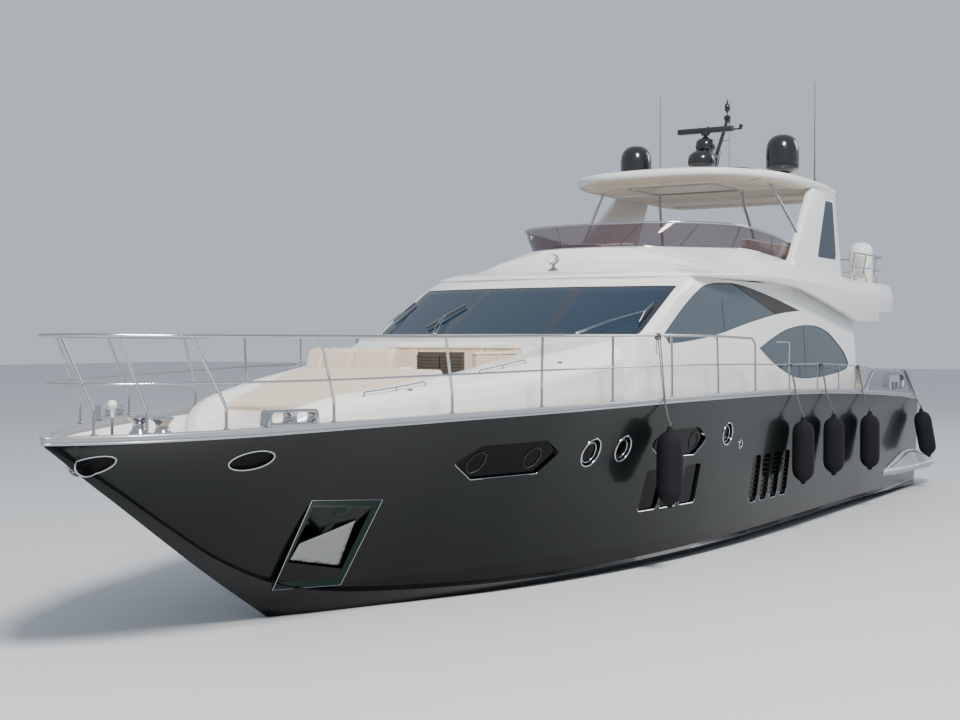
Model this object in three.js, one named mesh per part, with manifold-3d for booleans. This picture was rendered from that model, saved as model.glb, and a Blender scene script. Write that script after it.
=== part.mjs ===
// Flybridge motor yacht, about 26.6 m long, built as separate pieces.
// Millimetres, +X towards the bow, +Y to port, +Z up.
// The origin is amidships on the centreline at the waterline.
import * as THREE from 'three';
import { mergeVertices } from 'three/addons/utils/BufferGeometryUtils.js';
import Module from 'manifold-3d';

const wasm = await Module();
wasm.setup();

// Driving dimensions
const GAP = 0.3;
const CAP_T = 100;
const CAP_OUT = 22;
const BULWARK_T = 140;
const TRANSOM_BOTTOM_X = -12300;
const TRANSOM_TOP_X = -11550;
const WELL_FRONT_X = 12800;
const BOW_DECK_X = 13000;
const WELL_AFT_X = -11360;
const DECK_Z = 2150;
const DECK_BOW_Z = 2360;
const DECK_LEVEL_X = 4320;
const DECK_T = 50;
const SHELL_TOP_Z = 4740;
const SHELL_AFT_X = -7450;
const WALL_T = 90;
const FLY_FLOOR_Z = 4840;
const WINDSCREEN_TOP_Z = 4500;
const HARDTOP_EDGE_Z = 7080;
const PLATFORM_Z = 620;

// Hull sections: x, keel z, chine y, chine z, sheer y, sheer z, hollow of the flare
const HULL = [
  [13300, 2470, 8, 2485, 25, 2590, 0],
  [13180, 2390, 30, 2420, 200, 2592, 8],
  [12980, 2250, 58, 2300, 420, 2596, 20],
  [12700, 2050, 85, 2120, 690, 2602, 35],
  [12300, 1780, 120, 1870, 960, 2610, 50],
  [11500, 1230, 180, 1350, 1340, 2625, 70],
  [10800, 760, 250, 920, 1620, 2645, 80],
  [9900, 190, 380, 520, 1930, 2670, 80],
  [9300, -170, 560, 360, 2090, 2680, 75],
  [8600, -520, 800, 260, 2280, 2695, 65],
  [7500, -850, 1290, 190, 2580, 2715, 50],
  [6300, -1020, 1780, 150, 2850, 2735, 30],
  [4800, -1110, 2250, 140, 3030, 2750, 10],
  [3300, -1150, 2590, 150, 3160, 2760, 0],
  [1300, -1170, 2880, 180, 3230, 2755, -10],
  [-700, -1180, 3020, 200, 3250, 2740, -20],
  [-3700, -1160, 3090, 220, 3260, 2680, -25],
  [-6700, -1110, 3090, 210, 3260, 2570, -25],
  [-9700, -1040, 3020, 120, 3200, 2420, -25],
  [-12300, -960, 2890, 20, 3110, 2290, -20],
];

// Foredeck moulding: x, pad floor z, pad half width, rim z, rim y, flank z, flank y, foot y
const COACHROOF = [
  [10650, 2372, 140, 2374, 200, 2364, 260, 300],
  [10300, 2560, 450, 2600, 600, 2500, 780, 860],
  [9900, 2660, 690, 2800, 860, 2640, 1090, 1200],
  [9400, 2700, 840, 2930, 1010, 2740, 1370, 1520],
  [8800, 2780, 1020, 3000, 1220, 2790, 1640, 1700],
  [8000, 2880, 1220, 3100, 1420, 2850, 1940, 1980],
  [7000, 3000, 1320, 3220, 1580, 2940, 2200, 2240],
  [6000, 3120, 1340, 3360, 1760, 3060, 2410, 2450],
  [5000, 3400, 1340, 3500, 2060, 3220, 2550, 2590],
  [4290, 3620, 1340, 3640, 2360, 3380, 2640, 2660],
];

// Saloon shell outlines: z, front x on the centreline, corner x, corner y, middle y, aft y
const SHELL = [
  [DECK_Z + GAP, 4280, 3980, 2740, 2800, 2800],
  [3000, 4280, 3980, 2720, 2790, 2790],
  [3690, 4280, 3980, 2660, 2745, 2745],
  [3694, 4230, 3560, 2650, 2745, 2745],
  [WINDSCREEN_TOP_Z, 2560, 2080, 2620, 2665, 2665],
  [SHELL_TOP_Z, 2020, 1540, 2560, 2620, 2620],
];

// Upper deck moulding: x, crown z, shoulder y, shoulder z, edge y, edge z, fascia foot z
const FLY = [
  [2100, 4752, 600, 4751, 850, 4748, 4742],
  [1980, 4800, 1400, 4785, 1650, 4756, 4742],
  [1800, 4850, 1650, 4825, 2150, 4764, 4742],
  [1550, 4900, 1720, 4870, 2600, 4780, 4742],
  [1100, 4975, 1700, 4925, 2740, 4800, 4742],
  [800, 5050, 1600, 4975, 2780, 4810, 4743],
  [550, 5210, 1200, 5110, 2800, 4820, 4744],
  [400, 5374, 880, 5350, 2815, 4825, 4745],
  [100, 5385, 1280, 5372, 2840, 4835, 4747],
  [-350, 5390, 1680, 5375, 2855, 4848, 4749],
  [-900, 5395, 2030, 5385, 2870, 4855, 4755],
  [-1500, 5400, 2290, 5395, 2890, 4860, 4770],
  [-2300, 5360, 2420, 5365, 2905, 4855, 4735],
  [-3060, 5310, 2480, 5310, 2920, 4850, 4700],
  [-4830, 5170, 2560, 5170, 2940, 4800, 4470],
  [-6200, 5080, 2650, 5080, 2950, 4740, 4250],
  [-7350, 5020, 2740, 5020, 2950, 4700, 4080],
  [-8800, 5000, 2790, 5000, 2940, 4700, 4100],
  [-8850, 5000, 2790, 5000, 2940, 4700, 4290],
  [-10080, 4990, 2760, 4990, 2900, 4680, 4330],
  [-10260, 4930, 2700, 4930, 2860, 4660, 4420],
];

// Interpolates a column of a table whose first column falls or rises steadily.
function read(table, x, column) {
  const rows = table[0][0] < table[1][0] ? table : [...table].reverse();
  if (x <= rows[0][0]) return rows[0][column];
  for (let i = 1; i < rows.length; i += 1) {
    if (x <= rows[i][0]) {
      const t = (x - rows[i - 1][0]) / (rows[i][0] - rows[i - 1][0]);
      return rows[i - 1][column] + t * (rows[i][column] - rows[i - 1][column]);
    }
  }
  return rows[rows.length - 1][column];
}

// Solid from vertices and triangles, turned outwards when needed.
function closed(vertices, triangles) {
  const make = (tris) => new wasm.Manifold(new wasm.Mesh({
    numProp: 3,
    vertProperties: Float32Array.from(vertices.flat()),
    triVerts: Uint32Array.from(tris.flat()),
  }));
  const solid = make(triangles);
  return solid.volume() < 0 ? make(triangles.map(([a, b, c]) => [a, c, b])) : solid;
}

// Triangles between rings of equal point count that follow each other.
function ringWalls(rings) {
  const n = rings[0].length;
  const triangles = [];
  for (let r = 0; r + 1 < rings.length; r += 1) {
    for (let k = 0; k < n; k += 1) {
      const a = r * n + k;
      const b = r * n + (k + 1) % n;
      triangles.push([a, b, b + n], [a, b + n, a + n]);
    }
  }
  return triangles;
}

// Solid through rings whose first and last outlines are convex.
function swept(rings) {
  const n = rings[0].length;
  const last = (rings.length - 1) * n;
  const triangles = ringWalls(rings);
  for (let k = 1; k + 1 < n; k += 1) {
    triangles.push([0, k + 1, k], [last, last + k, last + k + 1]);
  }
  return closed(rings.flat(), triangles);
}

// Solid through rings of any outline; the flat coordinates of the caps are named.
function loft(rings, flat) {
  const n = rings[0].length;
  const vertices = rings.flat();
  const triangles = ringWalls(rings);
  const cap = (ring, offset, first) => {
    const contour = ring.map((p) => new THREE.Vector2(p[flat[0]], p[flat[1]]));
    let faces = THREE.ShapeUtils.triangulateShape(contour, []).map((f) => f.map((k) => k + offset));
    if (faces.length !== n - 2) {
      const middle = [0, 1, 2].map((k) => ring.reduce((total, p) => total + p[k], 0) / n);
      vertices.push(middle);
      faces = ring.map((_, k) => [vertices.length - 1, offset + k, offset + ((k + 1) % n)]);
    }
    const forward = faces.some((f) => f.some((v, k) => v === offset && f[(k + 1) % 3] === offset + 1));
    triangles.push(...faces.map(([a, b, c]) => (forward === first ? [a, c, b] : [a, b, c])));
  };
  cap(rings[0], 0, true);
  cap(rings[rings.length - 1], (rings.length - 1) * n, false);
  return closed(vertices, triangles);
}

// Straight prisms of a flat outline along each axis.
const prismX = (outline, x0, x1) => loft([x0, x1].map((x) => outline.map(([y, z]) => [x, y, z])), [1, 2]);
const prismY = (outline, y0, y1) => loft([y0, y1].map((y) => outline.map(([x, z]) => [x, y, z])), [0, 2]);
const prismZ = (outline, z0, z1) => loft([z0, z1].map((z) => outline.map(([x, y]) => [x, y, z])), [0, 1]);
const block = (x0, x1, y0, y1, z0, z1) => prismZ([[x0, y0], [x1, y0], [x1, y1], [x0, y1]], z0, z1);

// Points of an ellipse in a flat outline.
function oval(cx, cy, rx, ry, sides) {
  return Array.from({ length: sides }, (_, i) => {
    const a = (i / sides) * Math.PI * 2;
    return [cx + rx * Math.cos(a), cy + ry * Math.sin(a)];
  });
}

// Solid of revolution about a vertical line; the profile is radius and height.
function turned(profile, cx, cy, sides) {
  const rings = profile.map(([r, z]) => oval(cx, cy, r, r, sides).map(([x, y]) => [x, y, z]));
  return loft(rings, [0, 1]);
}

// Solid of revolution whose heights are counted from a level.
function turnedOn(level, profile, cx, cy, sides) {
  return turned(profile.map(([r, height]) => [r, level + height]), cx, cy, sides);
}

// Round bar along a path, with mitred corners.
function bar(path, radius, sides = 8) {
  const points = path.map((p) => new THREE.Vector3(...p));
  const rings = [];
  let side = null;
  points.forEach((p, i) => {
    const before = i > 0 ? p.clone().sub(points[i - 1]).normalize() : null;
    const after = i + 1 < points.length ? points[i + 1].clone().sub(p).normalize() : null;
    const along = before && after ? before.clone().add(after).normalize() : (before || after);
    if (!side) {
      side = new THREE.Vector3(0, 0, 1).cross(along);
      if (side.length() < 0.1) side = new THREE.Vector3(0, 1, 0).cross(along);
    }
    side.sub(along.clone().multiplyScalar(side.dot(along))).normalize();
    const other = along.clone().cross(side);
    const stretch = before && after ? 1 / Math.max(0.5, before.dot(along)) : 1;
    const bend = before && after ? after.clone().sub(before) : new THREE.Vector3();
    const bends = bend.length() > 1e-4;
    const bendDir = bend.addScaledVector(along, -bend.dot(along)).normalize();
    rings.push(Array.from({ length: sides }, (_, k) => {
      const a = (k / sides) * Math.PI * 2;
      const offset = side.clone().multiplyScalar(radius * Math.cos(a));
      offset.addScaledVector(other, radius * Math.sin(a));
      if (bends) offset.addScaledVector(bendDir, offset.dot(bendDir) * (stretch - 1));
      return offset.add(p).toArray();
    }));
  });
  return swept(rings);
}

// The same solid on the other side of the centreline.
function mirrored(solid) {
  const mesh = solid.getMesh();
  const vertices = [];
  for (let i = 0; i < mesh.vertProperties.length; i += mesh.numProp) {
    vertices.push([mesh.vertProperties[i], -mesh.vertProperties[i + 1], mesh.vertProperties[i + 2]]);
  }
  const triangles = [];
  for (let i = 0; i < mesh.triVerts.length; i += 3) {
    triangles.push([mesh.triVerts[i], mesh.triVerts[i + 2], mesh.triVerts[i + 1]]);
  }
  return closed(vertices, triangles);
}
const both = (solid) => solid.add(mirrored(solid));
const sum = (solids) => solids.reduce((a, b) => a.add(b));

// Soft block: a flat outline with its rims rounded by stepping the outline in.
function cushion(outline, z0, z1, round) {
  const cx = outline.reduce((s, p) => s + p[0], 0) / outline.length;
  const cy = outline.reduce((s, p) => s + p[1], 0) / outline.length;
  const inset = (d) => outline.map(([x, y]) => {
    const l = Math.hypot(x - cx, y - cy);
    return [x - ((x - cx) / l) * d, y - ((y - cy) / l) * d];
  });
  const rings = [
    [round * 0.3, z0],
    [0, z0 + round * 0.4],
    [0, z1 - round],
    [round * 0.35, z1 - round * 0.3],
    [round * 1.2, z1],
  ].map(([d, z]) => inset(d).map(([x, y]) => [x, y, z]));
  return loft(rings, [0, 1]);
}
const rect = (x0, x1, y0, y1) => [[x0, y0], [x1, y0], [x1, y1], [x0, y1]];

// Moves each side of an outline inwards by the same distance.
function shrunk(outline, d) {
  const area = THREE.ShapeUtils.area(outline.map((p) => new THREE.Vector2(...p)));
  const turn = area > 0 ? 1 : -1;
  const n = outline.length;
  return outline.map((p, i) => {
    const q = outline[(i + n - 1) % n];
    const r = outline[(i + 1) % n];
    const u = [p[0] - q[0], p[1] - q[1]];
    const v = [r[0] - p[0], r[1] - p[1]];
    const lu = Math.hypot(...u);
    const lv = Math.hypot(...v);
    const nu = [(-u[1] / lu) * turn, (u[0] / lu) * turn];
    const nv = [(-v[1] / lv) * turn, (v[0] / lv) * turn];
    const k = d / Math.max(0.35, 1 + nu[0] * nv[0] + nu[1] * nv[1]);
    return [p[0] + (nu[0] + nv[0]) * k, p[1] + (nu[1] + nv[1]) * k];
  });
}

const group = new THREE.Group();

// Adds a named piece with its own finish.
function piece(name, solid, colour, roughness, metalness) {
  const mesh = solid.getMesh();
  const positions = new Float32Array((mesh.vertProperties.length / mesh.numProp) * 3);
  for (let i = 0; i < positions.length / 3; i += 1) {
    for (let k = 0; k < 3; k += 1) positions[i * 3 + k] = mesh.vertProperties[i * mesh.numProp + k];
  }
  const raw = new THREE.BufferGeometry();
  raw.setAttribute('position', new THREE.BufferAttribute(positions, 3));
  raw.setIndex(Array.from(mesh.triVerts));
  const geometry = mergeVertices(raw, 1e-3);
  geometry.computeVertexNormals();
  const material = new THREE.MeshStandardMaterial({ color: colour, roughness, metalness });
  const item = new THREE.Mesh(geometry, material);
  item.name = name;
  group.add(item);
  return item;
}

// Height of a piece's top surface under a round foot.
const probe = new THREE.Raycaster();
const DOWN = new THREE.Vector3(0, 0, -1);
function seatOn(item, x, y, radius = 0) {
  const around = [[0, 0], [radius, 0], [-radius, 0], [0, radius], [0, -radius]];
  const heights = around.map(([dx, dy]) => {
    probe.set(new THREE.Vector3(x + dx, y + dy, 20000), DOWN);
    return probe.intersectObject(item)[0].point.z;
  });
  return Math.max(...heights) + GAP;
}

const GREY = 0x23262a;
const WHITE = 0xf2f3f1;
const STEEL = 0xc9ccd0;
const GLASS = 0x2b3a48;
const BEIGE = 0xdccbb6;
const BLACK = 0x0c0d0f;
const TEAK = 0x8a7a66;
const PALE_TEAK = 0xc8b49a;
const DARK_WOOD = 0x5b4a3c;
const JOINERY = 0x6a5240;
const BRONZE = 0x9c7440;

// Topsides over the chine: height of the ledge on it, its widest step in, and where the section bends
const LEDGE_H = 45;
const LEDGE_W = 45;
const BENDS = [0, 0.3, 0.6, 1];
// Half breadth of the topsides at a part of the way from the ledge to the sheer.
function flare(chineY, topY, hollow, f) {
  const ledgeY = chineY - Math.min(LEDGE_W, chineY * 0.12);
  return ledgeY + f * (topY - ledgeY) - hollow * 4 * f * (1 - f);
}

// Hull: solid up to the deck, with recesses for windows, vents and anchors, and the bulwark on top.
// The surface can be read a little inside its real place, which gives the depth of the recesses.
function hullForm(inset) {
  const rings = HULL.map(([x, keelZ, chineY, chineZ, topY, topZ, hollow], index) => {
    const aft = index === HULL.length - 1;
    const footZ = chineZ + LEDGE_H;
    const half = [
      [0, keelZ],
      [chineY * 0.52, keelZ + (chineZ - keelZ) * 0.44],
      [chineY, chineZ],
      ...BENDS.map((f) => [flare(chineY, topY, hollow, f), footZ + f * (topZ - CAP_T - footZ)]),
    ];
    const inner = half.map(([y, z]) => [Math.max(y - inset, y * 0.2), z]);
    const port = inner.map(([y, z]) => [aft ? transomX(z) : x, y, z]);
    const starboard = inner.slice(1).reverse().map(([y, z]) => [aft ? transomX(z) : x, -y, z]);
    return [...port, ...starboard];
  });
  return loft(rings, [1, 2]);
}
function transomX(z) {
  const t = THREE.MathUtils.clamp(z / read(HULL, TRANSOM_BOTTOM_X, 5), 0, 1);
  return TRANSOM_BOTTOM_X + (TRANSOM_TOP_X - TRANSOM_BOTTOM_X) * t;
}
const deckSlope = (DECK_BOW_Z - DECK_Z) / (BOW_DECK_X - DECK_LEVEL_X);
const deckZ = (x) => DECK_Z + deckSlope * Math.max(0, x - DECK_LEVEL_X);
const sheerY = (x) => read(HULL, x, 4);
const sheerZ = (x) => read(HULL, x, 5);

// Half breadth of the topsides at a height, between the two upper section points of the hull
function sideY(x, z) {
  const [chineY, chineZ, topY, hollow] = [2, 3, 4, 6].map((column) => read(HULL, x, column));
  const footZ = chineZ + LEDGE_H;
  const f = THREE.MathUtils.clamp((z - footZ) / (sheerZ(x) - CAP_T - footZ), 0, 1);
  return read(BENDS.map((bend) => [bend, flare(chineY, topY, hollow, bend)]), f, 1);
}

// Body between two deck levels inside the bulwark, whose walls follow the flare of the bow.
function deckBand(clear, lower, upper, front, aft) {
  const between = HULL.slice(3, -1).map((row) => row[0]).concat(DECK_LEVEL_X).sort((a, b) => b - a);
  const stations = [front, ...between.filter((x) => x < front && x > aft), aft];
  const rings = stations.map((x) => {
    const low = deckZ(x) + lower;
    const high = deckZ(x) + upper;
    const middle = Math.min(Math.max(sheerZ(x) - CAP_T / 2, low + 1), high - 1);
    const wall = [low, middle, high].map((z) => [sideY(x, z) - BULWARK_T - clear, z]);
    return [...wall.map(([y, z]) => [x, y, z]), ...wall.reverse().map(([y, z]) => [x, -y, z])];
  });
  return loft(rings, [1, 2]);
}

const HEX_WINDOW = [[8130, 2000], [7810, 2230], [6620, 2240], [6240, 2050], [6550, 1760], [7700, 1750]];
const MID_WINDOW = [[3990, 2030], [3560, 2230], [2420, 2230], [2020, 2020], [2420, 1770], [3520, 1790]];
const PORTS = [[5500, 2000, 205], [4690, 2010, 190], [1240, 2050, 190]];
const WIDE_VENTS = [[3300, 3820], [2700, 3220], [2100, 2620]];
const NARROW_VENTS = [[-420, -60], [-910, -550], [-1400, -1040], [-1890, -1530]];
const ANCHOR_PLATE = [[10000, 1640], [8950, 1570], [8890, 380], [9890, 430]];
const ANCHOR_POCKET = [[9880, 1560], [9020, 1490], [8950, 610], [9790, 790]];
const HAWSES = [[11190, 2230, 250, 120], [12760, 2240, 170, 120]];

function opening(outline, core) {
  return prismY(outline, 0, 4200).subtract(core);
}
const coreShallow = hullForm(45);
const coreDeep = hullForm(240);
const plateCore = hullForm(8);
let hull = hullForm(0);
const recesses = [
  ...[HEX_WINDOW, MID_WINDOW].map((o) => opening(o, coreShallow)),
  ...PORTS.map(([x, z, r]) => opening(oval(x, z, r, r, 20), coreShallow)),
  ...WIDE_VENTS.map(([a, b]) => opening([[a, 950], [b, 950], [b, 1610], [a, 1610]], coreShallow)),
  ...NARROW_VENTS.map(([a, b]) => opening([[a, 730], [b, 730], [b, 1580], [a, 1580]], coreShallow)),
  ...HAWSES.map(([x, z, a, b]) => opening(oval(x, z, a, b, 20), coreShallow)),
  opening(ANCHOR_PLATE, plateCore),
  opening(ANCHOR_POCKET, coreDeep),
];
for (const recess of recesses) hull = hull.subtract(both(recess));
const deckWell = (clear) => deckBand(clear, -DECK_T, 1200, WELL_FRONT_X - clear, WELL_AFT_X + clear);
hull = hull.subtract(deckWell(0));

// The bulwark is its own solid forward of the stern steps; the hull ends under it at deck level.
const BULWARK_AFT_X = -11050;
const bulwarkSpace = (lift) => deckBand(-400, -DECK_T + lift, 1200, 13400, BULWARK_AFT_X + lift);
const bulwark = hull.intersect(bulwarkSpace(GAP));
hull = hull.subtract(bulwarkSpace(0));

// Tender garage in the stern, closed by the transom door
const GARAGE = { front: -9700, halfWidth: 1600, floor: 860, roof: 1900 };
const garageSpace = block(
  -12900, GARAGE.front, -GARAGE.halfWidth, GARAGE.halfWidth, GARAGE.floor, GARAGE.roof,
);
hull = hull.subtract(garageSpace);

// Steps from the platform to the cockpit on both sides
const STEP = { inner: 1900, outer: 2800, count: 4, run: 300, firstX: -11050 };
const stepRise = (DECK_Z - DECK_T - PLATFORM_Z) / STEP.count;
for (let k = 0; k < STEP.count; k += 1) {
  const top = DECK_Z - DECK_T - stepRise * (k + 1);
  hull = hull.subtract(both(block(-13000, STEP.firstX - STEP.run * k, STEP.inner, STEP.outer, top, 3200)));
}

// Skeg and the tubes for shafts and rudder stocks under the stern
const SHAFT = { y: 1350, frontX: -5200, frontZ: -620, propX: -9400, propZ: -1400, length: 4800, radius: 44 };
const RUDDER = { x: -10450, y: 1350, stockR: 55, stockTop: -400, bladeTop: -720, bladeBottom: -1760 };
const shaftSlope = Math.atan2(SHAFT.frontZ - SHAFT.propZ, SHAFT.frontX - SHAFT.propX);
function shaftPoint(d) {
  return [SHAFT.propX + d * Math.cos(shaftSlope), SHAFT.y, SHAFT.propZ + d * Math.sin(shaftSlope)];
}
const alongShaft = (from, to, radius, sides) => bar([shaftPoint(from), shaftPoint(to)], radius, sides);
const skeg = prismY([[2600, -1000], [-8200, -1000], [-8200, -1400], [-1500, -1400]], -70, 70);
hull = hull.add(skeg);
const shaftTube = alongShaft(250, SHAFT.length, SHAFT.radius + 6, 16);
hull = hull.subtract(both(shaftTube));
const stockTube = [[RUDDER.stockR + 7, -1200], [RUDDER.stockR + 7, RUDDER.stockTop]];
hull = hull.subtract(both(turned(stockTube, RUDDER.x, RUDDER.y, 20)));
// Bow thruster tunnel
hull = hull.subtract(prismY(oval(7700, -330, 150, 150, 16), -3000, 3000));
piece('hull', hull, GREY, 0.18, 0.35);
piece('bulwark', bulwark, GREY, 0.18, 0.35);

// Two-armed bracket that carries each shaft ahead of its propeller
const bracketArm = (y, z) => bar([shaftPoint(425), [SHAFT.propX + 620, SHAFT.y + y, z]], 38, 8);
const bracketArms = bracketArm(480, -340).add(bracketArm(-480, -700));
const bracket = bracketArms.add(alongShaft(330, 520, 95, 16)).subtract(shaftTube);
const bottom = hullForm(0).translate([0, 0, -GAP]);
piece('shaft_bracket_port', bracket.subtract(bottom), BRONZE, 0.35, 0.9);
piece('shaft_bracket_starboard', mirrored(bracket).subtract(bottom), BRONZE, 0.35, 0.9);

// Silver cap rail round the deck edge with its fairleads and the quarter rails
function capBand(grow, inward, lower, upper, front, aft) {
  const stations = HULL.map((row) => row[0]).filter((x) => x > aft && x < front);
  const xs = [front, ...stations, aft];
  return loft(xs.map((x) => {
    const y = Math.max(8, sheerY(x) + grow - inward);
    const z = sheerZ(x);
    return [[x, y, z + lower], [x, y, z + upper], [x, -y, z + upper], [x, -y, z + lower]];
  }), [1, 2]);
}
let capRail = capBand(CAP_OUT, 0, -CAP_T + GAP, 0, 13330, -11480);
capRail = capRail.subtract(capBand(0, BULWARK_T + 10, -400, 400, 12980, -12000));
const FAIRLEAD = { x: 10930, inset: 95, length: 660, width: 140, height: 190, holeX: 160, holeHalf: 120 };
function fairlead() {
  const { x, length, width, holeHalf } = FAIRLEAD;
  const y = sheerY(x) - FAIRLEAD.inset;
  const z = sheerZ(x);
  const top = z + FAIRLEAD.height;
  const outer = block(x - length / 2, x + length / 2, y - width / 2, y + width / 2, z - 20, top);
  const holes = [-1, 1].map((s) => {
    const holeX = x + s * FAIRLEAD.holeX;
    return block(holeX - holeHalf, holeX + holeHalf, y - 200, y + 200, z + 40, z + 150);
  });
  return outer.subtract(holes[0]).subtract(holes[1]);
}
capRail = capRail.add(both(fairlead()));
const RAIL_R = 19;
const MID_RAIL_R = 12;
const POST_R = 15;
const RAIL_INSET = 70;
// Point over the line on the cap rail where the rails stand.
const overCap = (x, height) => [x, sheerY(x) - RAIL_INSET, sheerZ(x) + height];
// Quarter rail from the last side rail post to the hump: x and height over the cap
const QUARTER_RAIL = [[-17, 470], [-1800, 470], [-3700, 500], [-6000, 500], [-7000, 480], [-7480, 430]];
const QUARTER_POSTS = [-3450, -4840, -6020];
// Gate post of the boarding gate, hooked forward over the rail
const GATE_POST = [[-1790, -20], [-1790, 840], [-1730, 885], [-1130, 885]];
const quarterLine = QUARTER_RAIL.map(([x, height]) => overCap(x, height));
const quarterPoint = (x) => [x, read(quarterLine, x, 1), read(quarterLine, x, 2)];
function quarterRail() {
  const posts = QUARTER_POSTS.map((x) => bar([overCap(x, -20), quarterPoint(x)], POST_R));
  const gatePost = bar(GATE_POST.map(([x, height]) => overCap(x, height)), POST_R);
  return sum([bar(quarterLine, MID_RAIL_R), gatePost, ...posts]);
}
capRail = capRail.add(both(quarterRail()));
// Mooring humps on the quarters, with an opening towards the bollard: x and height over the cap
const HUMP = [[-6730, 30], [-7100, 290], [-7500, 450], [-10250, 520], [-10800, 430], [-11170, 40]];
const HUMP_SIDE = [[0, 0], [20, 0.8], [60, 1], [110, 1], [125, 0.8], [130, 0]];
const HUMP_HOLE = [[-8850, 70], [-8800, 330], [-9000, 400], [-10000, 400], [-10150, 300], [-10050, 70]];
function hump() {
  const form = loft(HUMP.map(([x, height]) => {
    const y = sheerY(x) - 10;
    const z = sheerZ(x) - 4;
    return HUMP_SIDE.map(([inward, rise]) => [x, y - inward, z + height * rise]);
  }), [1, 2]);
  const z = sheerZ(-9500);
  return form.subtract(prismY(HUMP_HOLE.map(([x, height]) => [x, z + height]), 0, 4000));
}
capRail = capRail.add(both(hump()));
const capRailItem = piece('cap_rail', capRail, STEEL, 0.25, 0.85);

// Teak deck inside the bulwark: the level part under saloon and cockpit, and the rising foredeck
const deckSlab = (front, aft) => deckWell(1).intersect(deckBand(-600, -DECK_T + GAP, 0, front, aft));
const stepGap = both(block(-13000, STEP.firstX, STEP.inner - 20, STEP.outer + 200, 2000, 3000));
piece('deck', deckSlab(DECK_LEVEL_X, WELL_AFT_X - 100).subtract(stepGap), PALE_TEAK, 0.5, 0.0);
piece('foredeck', deckSlab(WELL_FRONT_X + 100, DECK_LEVEL_X + GAP), PALE_TEAK, 0.5, 0.0);

// Foredeck moulding with the sun pad floor and the lounge well
let coachroof = loft(COACHROOF.map(([x, padZ, padY, rimZ, rimY, flankZ, flankY, footY]) => {
  const foot = deckZ(x) + GAP;
  const half = [
    [footY, foot],
    [flankY, Math.max(flankZ, foot + 4)],
    [(flankY + rimY) / 2 + 60, flankZ + (rimZ - flankZ) * 0.62],
    [rimY, rimZ],
    [padY + 40, Math.max(rimZ - 10, padZ + 1)],
    [padY, padZ],
  ];
  return [...half.map(([y, z]) => [x, y, z]), ...half.reverse().map(([y, z]) => [x, -y, z])];
}), [1, 2]);
const LOUNGE = { front: 6950, aft: 5000, halfWidth: 1250, floor: 2700 };
const lounge = block(LOUNGE.aft, LOUNGE.front, -LOUNGE.halfWidth, LOUNGE.halfWidth, LOUNGE.floor, 4500);
coachroof = coachroof.subtract(lounge);
piece('coachroof', coachroof, WHITE, 0.3, 0.0);

// Sun pad in the front recess
const padFloor = (x) => read(COACHROOF, x, 1);
function slopedPad(xs, edgeY, lift, thickness, round) {
  const rings = xs.map((x, i) => {
    const y = edgeY(x);
    const z = padFloor(x) + lift;
    const end = i === 0 || i === xs.length - 1;
    const t = end ? thickness(x) - round : thickness(x);
    const half = [[y - round * 0.3, 0], [y, round * 0.5], [y, t - round], [y - round * 0.9, t]];
    return [
      ...half.map(([across, up]) => [x, across, z + up]),
      ...half.reverse().map(([across, up]) => [x, -across, z + up]),
    ];
  });
  return loft(rings, [1, 2]);
}
const padEdge = (x) => read(COACHROOF, x, 2) - 12;
const PAD_THICKNESS = [[7300, 280], [8800, 150], [9420, 130]];
const padThickness = (x) => read(PAD_THICKNESS, x, 1);
const PAD_XS = [9420, 9390, 8800, 8000, 7330, 7300];
piece('sun_pad', slopedPad(PAD_XS, padEdge, GAP, padThickness, 30), BEIGE, 0.85, 0.0);

// Backrest between the sun pad and the lounge, and the U-shaped seat
function backrest() {
  const front = 7288;
  const aft = LOUNGE.front + 2;
  const side = [
    [front, padFloor(front) + GAP], [front, 3090], [7120, 3520],
    [7000, 3540], [aft, 3500], [aft, padFloor(aft) + GAP],
  ];
  return prismY(side, -1250, 330);
}
piece('pad_backrest', backrest(), BEIGE, 0.85, 0.0);
function loungeSeat() {
  const z0 = LOUNGE.floor + GAP;
  const w = LOUNGE.halfWidth - GAP;
  const seat = sum([
    cushion(rect(LOUNGE.aft + GAP, LOUNGE.aft + 560, -w, w), z0, z0 + 430, 50),
    cushion(rect(LOUNGE.aft + GAP, 6500, -w, -w + 560), z0, z0 + 430, 50),
    cushion(rect(LOUNGE.aft + GAP, 6300, w - 560, w), z0, z0 + 430, 50),
  ]);
  const back = sum([
    cushion(rect(LOUNGE.aft + GAP, LOUNGE.aft + 150, -w, w), z0 + 300, 3560, 40),
    cushion(rect(LOUNGE.aft + GAP, 6500, -w, -w + 130), z0 + 300, 3480, 40),
    cushion(rect(LOUNGE.aft + GAP, 6300, w - 130, w), z0 + 300, 3480, 40),
  ]);
  return seat.add(back);
}
piece('lounge_seat', loungeSeat(), BEIGE, 0.85, 0.0);

// Slatted wooden locker front at the passage into the lounge
piece('slatted_locker', block(6640, 6700, 420, 1230, LOUNGE.floor + GAP, 3480), DARK_WOOD, 0.6, 0.0);

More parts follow.
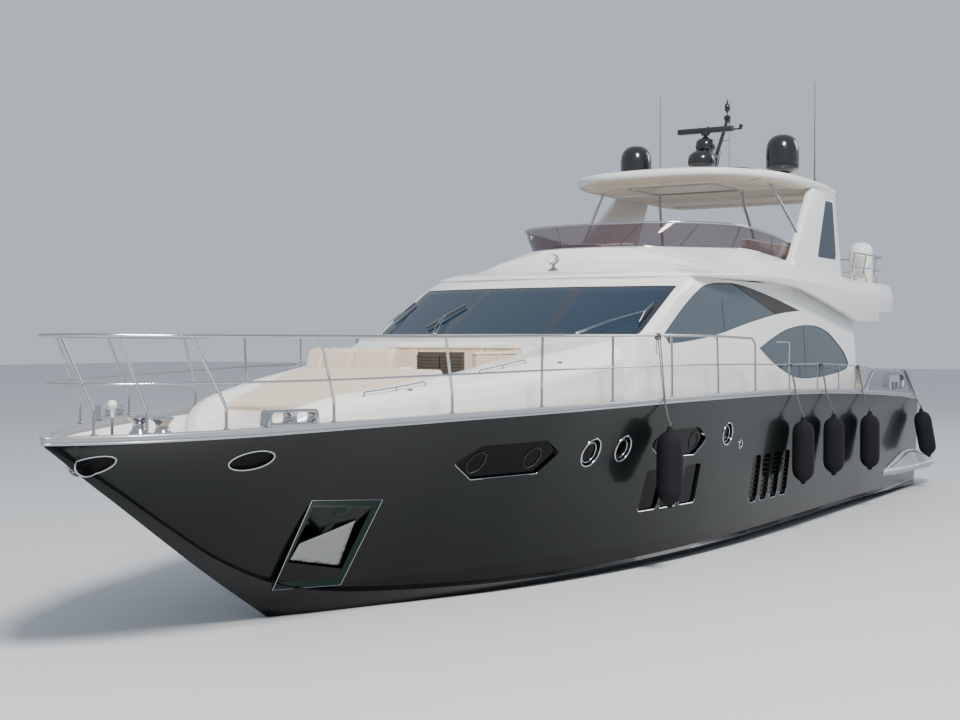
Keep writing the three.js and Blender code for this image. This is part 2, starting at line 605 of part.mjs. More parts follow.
// Saloon shell: four walls as one moulding, windows cut out
function shellForm(inset, tall = 0) {
  return loft(SHELL.map(([z, frontX, cornerX, cornerY, middleY, aftY], i) => {
    const zz = i === 0 ? z - tall : (i === SHELL.length - 1 ? z + tall : z);
    const fx = frontX - inset;
    const cx = cornerX - inset;
    const cy = cornerY - inset;
    const half = [
      [fx, 0],
      [cx + (fx - cx) * 0.9, cy * 0.33],
      [cx + (fx - cx) * 0.62, cy * 0.64],
      [cx + (fx - cx) * 0.26, cy * 0.88],
      [cx, cy * 0.975],
      [cx - 130, cy + 4],
      [cx - 900, cy + (middleY - inset - cy) * 0.6],
      [-1500, middleY - inset],
      [SHELL_AFT_X, aftY - inset],
    ];
    return [...half.map(([x, y]) => [x, y, zz]), ...half.slice(1).reverse().map(([x, y]) => [x, -y, zz])];
  }), [0, 1]);
}
const FIN = [
  [2910, 3730], [1960, 4240], [1170, 4570], [700, 4650], [190, 4680], [-530, 4680], [-1380, 4600],
  [-2530, 4450], [-3860, 4250], [-2530, 4160], [-910, 3970], [720, 3740], [2120, 3620], [2760, 3590],
];
const LEAF = [
  [-1340, 3500], [-2150, 3710], [-2970, 3870], [-4100, 3960], [-4980, 3930], [-5600, 3810], [-6080, 3630],
  [-6600, 3390], [-6890, 3150], [-6750, 3040], [-6380, 2980], [-4820, 2880], [-3300, 2910], [-2110, 3190],
];
const SCREEN = [[-2540, 3745], [2540, 3745], [2515, 4570], [-2515, 4570]];
let shell = shellForm(0).subtract(shellForm(WALL_T, 50));
shell = shell.subtract(prismY(FIN, -4000, 4000)).subtract(prismY(LEAF, -4000, 4000));
shell = shell.subtract(prismX(SCREEN, 1000, 5000));
piece('saloon_shell', shell, WHITE, 0.28, 0.0);

// Panes between an outer and an inner skin, a hair inside their openings
const paneSkin = shellForm(14).subtract(shellForm(32));
const windscreen = paneSkin.intersect(prismX(shrunk(SCREEN, GAP), 1000, 5000));
piece('windscreen', windscreen, GLASS, 0.05, 0.0);
for (const [name, outline] of [['fin_window', FIN], ['leaf_window', LEAF]]) {
  const pane = paneSkin.intersect(prismY(shrunk(outline, GAP), 1000, 4000));
  piece(name + '_port', pane, GLASS, 0.05, 0.0);
  piece(name + '_starboard', mirrored(pane), GLASS, 0.05, 0.0);
}

// Aft wall of the saloon with its doorway
const aftInner = (z) => read(SHELL, z, 5) - WALL_T - 2;
const AFT = { x0: SHELL_AFT_X + 4, x1: SHELL_AFT_X + 74, doorHalf: 620, doorTop: 4350 };
const aftBendZ = SHELL[2][0];
const aftHalf = [
  [aftInner(DECK_Z), DECK_Z + GAP], [aftInner(aftBendZ), aftBendZ], [aftInner(SHELL_TOP_Z), SHELL_TOP_Z - 4],
];
const aftOutline = [...aftHalf, ...aftHalf.slice().reverse().map(([y, z]) => [-y, z])];
let aftWall = prismX(aftOutline, AFT.x0, AFT.x1);
aftWall = aftWall.subtract(block(-8000, -7000, -AFT.doorHalf, AFT.doorHalf, DECK_Z + 30, AFT.doorTop));
aftWall = aftWall.subtract(block(-8000, -7000, -2200, -820, DECK_Z + 260, AFT.doorTop));
aftWall = aftWall.subtract(block(-8000, -7000, 820, 2200, DECK_Z + 260, AFT.doorTop));

// Sliding saloon door behind the doorway, running to starboard
const doorX = AFT.x1 + 8;
const DOOR_LIFT = 8;
const doorEdge = AFT.doorHalf + 60;
const runnerEnd = doorEdge + 1220;
const doorRunner = block(
  AFT.x1 - 20, doorX + 40, -runnerEnd, doorEdge, DECK_Z + GAP, DECK_Z + DOOR_LIFT - GAP,
);
piece('aft_wall', aftWall.add(doorRunner), STEEL, 0.3, 0.6);
const paneHalf = AFT.doorHalf + 8;
const doorFrame = block(doorX, doorX + 40, -doorEdge, doorEdge, DECK_Z + DOOR_LIFT, AFT.doorTop + 60);
const doorPane = block(doorX + 14, doorX + 26, -paneHalf, paneHalf, DECK_Z + 80, AFT.doorTop - 12);
const paneHole = block(doorX - 10, doorX + 60, -paneHalf + 2, paneHalf - 2, DECK_Z + 82, AFT.doorTop - 14);
piece('saloon_door', doorFrame.subtract(paneHole).add(doorPane), GLASS, 0.05, 0.0);

// Helm console and seats inside the windscreen, and the saloon sofas
const floorZ = DECK_Z + GAP;
const helm = sum([
  block(2350, 3800, -2200, 2200, floorZ, 3650),
  block(1700, 2360, -1500, -300, floorZ, 3450),
]);
piece('helm_console', helm, 0x3a3431, 0.6, 0.0);
// Helm chair: pedestal with its foot plate, seat and back
const CHAIR = { x: 1050, y: -900, seatHalf: 290, backHalf: 270 };
const helmChair = sum([
  turnedOn(floorZ, [[170, 0], [170, 20], [60, 40], [60, 500]], CHAIR.x, CHAIR.y, 16),
  cushion(
    rect(CHAIR.x - 280, CHAIR.x + 280, CHAIR.y - CHAIR.seatHalf, CHAIR.y + CHAIR.seatHalf),
    floorZ + 490, floorZ + 640, 40,
  ),
  cushion(
    rect(CHAIR.x - 300, CHAIR.x - 180, CHAIR.y - CHAIR.backHalf, CHAIR.y + CHAIR.backHalf),
    floorZ + 600, floorZ + 1250, 40,
  ),
]);
piece('helm_seat', helmChair, BEIGE, 0.8, 0.0);
// Sofa on a floor: x and y limits of its seat and of its back
const SOFA = { seatTop: 430, backFoot: 380, backTop: 800, seatRound: 50, backRound: 40 };
function sofa(seat, back, z) {
  const base = cushion(rect(...seat), z, z + SOFA.seatTop, SOFA.seatRound);
  return base.add(cushion(rect(...back), z + SOFA.backFoot, z + SOFA.backTop, SOFA.backRound));
}
const saloonSofa = sofa([-5600, -2400, 1500, 2520], [-5600, -2400, 2300, 2520], floorZ);
piece('saloon_sofa_port', saloonSofa, BEIGE, 0.85, 0.0);
piece('saloon_cabinet', block(-6000, -2200, -2500, -1950, floorZ, 3180), JOINERY, 0.5, 0.0);

// Upper deck moulding: brow over the windscreen, coaming, floor and overhanging wings
// The fascia below its edge is given apart, and the top can be lifted a little.
function flyForm(fascia, lift) {
  return loft(FLY.map(([x, crownZ, shoulderY, shoulderZ, edgeY, edgeZ, footZ]) => {
    const half = [
      ...fascia(edgeY, edgeZ, footZ),
      [(edgeY + shoulderY) / 2 + 25, (edgeZ + shoulderZ) / 2 + 40 + lift],
      [shoulderY, shoulderZ + lift],
    ];
    return [
      ...half.map(([y, z]) => [x, y, z]),
      [x, 0, crownZ + lift],
      ...half.reverse().map(([y, z]) => [x, -y, z]),
    ];
  }), [1, 2]);
}
let fly = flyForm((edgeY, edgeZ, footZ) => [[edgeY - 30, footZ], [edgeY, edgeZ]], 0);
const FLY_WELL = [
  [250, 0], [150, 560], [-60, 1060], [-480, 1460], [-1050, 1770], [-1560, 2070], [-2320, 2240], [-3700, 2340],
  [-5000, 2430], [-7300, 2590], [-10120, 2640],
];
const wellOutline = [...FLY_WELL, ...FLY_WELL.slice(1).reverse().map(([x, y]) => [x, -y])];
fly = fly.subtract(prismZ(wellOutline, FLY_FLOOR_Z, 6000));
fly = fly.subtract(block(-10500, 3000, -2800, 2800, 3900, SHELL_TOP_Z + GAP));
const FLY_HATCH = { x0: -9400, x1: -7900, y0: -2050, y1: -1250 };
fly = fly.subtract(block(FLY_HATCH.x0, FLY_HATCH.x1, FLY_HATCH.y0, FLY_HATCH.y1, 4500, 5200));
const flyDeck = piece('fly_deck', fly, WHITE, 0.28, 0.0);

// Tinted windshield round the front of the upper deck: foot and head points, port side and centre
const SHIELD_FOOT = [
  [-4350, 2440, 5215], [-3700, 2428, 5270], [-3060, 2405, 5318], [-2300, 2345, 5360], [-1500, 2180, 5395],
  [-980, 1880, 5388], [-400, 1570, 5388], [30, 1130, 5386], [230, 600, 5388], [330, 0, 5388],
];
const SHIELD_HEAD = [
  [-4550, 2400, 5560], [-3800, 2390, 5680], [-3100, 2370, 5750], [-2300, 2350, 5805], [-1600, 2290, 5840],
  [-1050, 2120, 5850], [-620, 1860, 5850], [-300, 1460, 5850], [-90, 900, 5850], [-20, 0, 5850],
];
const acrossBow = (half) => [...half, ...half.slice(0, -1).reverse().map(([x, y, z]) => [x, -y, z])];
const foot = acrossBow(SHIELD_FOOT);
const head = acrossBow(SHIELD_HEAD);
function outwards(points, i) {
  const a = points[Math.max(0, i - 1)];
  const b = points[Math.min(points.length - 1, i + 1)];
  const l = Math.hypot(b[0] - a[0], b[1] - a[1]);
  return [-(b[1] - a[1]) / l, (b[0] - a[0]) / l];
}
const SHIELD = { thick: 12, lift: 8, lower: 48, postR: 12 };
function shieldFoot(i) {
  const [x, y] = foot[i];
  return [x, y, seatOn(flyDeck, x, y, SHIELD.thick) + SHIELD.lift];
}
const shieldHead = (i) => [head[i][0], head[i][1], head[i][2] - SHIELD.lower];
const inwards = (i, d) => {
  const [nx, ny] = outwards(foot, i);
  const s = nx * foot[i][0] + ny * foot[i][1] < 0 ? 1 : -1;
  return [nx * s * d, ny * s * d];
};
const shifted = ([x, y, z], [dx, dy]) => [x + dx, y + dy, z];
function shield() {
  const rings = foot.map((_, i) => {
    const low = shieldFoot(i);
    const high = shieldHead(i);
    const across = inwards(i, SHIELD.thick);
    return [low, high, shifted(high, across), shifted(low, across)];
  });
  return swept(rings);
}
piece('fly_windshield', shield(), 0x6d5560, 0.08, 0.0);

// Steel frame of the windshield
const frameRail = bar(head, 18, 8);
const framePosts = foot.map((_, i) => i).filter((i) => i % 2 === 0).map((i) => {
  const low = shieldFoot(i);
  const high = shieldHead(i);
  const rise = high[2] - low[2];
  const lean = Math.hypot(rise, high[0] - low[0], high[1] - low[1]) / rise;
  const behind = inwards(i, SHIELD.thick + (SHIELD.postR + 2 * GAP) * lean);
  const [x, y] = shifted(low, behind);
  const post = [
    [x, y, seatOn(flyDeck, x, y, SHIELD.postR)],
    shifted(low, behind),
    shifted(high, behind),
    shifted(head[i], inwards(i, 4)),
  ];
  return bar(post, SHIELD.postR, 6);
});
piece('fly_frame', sum([frameRail, ...framePosts]), STEEL, 0.2, 0.9);

// Upper deck furniture: helm, seats, table and bar
const flyZ = FLY_FLOOR_Z + GAP;
const FLY_HELM = { aft: -900, front: -350, nose: -150, top: 5500, noseTop: 5320, y0: -1100, y1: -200 };
const flyHelmSide = [
  [FLY_HELM.aft, flyZ], [FLY_HELM.aft, FLY_HELM.top], [FLY_HELM.front, FLY_HELM.top],
  [FLY_HELM.nose, FLY_HELM.noseTop], [FLY_HELM.nose, flyZ],
];
piece('fly_helm', prismY(flyHelmSide, FLY_HELM.y0, FLY_HELM.y1), WHITE, 0.4, 0.0);
const flyHelmSeat = sofa([-2300, -1750, -1550, -250], [-2300, -2150, -1550, -250], flyZ);
piece('fly_helm_seat', flyHelmSeat, BEIGE, 0.85, 0.0);
piece('fly_sofa', sum([
  sofa([-5400, -2200, 1560, 2180], [-5400, -2200, 2040, 2180], flyZ),
  sofa([-6000, -5380, 600, 2190], [-6000, -5850, 600, 2190], flyZ),
]), BEIGE, 0.85, 0.0);
// Table on a turned foot: x and y limits of its top, whose corners are cut, floor and height
const TABLE = { footR: 225, plate: 25, stemFoot: 60, stemR: 60, thick: 40, cut: 100 };
function table([x0, x1, y0, y1], z, height) {
  const foot = turnedOn(z, [
    [TABLE.footR, 0], [TABLE.footR, TABLE.plate], [TABLE.stemR, TABLE.stemFoot], [TABLE.stemR, height + 10],
  ], (x0 + x1) / 2, (y0 + y1) / 2, 16);
  const c = TABLE.cut;
  const plan = [
    [x0 + c, y0], [x1 - c, y0], [x1, y0 + c], [x1, y1 - c],
    [x1 - c, y1], [x0 + c, y1], [x0, y1 - c], [x0, y0 + c],
  ];
  return foot.add(prismZ(plan, z + height, z + height + TABLE.thick));
}
piece('fly_table', table([-5100, -3500, 500, 1300], flyZ, 670), TEAK, 0.5, 0.0);
piece('fly_bar', block(-5600, -4000, -2250, -1700, flyZ, 5720), WHITE, 0.35, 0.0);

// Hardtop with its two raking legs: x and y of its edge; the sun roof is an opening
const HARDTOP = [
  [-2200, 500], [-2330, 1220], [-2700, 1740], [-3250, 2080], [-4000, 2320],
  [-5500, 2400], [-7000, 2320], [-8000, 2180], [-8320, 1980], [-8380, 1500],
];
// Outline of the roof stepped in by a distance: its ends along x, every point across.
function roofPlan(d) {
  const along = (x) => {
    if (x > -3300) return x - d;
    return x < -7500 ? x + d : x;
  };
  const half = HARDTOP.map(([x, y]) => [along(x), y - d]);
  return [...half, ...half.reverse().map(([x, y]) => [x, -y])];
}
// Roof rings: distance in from the edge, height over the edge, slope of the aft fall
const ROOF_RINGS = [
  [70, -190, 0.048], [10, -110, 0.048], [0, -40, 0.048], [30, 10, 0.048], [330, 80, 0.04], [900, 130, 0],
];
const ROOF_FALL_X = -7000;
function roofForm() {
  const rings = ROOF_RINGS.map(([inset, height, fall]) => (
    roofPlan(inset).map(([x, y]) => [x, y, HARDTOP_EDGE_Z + height - Math.max(0, ROOF_FALL_X - x) * fall])
  ));
  return loft(rings, [0, 1]);
}
// Legs lean inwards as they rise: side outline, height of their foot and head, outer y at both
const LEG = [[-5670, 6950], [-7250, 6930], [-6750, 5030], [-6300, 4900], [-3300, 5130], [-3700, 5380]];
const LEG_LEAN = { footZ: 5000, headZ: 6950, footY: 2690, headY: 2360, thick: 150 };
function leg() {
  const rings = [0, 1].map((k) => LEG.map(([x, z]) => {
    const t = (z - LEG_LEAN.footZ) / (LEG_LEAN.headZ - LEG_LEAN.footZ);
    const outer = LEG_LEAN.footY + t * (LEG_LEAN.headY - LEG_LEAN.footY);
    return [x, outer - k * LEG_LEAN.thick, z];
  }));
  return loft(rings, [0, 2]);
}
// Strut between the front edge of a leg and the underside of the roof
const strut = bar([[-4340, 2480, 5850], [-4200, 1900, 6960]], 28, 8);
const SUN_ROOF = { aft: -4980, front: -3400, half: 1000 };
const ROOF_TOP = HARDTOP_EDGE_Z + 130;
const DOME = { x: -5500, y: 1740, footR: 150 };
const WHIP = { x: -7200, y: 1900, footZ: HARDTOP_EDGE_Z + 90, topZ: 9500 };
const sunRoof = block(SUN_ROOF.aft, SUN_ROOF.front, -SUN_ROOF.half, SUN_ROOF.half, 6500, 7600);
let hardtop = roofForm().subtract(sunRoof);
hardtop = hardtop.add(both(turnedOn(ROOF_TOP, [[190, -60], [190, 0]], DOME.x, DOME.y, 20)));
hardtop = hardtop.add(both(turnedOn(WHIP.footZ, [[45, -40], [45, -GAP]], WHIP.x, WHIP.y, 12)));
const overFly = flyForm((y, z) => [[y + 40, 4000], [y + 40, z]], GAP);
hardtop = hardtop.add(both(leg()).subtract(overFly)).add(both(strut));
piece('hardtop', hardtop, WHITE, 0.28, 0.0);

// Satellite domes on the hardtop
const roofTop = ROOF_TOP + GAP;
const DOME_PROFILE = [
  [DOME.footR, 0], [DOME.footR, 60], [300, 110], [345, 150], [355, 330],
  [355, 560], [335, 690], [270, 800], [160, 870], [40, 895],
];
const dome = (y) => turnedOn(roofTop, DOME_PROFILE, DOME.x, y, 20);
piece('dome_port', dome(DOME.y), BLACK, 0.2, 0.0);
piece('dome_starboard', dome(-DOME.y), BLACK, 0.2, 0.0);

// Mast with a small dome, the radar pedestal on its arm and the masthead light
const SCANNER = { x: -5400, z: 8200, halfLength: 650, halfWidth: 60 };
const MAST = {
  foot: [-5800, 0, roofTop + 30], bend: [-6050, 0, 7800], head: [-6700, 0, 8700], domeX: -5180,
};
const SMALL_DOME = [[110, 40], [110, 180], [240, 240], [300, 330], [300, 450], [230, 580], [90, 640]];
const PEDESTAL = [[200, -320], [220, -240], [190, -90], [90, -50], [60, -20], [30, -10], [30, -GAP]];
const MAST_LIGHT = [[60, -40], [60, 20], [75, 30], [75, 100], [25, 130], [20, 480]];
const mast = sum([
  bar([MAST.foot, MAST.bend, MAST.head], 55, 10),
  block(-6100, -5020, -200, 200, roofTop, roofTop + 60),
  turnedOn(roofTop, SMALL_DOME, MAST.domeX, 0, 24),
  bar([[-6060, 0, 7780], [-5450, 0, 7900]], 60, 8),
  turnedOn(SCANNER.z, PEDESTAL, SCANNER.x, 0, 20),
  turnedOn(MAST.head[2], MAST_LIGHT, MAST.head[0], 0, 12),
]);
piece('mast', mast, BLACK, 0.35, 0.1);

// Radar scanner bar that turns on the pedestal
const scanner = sum([
  turnedOn(SCANNER.z, [[80, 0], [100, 30], [100, 80]], SCANNER.x, 0, 20),
  block(
    SCANNER.x - SCANNER.halfWidth, SCANNER.x + SCANNER.halfWidth,
    -SCANNER.halfLength, SCANNER.halfLength, SCANNER.z + 70, SCANNER.z + 170,
  ),
]);
piece('radar_scanner', scanner, BLACK, 0.3, 0.0);

// Whip aerials on the roof edges
function whip(y) {
  const z = WHIP.footZ;
  return turned([[30, z], [30, z + 120], [14, z + 160], [6, WHIP.topZ]], WHIP.x, y, 8);
}
piece('whip_port', whip(WHIP.y), BLACK, 0.5, 0.0);
piece('whip_starboard', whip(-WHIP.y), BLACK, 0.5, 0.0);

// Rail round the aft end of the upper deck and the white canister inside it
const AFT_RAIL = [[-7650, 2680], [-9300, 2720], [-9900, 2680], [-10140, 2400], [-10170, 1500], [-10170, 0]];
const AFT_POSTS = [[-7650, 2680], [-8500, 2700], [-9300, 2720], [-10140, 2400], [-10170, 1500], [-10170, 0]];
const AFT_RAIL_TOP = 5630;
const AFT_RAIL_MIDDLE = 5320;
const aftRailLoop = (z) => acrossBow(AFT_RAIL.map(([x, y]) => [x, y, z]));
const aftRailPosts = acrossBow(AFT_POSTS.map(([x, y]) => [x, y, AFT_RAIL_TOP]));
const aftRail = sum([
  bar(aftRailLoop(AFT_RAIL_TOP), RAIL_R, 8),
  bar(aftRailLoop(AFT_RAIL_MIDDLE), 10, 6),
  ...aftRailPosts.map(([x, y, z]) => bar([[x, y, seatOn(flyDeck, x, y, POST_R)], [x, y, z]], POST_R, 6)),
]);
piece('fly_aft_rail', aftRail, STEEL, 0.2, 0.9);
const CANISTER = [[250, 0], [280, 60], [280, 930], [230, 1070], [110, 1140]];
piece('canister', turnedOn(flyZ, CANISTER, -9400, 2320, 20), WHITE, 0.4, 0.0);

// Bow and side rails on the cap rail: port half of the top rail and of the middle rail
const TOP_RAIL = [
  [13200, 0, 3700], [13170, 200, 3700], [12980, 440, 3700], [12740, 670, 3697], [12170, 1090, 3692],
  [10700, 1760, 3690], [8760, 2260, 3690], [6950, 2680, 3705], [5240, 2920, 3715], [3450, 3070, 3725],
  [1700, 3130, 3720], [130, 3165, 3680], [20, 3165, 3600],
];
const MID_RAIL = [
  [13080, 0, 3160], [13070, 140, 3160], [13010, 320, 3160], [12620, 700, 3160], [11870, 1150, 3160],
  [10560, 1770, 3170], [8660, 2250, 3200], [6930, 2680, 3230], [5240, 2920, 3245], [3450, 3070, 3250],
  [1700, 3130, 3240], [0, 3165, 3220],
];
// Posts: x of the foot and how far forward the head leans; the two foremost stand on the port side only
const PORT_POSTS = [[12950, 240], [12520, 290]];
const POSTS = [
  [11700, 470], [10370, 330], [8540, 210], [6920, 20], [5235, 0], [3450, 0], [1700, 0], [0, 0],
];
const BEND_UP = 260;
function topRailAt(x) {
  const rows = TOP_RAIL.slice(1);
  return [x, read(rows, x, 1), read(rows, x, 2)];
}
function railPost([x, lean]) {
  const [, y, z] = overCap(x, BEND_UP);
  return bar([[x, y, seatOn(capRailItem, x, y, POST_R)], [x, y, z], topRailAt(x + lean)], POST_R, 6);
}
const bowRail = sum([
  bar(acrossBow([...TOP_RAIL].reverse()), RAIL_R, 6),
  bar(acrossBow([...MID_RAIL].reverse()), 11, 6),
  both(sum(POSTS.map(railPost))),
  ...PORT_POSTS.map(railPost),
]);
piece('bow_rail', bowRail, STEEL, 0.2, 0.9);

// Windlass drums on one foredeck plate
const foreZ = (x) => deckZ(x) + GAP;
const WINDLASS = { x0: 11150, x1: 12150, half: 330, plate: 25, drumX: 11700, drumY: 190 };
const DRUM = [[130, foreZ(WINDLASS.x1) + 10], [130, 2540], [90, 2570], [90, 2640], [140, 2680], [140, 2720]];
const windlassPlate = [
  [WINDLASS.x0, foreZ(WINDLASS.x0)], [WINDLASS.x1, foreZ(WINDLASS.x1)],
  [WINDLASS.x1, foreZ(WINDLASS.x1) + WINDLASS.plate], [WINDLASS.x0, foreZ(WINDLASS.x0) + WINDLASS.plate],
];
const windlass = sum([
  prismY(windlassPlate, -WINDLASS.half, WINDLASS.half),
  both(turned(DRUM, WINDLASS.drumX, WINDLASS.drumY, 20)),
]);
piece('windlass', windlass, STEEL, 0.2, 0.9);

// Polished anchor pockets with flat anchors: outlines of the fluke, the shank and the head of the shank
const FLUKE = [[9730, 1040], [9120, 1300], [8990, 650], [9740, 800]];
const SHANK = [[9510, 1480], [9390, 1480], [9330, 800], [9470, 800]];
const SHANK_HEAD = [[9570, 1600], [9330, 1600], [9350, 1380], [9540, 1390]];
function anchor() {
  const proud = hullForm(-4);
  const ring = opening(shrunk(ANCHOR_PLATE, 1), hullForm(8 - GAP)).intersect(proud)
    .subtract(prismY(shrunk(ANCHOR_POCKET, 14), 0, 4200));
  const inPocket = prismY(shrunk(ANCHOR_POCKET, GAP), 0, 4200);
  const slice = (outline, deep, shallow) => (
    opening(outline, hullForm(deep)).intersect(hullForm(shallow)).intersect(inPocket)
  );
  return sum([ring, slice(FLUKE, 120, 40), slice(SHANK, 150, 60), slice(SHANK_HEAD, 150, -4)]);
}
const portAnchor = anchor();
piece('anchor_port', portAnchor, STEEL, 0.15, 0.95);
piece('anchor_starboard', mirrored(portAnchor), STEEL, 0.15, 0.95);

// Fenders along the port side: x, top z, bottom z, how far the bottom hangs outboard, x of the lanyard's end
const FENDERS = [
  [3900, 2250, 1060, 0, 3900], [-1830, 2130, 940, 0, -1830], [-3670, 2120, 950, 0, -3670],
  [-6200, 2060, 860, 0, -6200], [-10950, 1920, 790, 200, -10200],
];
const FENDER_R = 205;
const LANYARD_R = 8;
// Half breadth of the straight side between the chine and the sheer.
function hullSide(x, z) {
  const chine = [read(HULL, x, 2), read(HULL, x, 3)];
  const t = THREE.MathUtils.clamp((z - chine[1]) / (sheerZ(x) - CAP_T - chine[1]), 0, 1);
  return chine[0] + t * (sheerY(x) - chine[0]);
}
// End of a lanyard: just under the rail that it is tied to, or against the quarter hump.
function lanyardEnd(x) {
  if (x > 0) return [x, topRailAt(x)[1], topRailAt(x)[2] - RAIL_R * Math.cos(Math.PI / 6) - 3 * GAP];
  if (x > HUMP[0][0]) return [x, quarterPoint(x)[1], quarterPoint(x)[2] - MID_RAIL_R - 1.4 * GAP];
  const height = read(HUMP, x, 1) * 0.76;
  return [x, sheerY(x) - 10 - 19 + LANYARD_R * Math.cos(Math.PI / 6) - GAP, sheerZ(x) + height];
}
FENDERS.forEach(([x, top, bottom, lean, tiedX], i) => {
  const y = Math.max(hullSide(x, top), hullSide(x, bottom)) + FENDER_R + 26;
  const upright = turned([
    [60, bottom], [150, bottom + 50], [FENDER_R, bottom + 170], [FENDER_R, top - 190], [150, top - 70],
    [60, top - 20], [45, top + 70],
  ], x, y, 20);
  const angle = THREE.MathUtils.radToDeg(Math.asin(lean / (top - bottom)));
  const body = upright.translate([0, -y, -top]).rotate([angle, 0, 0]).translate([0, y, top]);
  const over = sheerY(x) + CAP_OUT + 14;
  const lanyard = bar([
    [x, y, top + 40],
    [x, over + 2, sheerZ(x) - 40],
    [x, over - 4, sheerZ(x) + 16],
    lanyardEnd(tiedX),
  ], LANYARD_R, 6);
  piece('fender_' + (i + 1), body.add(lanyard), BLACK, 0.6, 0.0);
});

// Swim platform wrapping the stern corners, with a fairing along each side of the hull
const PLATFORM = [
  [-9100, 2960], [-9800, 3080], [-12500, 3200], [-13120, 3060], [-13300, 2700], [-13340, 1400], [-13350, 0],
];
const PLATFORM_T = 170;
const platformOutline = [...PLATFORM, ...PLATFORM.slice(0, -1).reverse().map(([x, y]) => [x, -y])];
// Fairing: x, y of its outer edge, y and z of its ridge against the hull
const FAIRING = [
  [-8700, 3075, 3000, 640], [-9500, 3190, 3050, 800], [-10500, 3280, 3060, 1000],
  [-11600, 3300, 3040, 960], [-12300, 3300, 3000, 800], [-13100, 3150, 2950, 640],
];
const FAIRING_FOOT = { inner: 2700, z: PLATFORM_Z - 120 };
const fairing = loft(FAIRING.map(([x, outerY, ridgeY, ridgeZ]) => [
  [x, FAIRING_FOOT.inner, FAIRING_FOOT.z], [x, outerY, FAIRING_FOOT.z], [x, outerY, PLATFORM_Z],
  [x, ridgeY, ridgeZ], [x, FAIRING_FOOT.inner, PLATFORM_Z],
]), [1, 2]);
let platform = prismZ(platformOutline, PLATFORM_Z - PLATFORM_T, PLATFORM_Z).add(both(fairing));
platform = platform.subtract(hullForm(-GAP)).subtract(hullForm(-GAP).translate([-GAP * 2, 0, 0]));
piece('swim_platform', platform, 0x8d8c88, 0.6, 0.0);

// Transom door over the garage, hinged along its top edge
const DOOR = { half: 1590, low: 870, high: 1890, thick: 60 };
const doorFace = (d) => [[transomX(DOOR.low) + d, DOOR.low], [transomX(DOOR.high) + d, DOOR.high]];
const garageDoor = prismY([...doorFace(2), ...doorFace(2 + DOOR.thick).reverse()], -DOOR.half, DOOR.half);
// Hinge barrels on the turning axis, close under the edge of the opening
const barrelR = Math.hypot(transomX(GARAGE.roof) - transomX(DOOR.high), GARAGE.roof - DOOR.high) - GAP;
const barrels = [-1200, 0, 1200].map((y) => (
  bar([[transomX(DOOR.high), y - 90, DOOR.high], [transomX(DOOR.high), y + 90, DOOR.high]], barrelR, 12)
));
piece('garage_door', sum([garageDoor, ...barrels]), GREY, 0.18, 0.35);

// Cockpit sofa across the stern, and the table
const cockpitSofa = sofa([-11300, -10600, -1800, 1800], [-11300, -11140, -1800, 1800], floorZ);
piece('cockpit_sofa', cockpitSofa, BEIGE, 0.85, 0.0);
piece('cockpit_table', table([-10400, -9300, -800, 800], floorZ, 690), TEAK, 0.5, 0.0);

// Stair up to the upper deck between two side boards
const STAIR = { count: 9, run: 165, footX: -9200, outer: -2000, inner: -1300, thick: 40, board: 35 };
function flyStair() {
  const rise = (FLY_FLOOR_Z - DECK_Z) / (STAIR.count + 1);
  const treads = Array.from({ length: STAIR.count }, (_, k) => {
    const x = STAIR.footX + STAIR.run * k;
    const z = DECK_Z + rise * (k + 1);
    return block(x - 20, x + 220, STAIR.outer, STAIR.inner, z - STAIR.thick, z);
  });
  const headX = STAIR.footX + STAIR.run * STAIR.count;
  const headZ = FLY_FLOOR_Z - 120;
  const side = [
    [STAIR.footX - 40, floorZ], [STAIR.footX + 140, floorZ], [headX + 100, headZ], [headX - 80, headZ],
  ];
  const boards = [STAIR.outer - 30, STAIR.inner - 5].map((y) => prismY(side, y, y + STAIR.board));
  return sum([...boards, ...treads]);
}
piece('fly_stair', flyStair(), WHITE, 0.4, 0.2);

// Propellers with their shafts; blade sections: radius, half chord, pitch angle, half thickness
const BLADE = [
  [60, 75, 0.9, 16], [180, 130, 0.7, 13], [290, 135, 0.52, 10], [370, 95, 0.42, 8], [400, 40, 0.38, 6],
];
const BLADES = 4;
function propeller() {
  const hub = alongShaft(-90, 130, 90, 16).add(alongShaft(0, SHAFT.length - GAP, SHAFT.radius, 12));
  const axis = new THREE.Vector3(Math.cos(shaftSlope), 0, Math.sin(shaftSlope));
  const upright = new THREE.Vector3(-axis.z, 0, axis.x);
  const centre = new THREE.Vector3(...shaftPoint(20));
  const blades = Array.from({ length: BLADES }, (_, k) => {
    const a = (k / BLADES) * Math.PI * 2 + 0.4;
    const radial = new THREE.Vector3(0, Math.cos(a), 0).addScaledVector(upright, Math.sin(a));
    const tangent = axis.clone().cross(radial);
    return swept(BLADE.map(([r, halfChord, pitch, t]) => {
      const chord = tangent.clone().multiplyScalar(Math.cos(pitch)).addScaledVector(axis, Math.sin(pitch));
      const normal = radial.clone().cross(chord);
      return [[-halfChord, 0], [0, t], [halfChord, 0], [0, -t]].map(([c, n]) => {
        const p = centre.clone().addScaledVector(radial, r);
        return p.addScaledVector(chord, c).addScaledVector(normal, n).toArray();
      });
    }));
  });
  return sum([hub, ...blades]);
}
const portPropeller = propeller();
piece('propeller_port', portPropeller, BRONZE, 0.3, 0.9);
piece('propeller_starboard', mirrored(portPropeller), BRONZE, 0.3, 0.9);

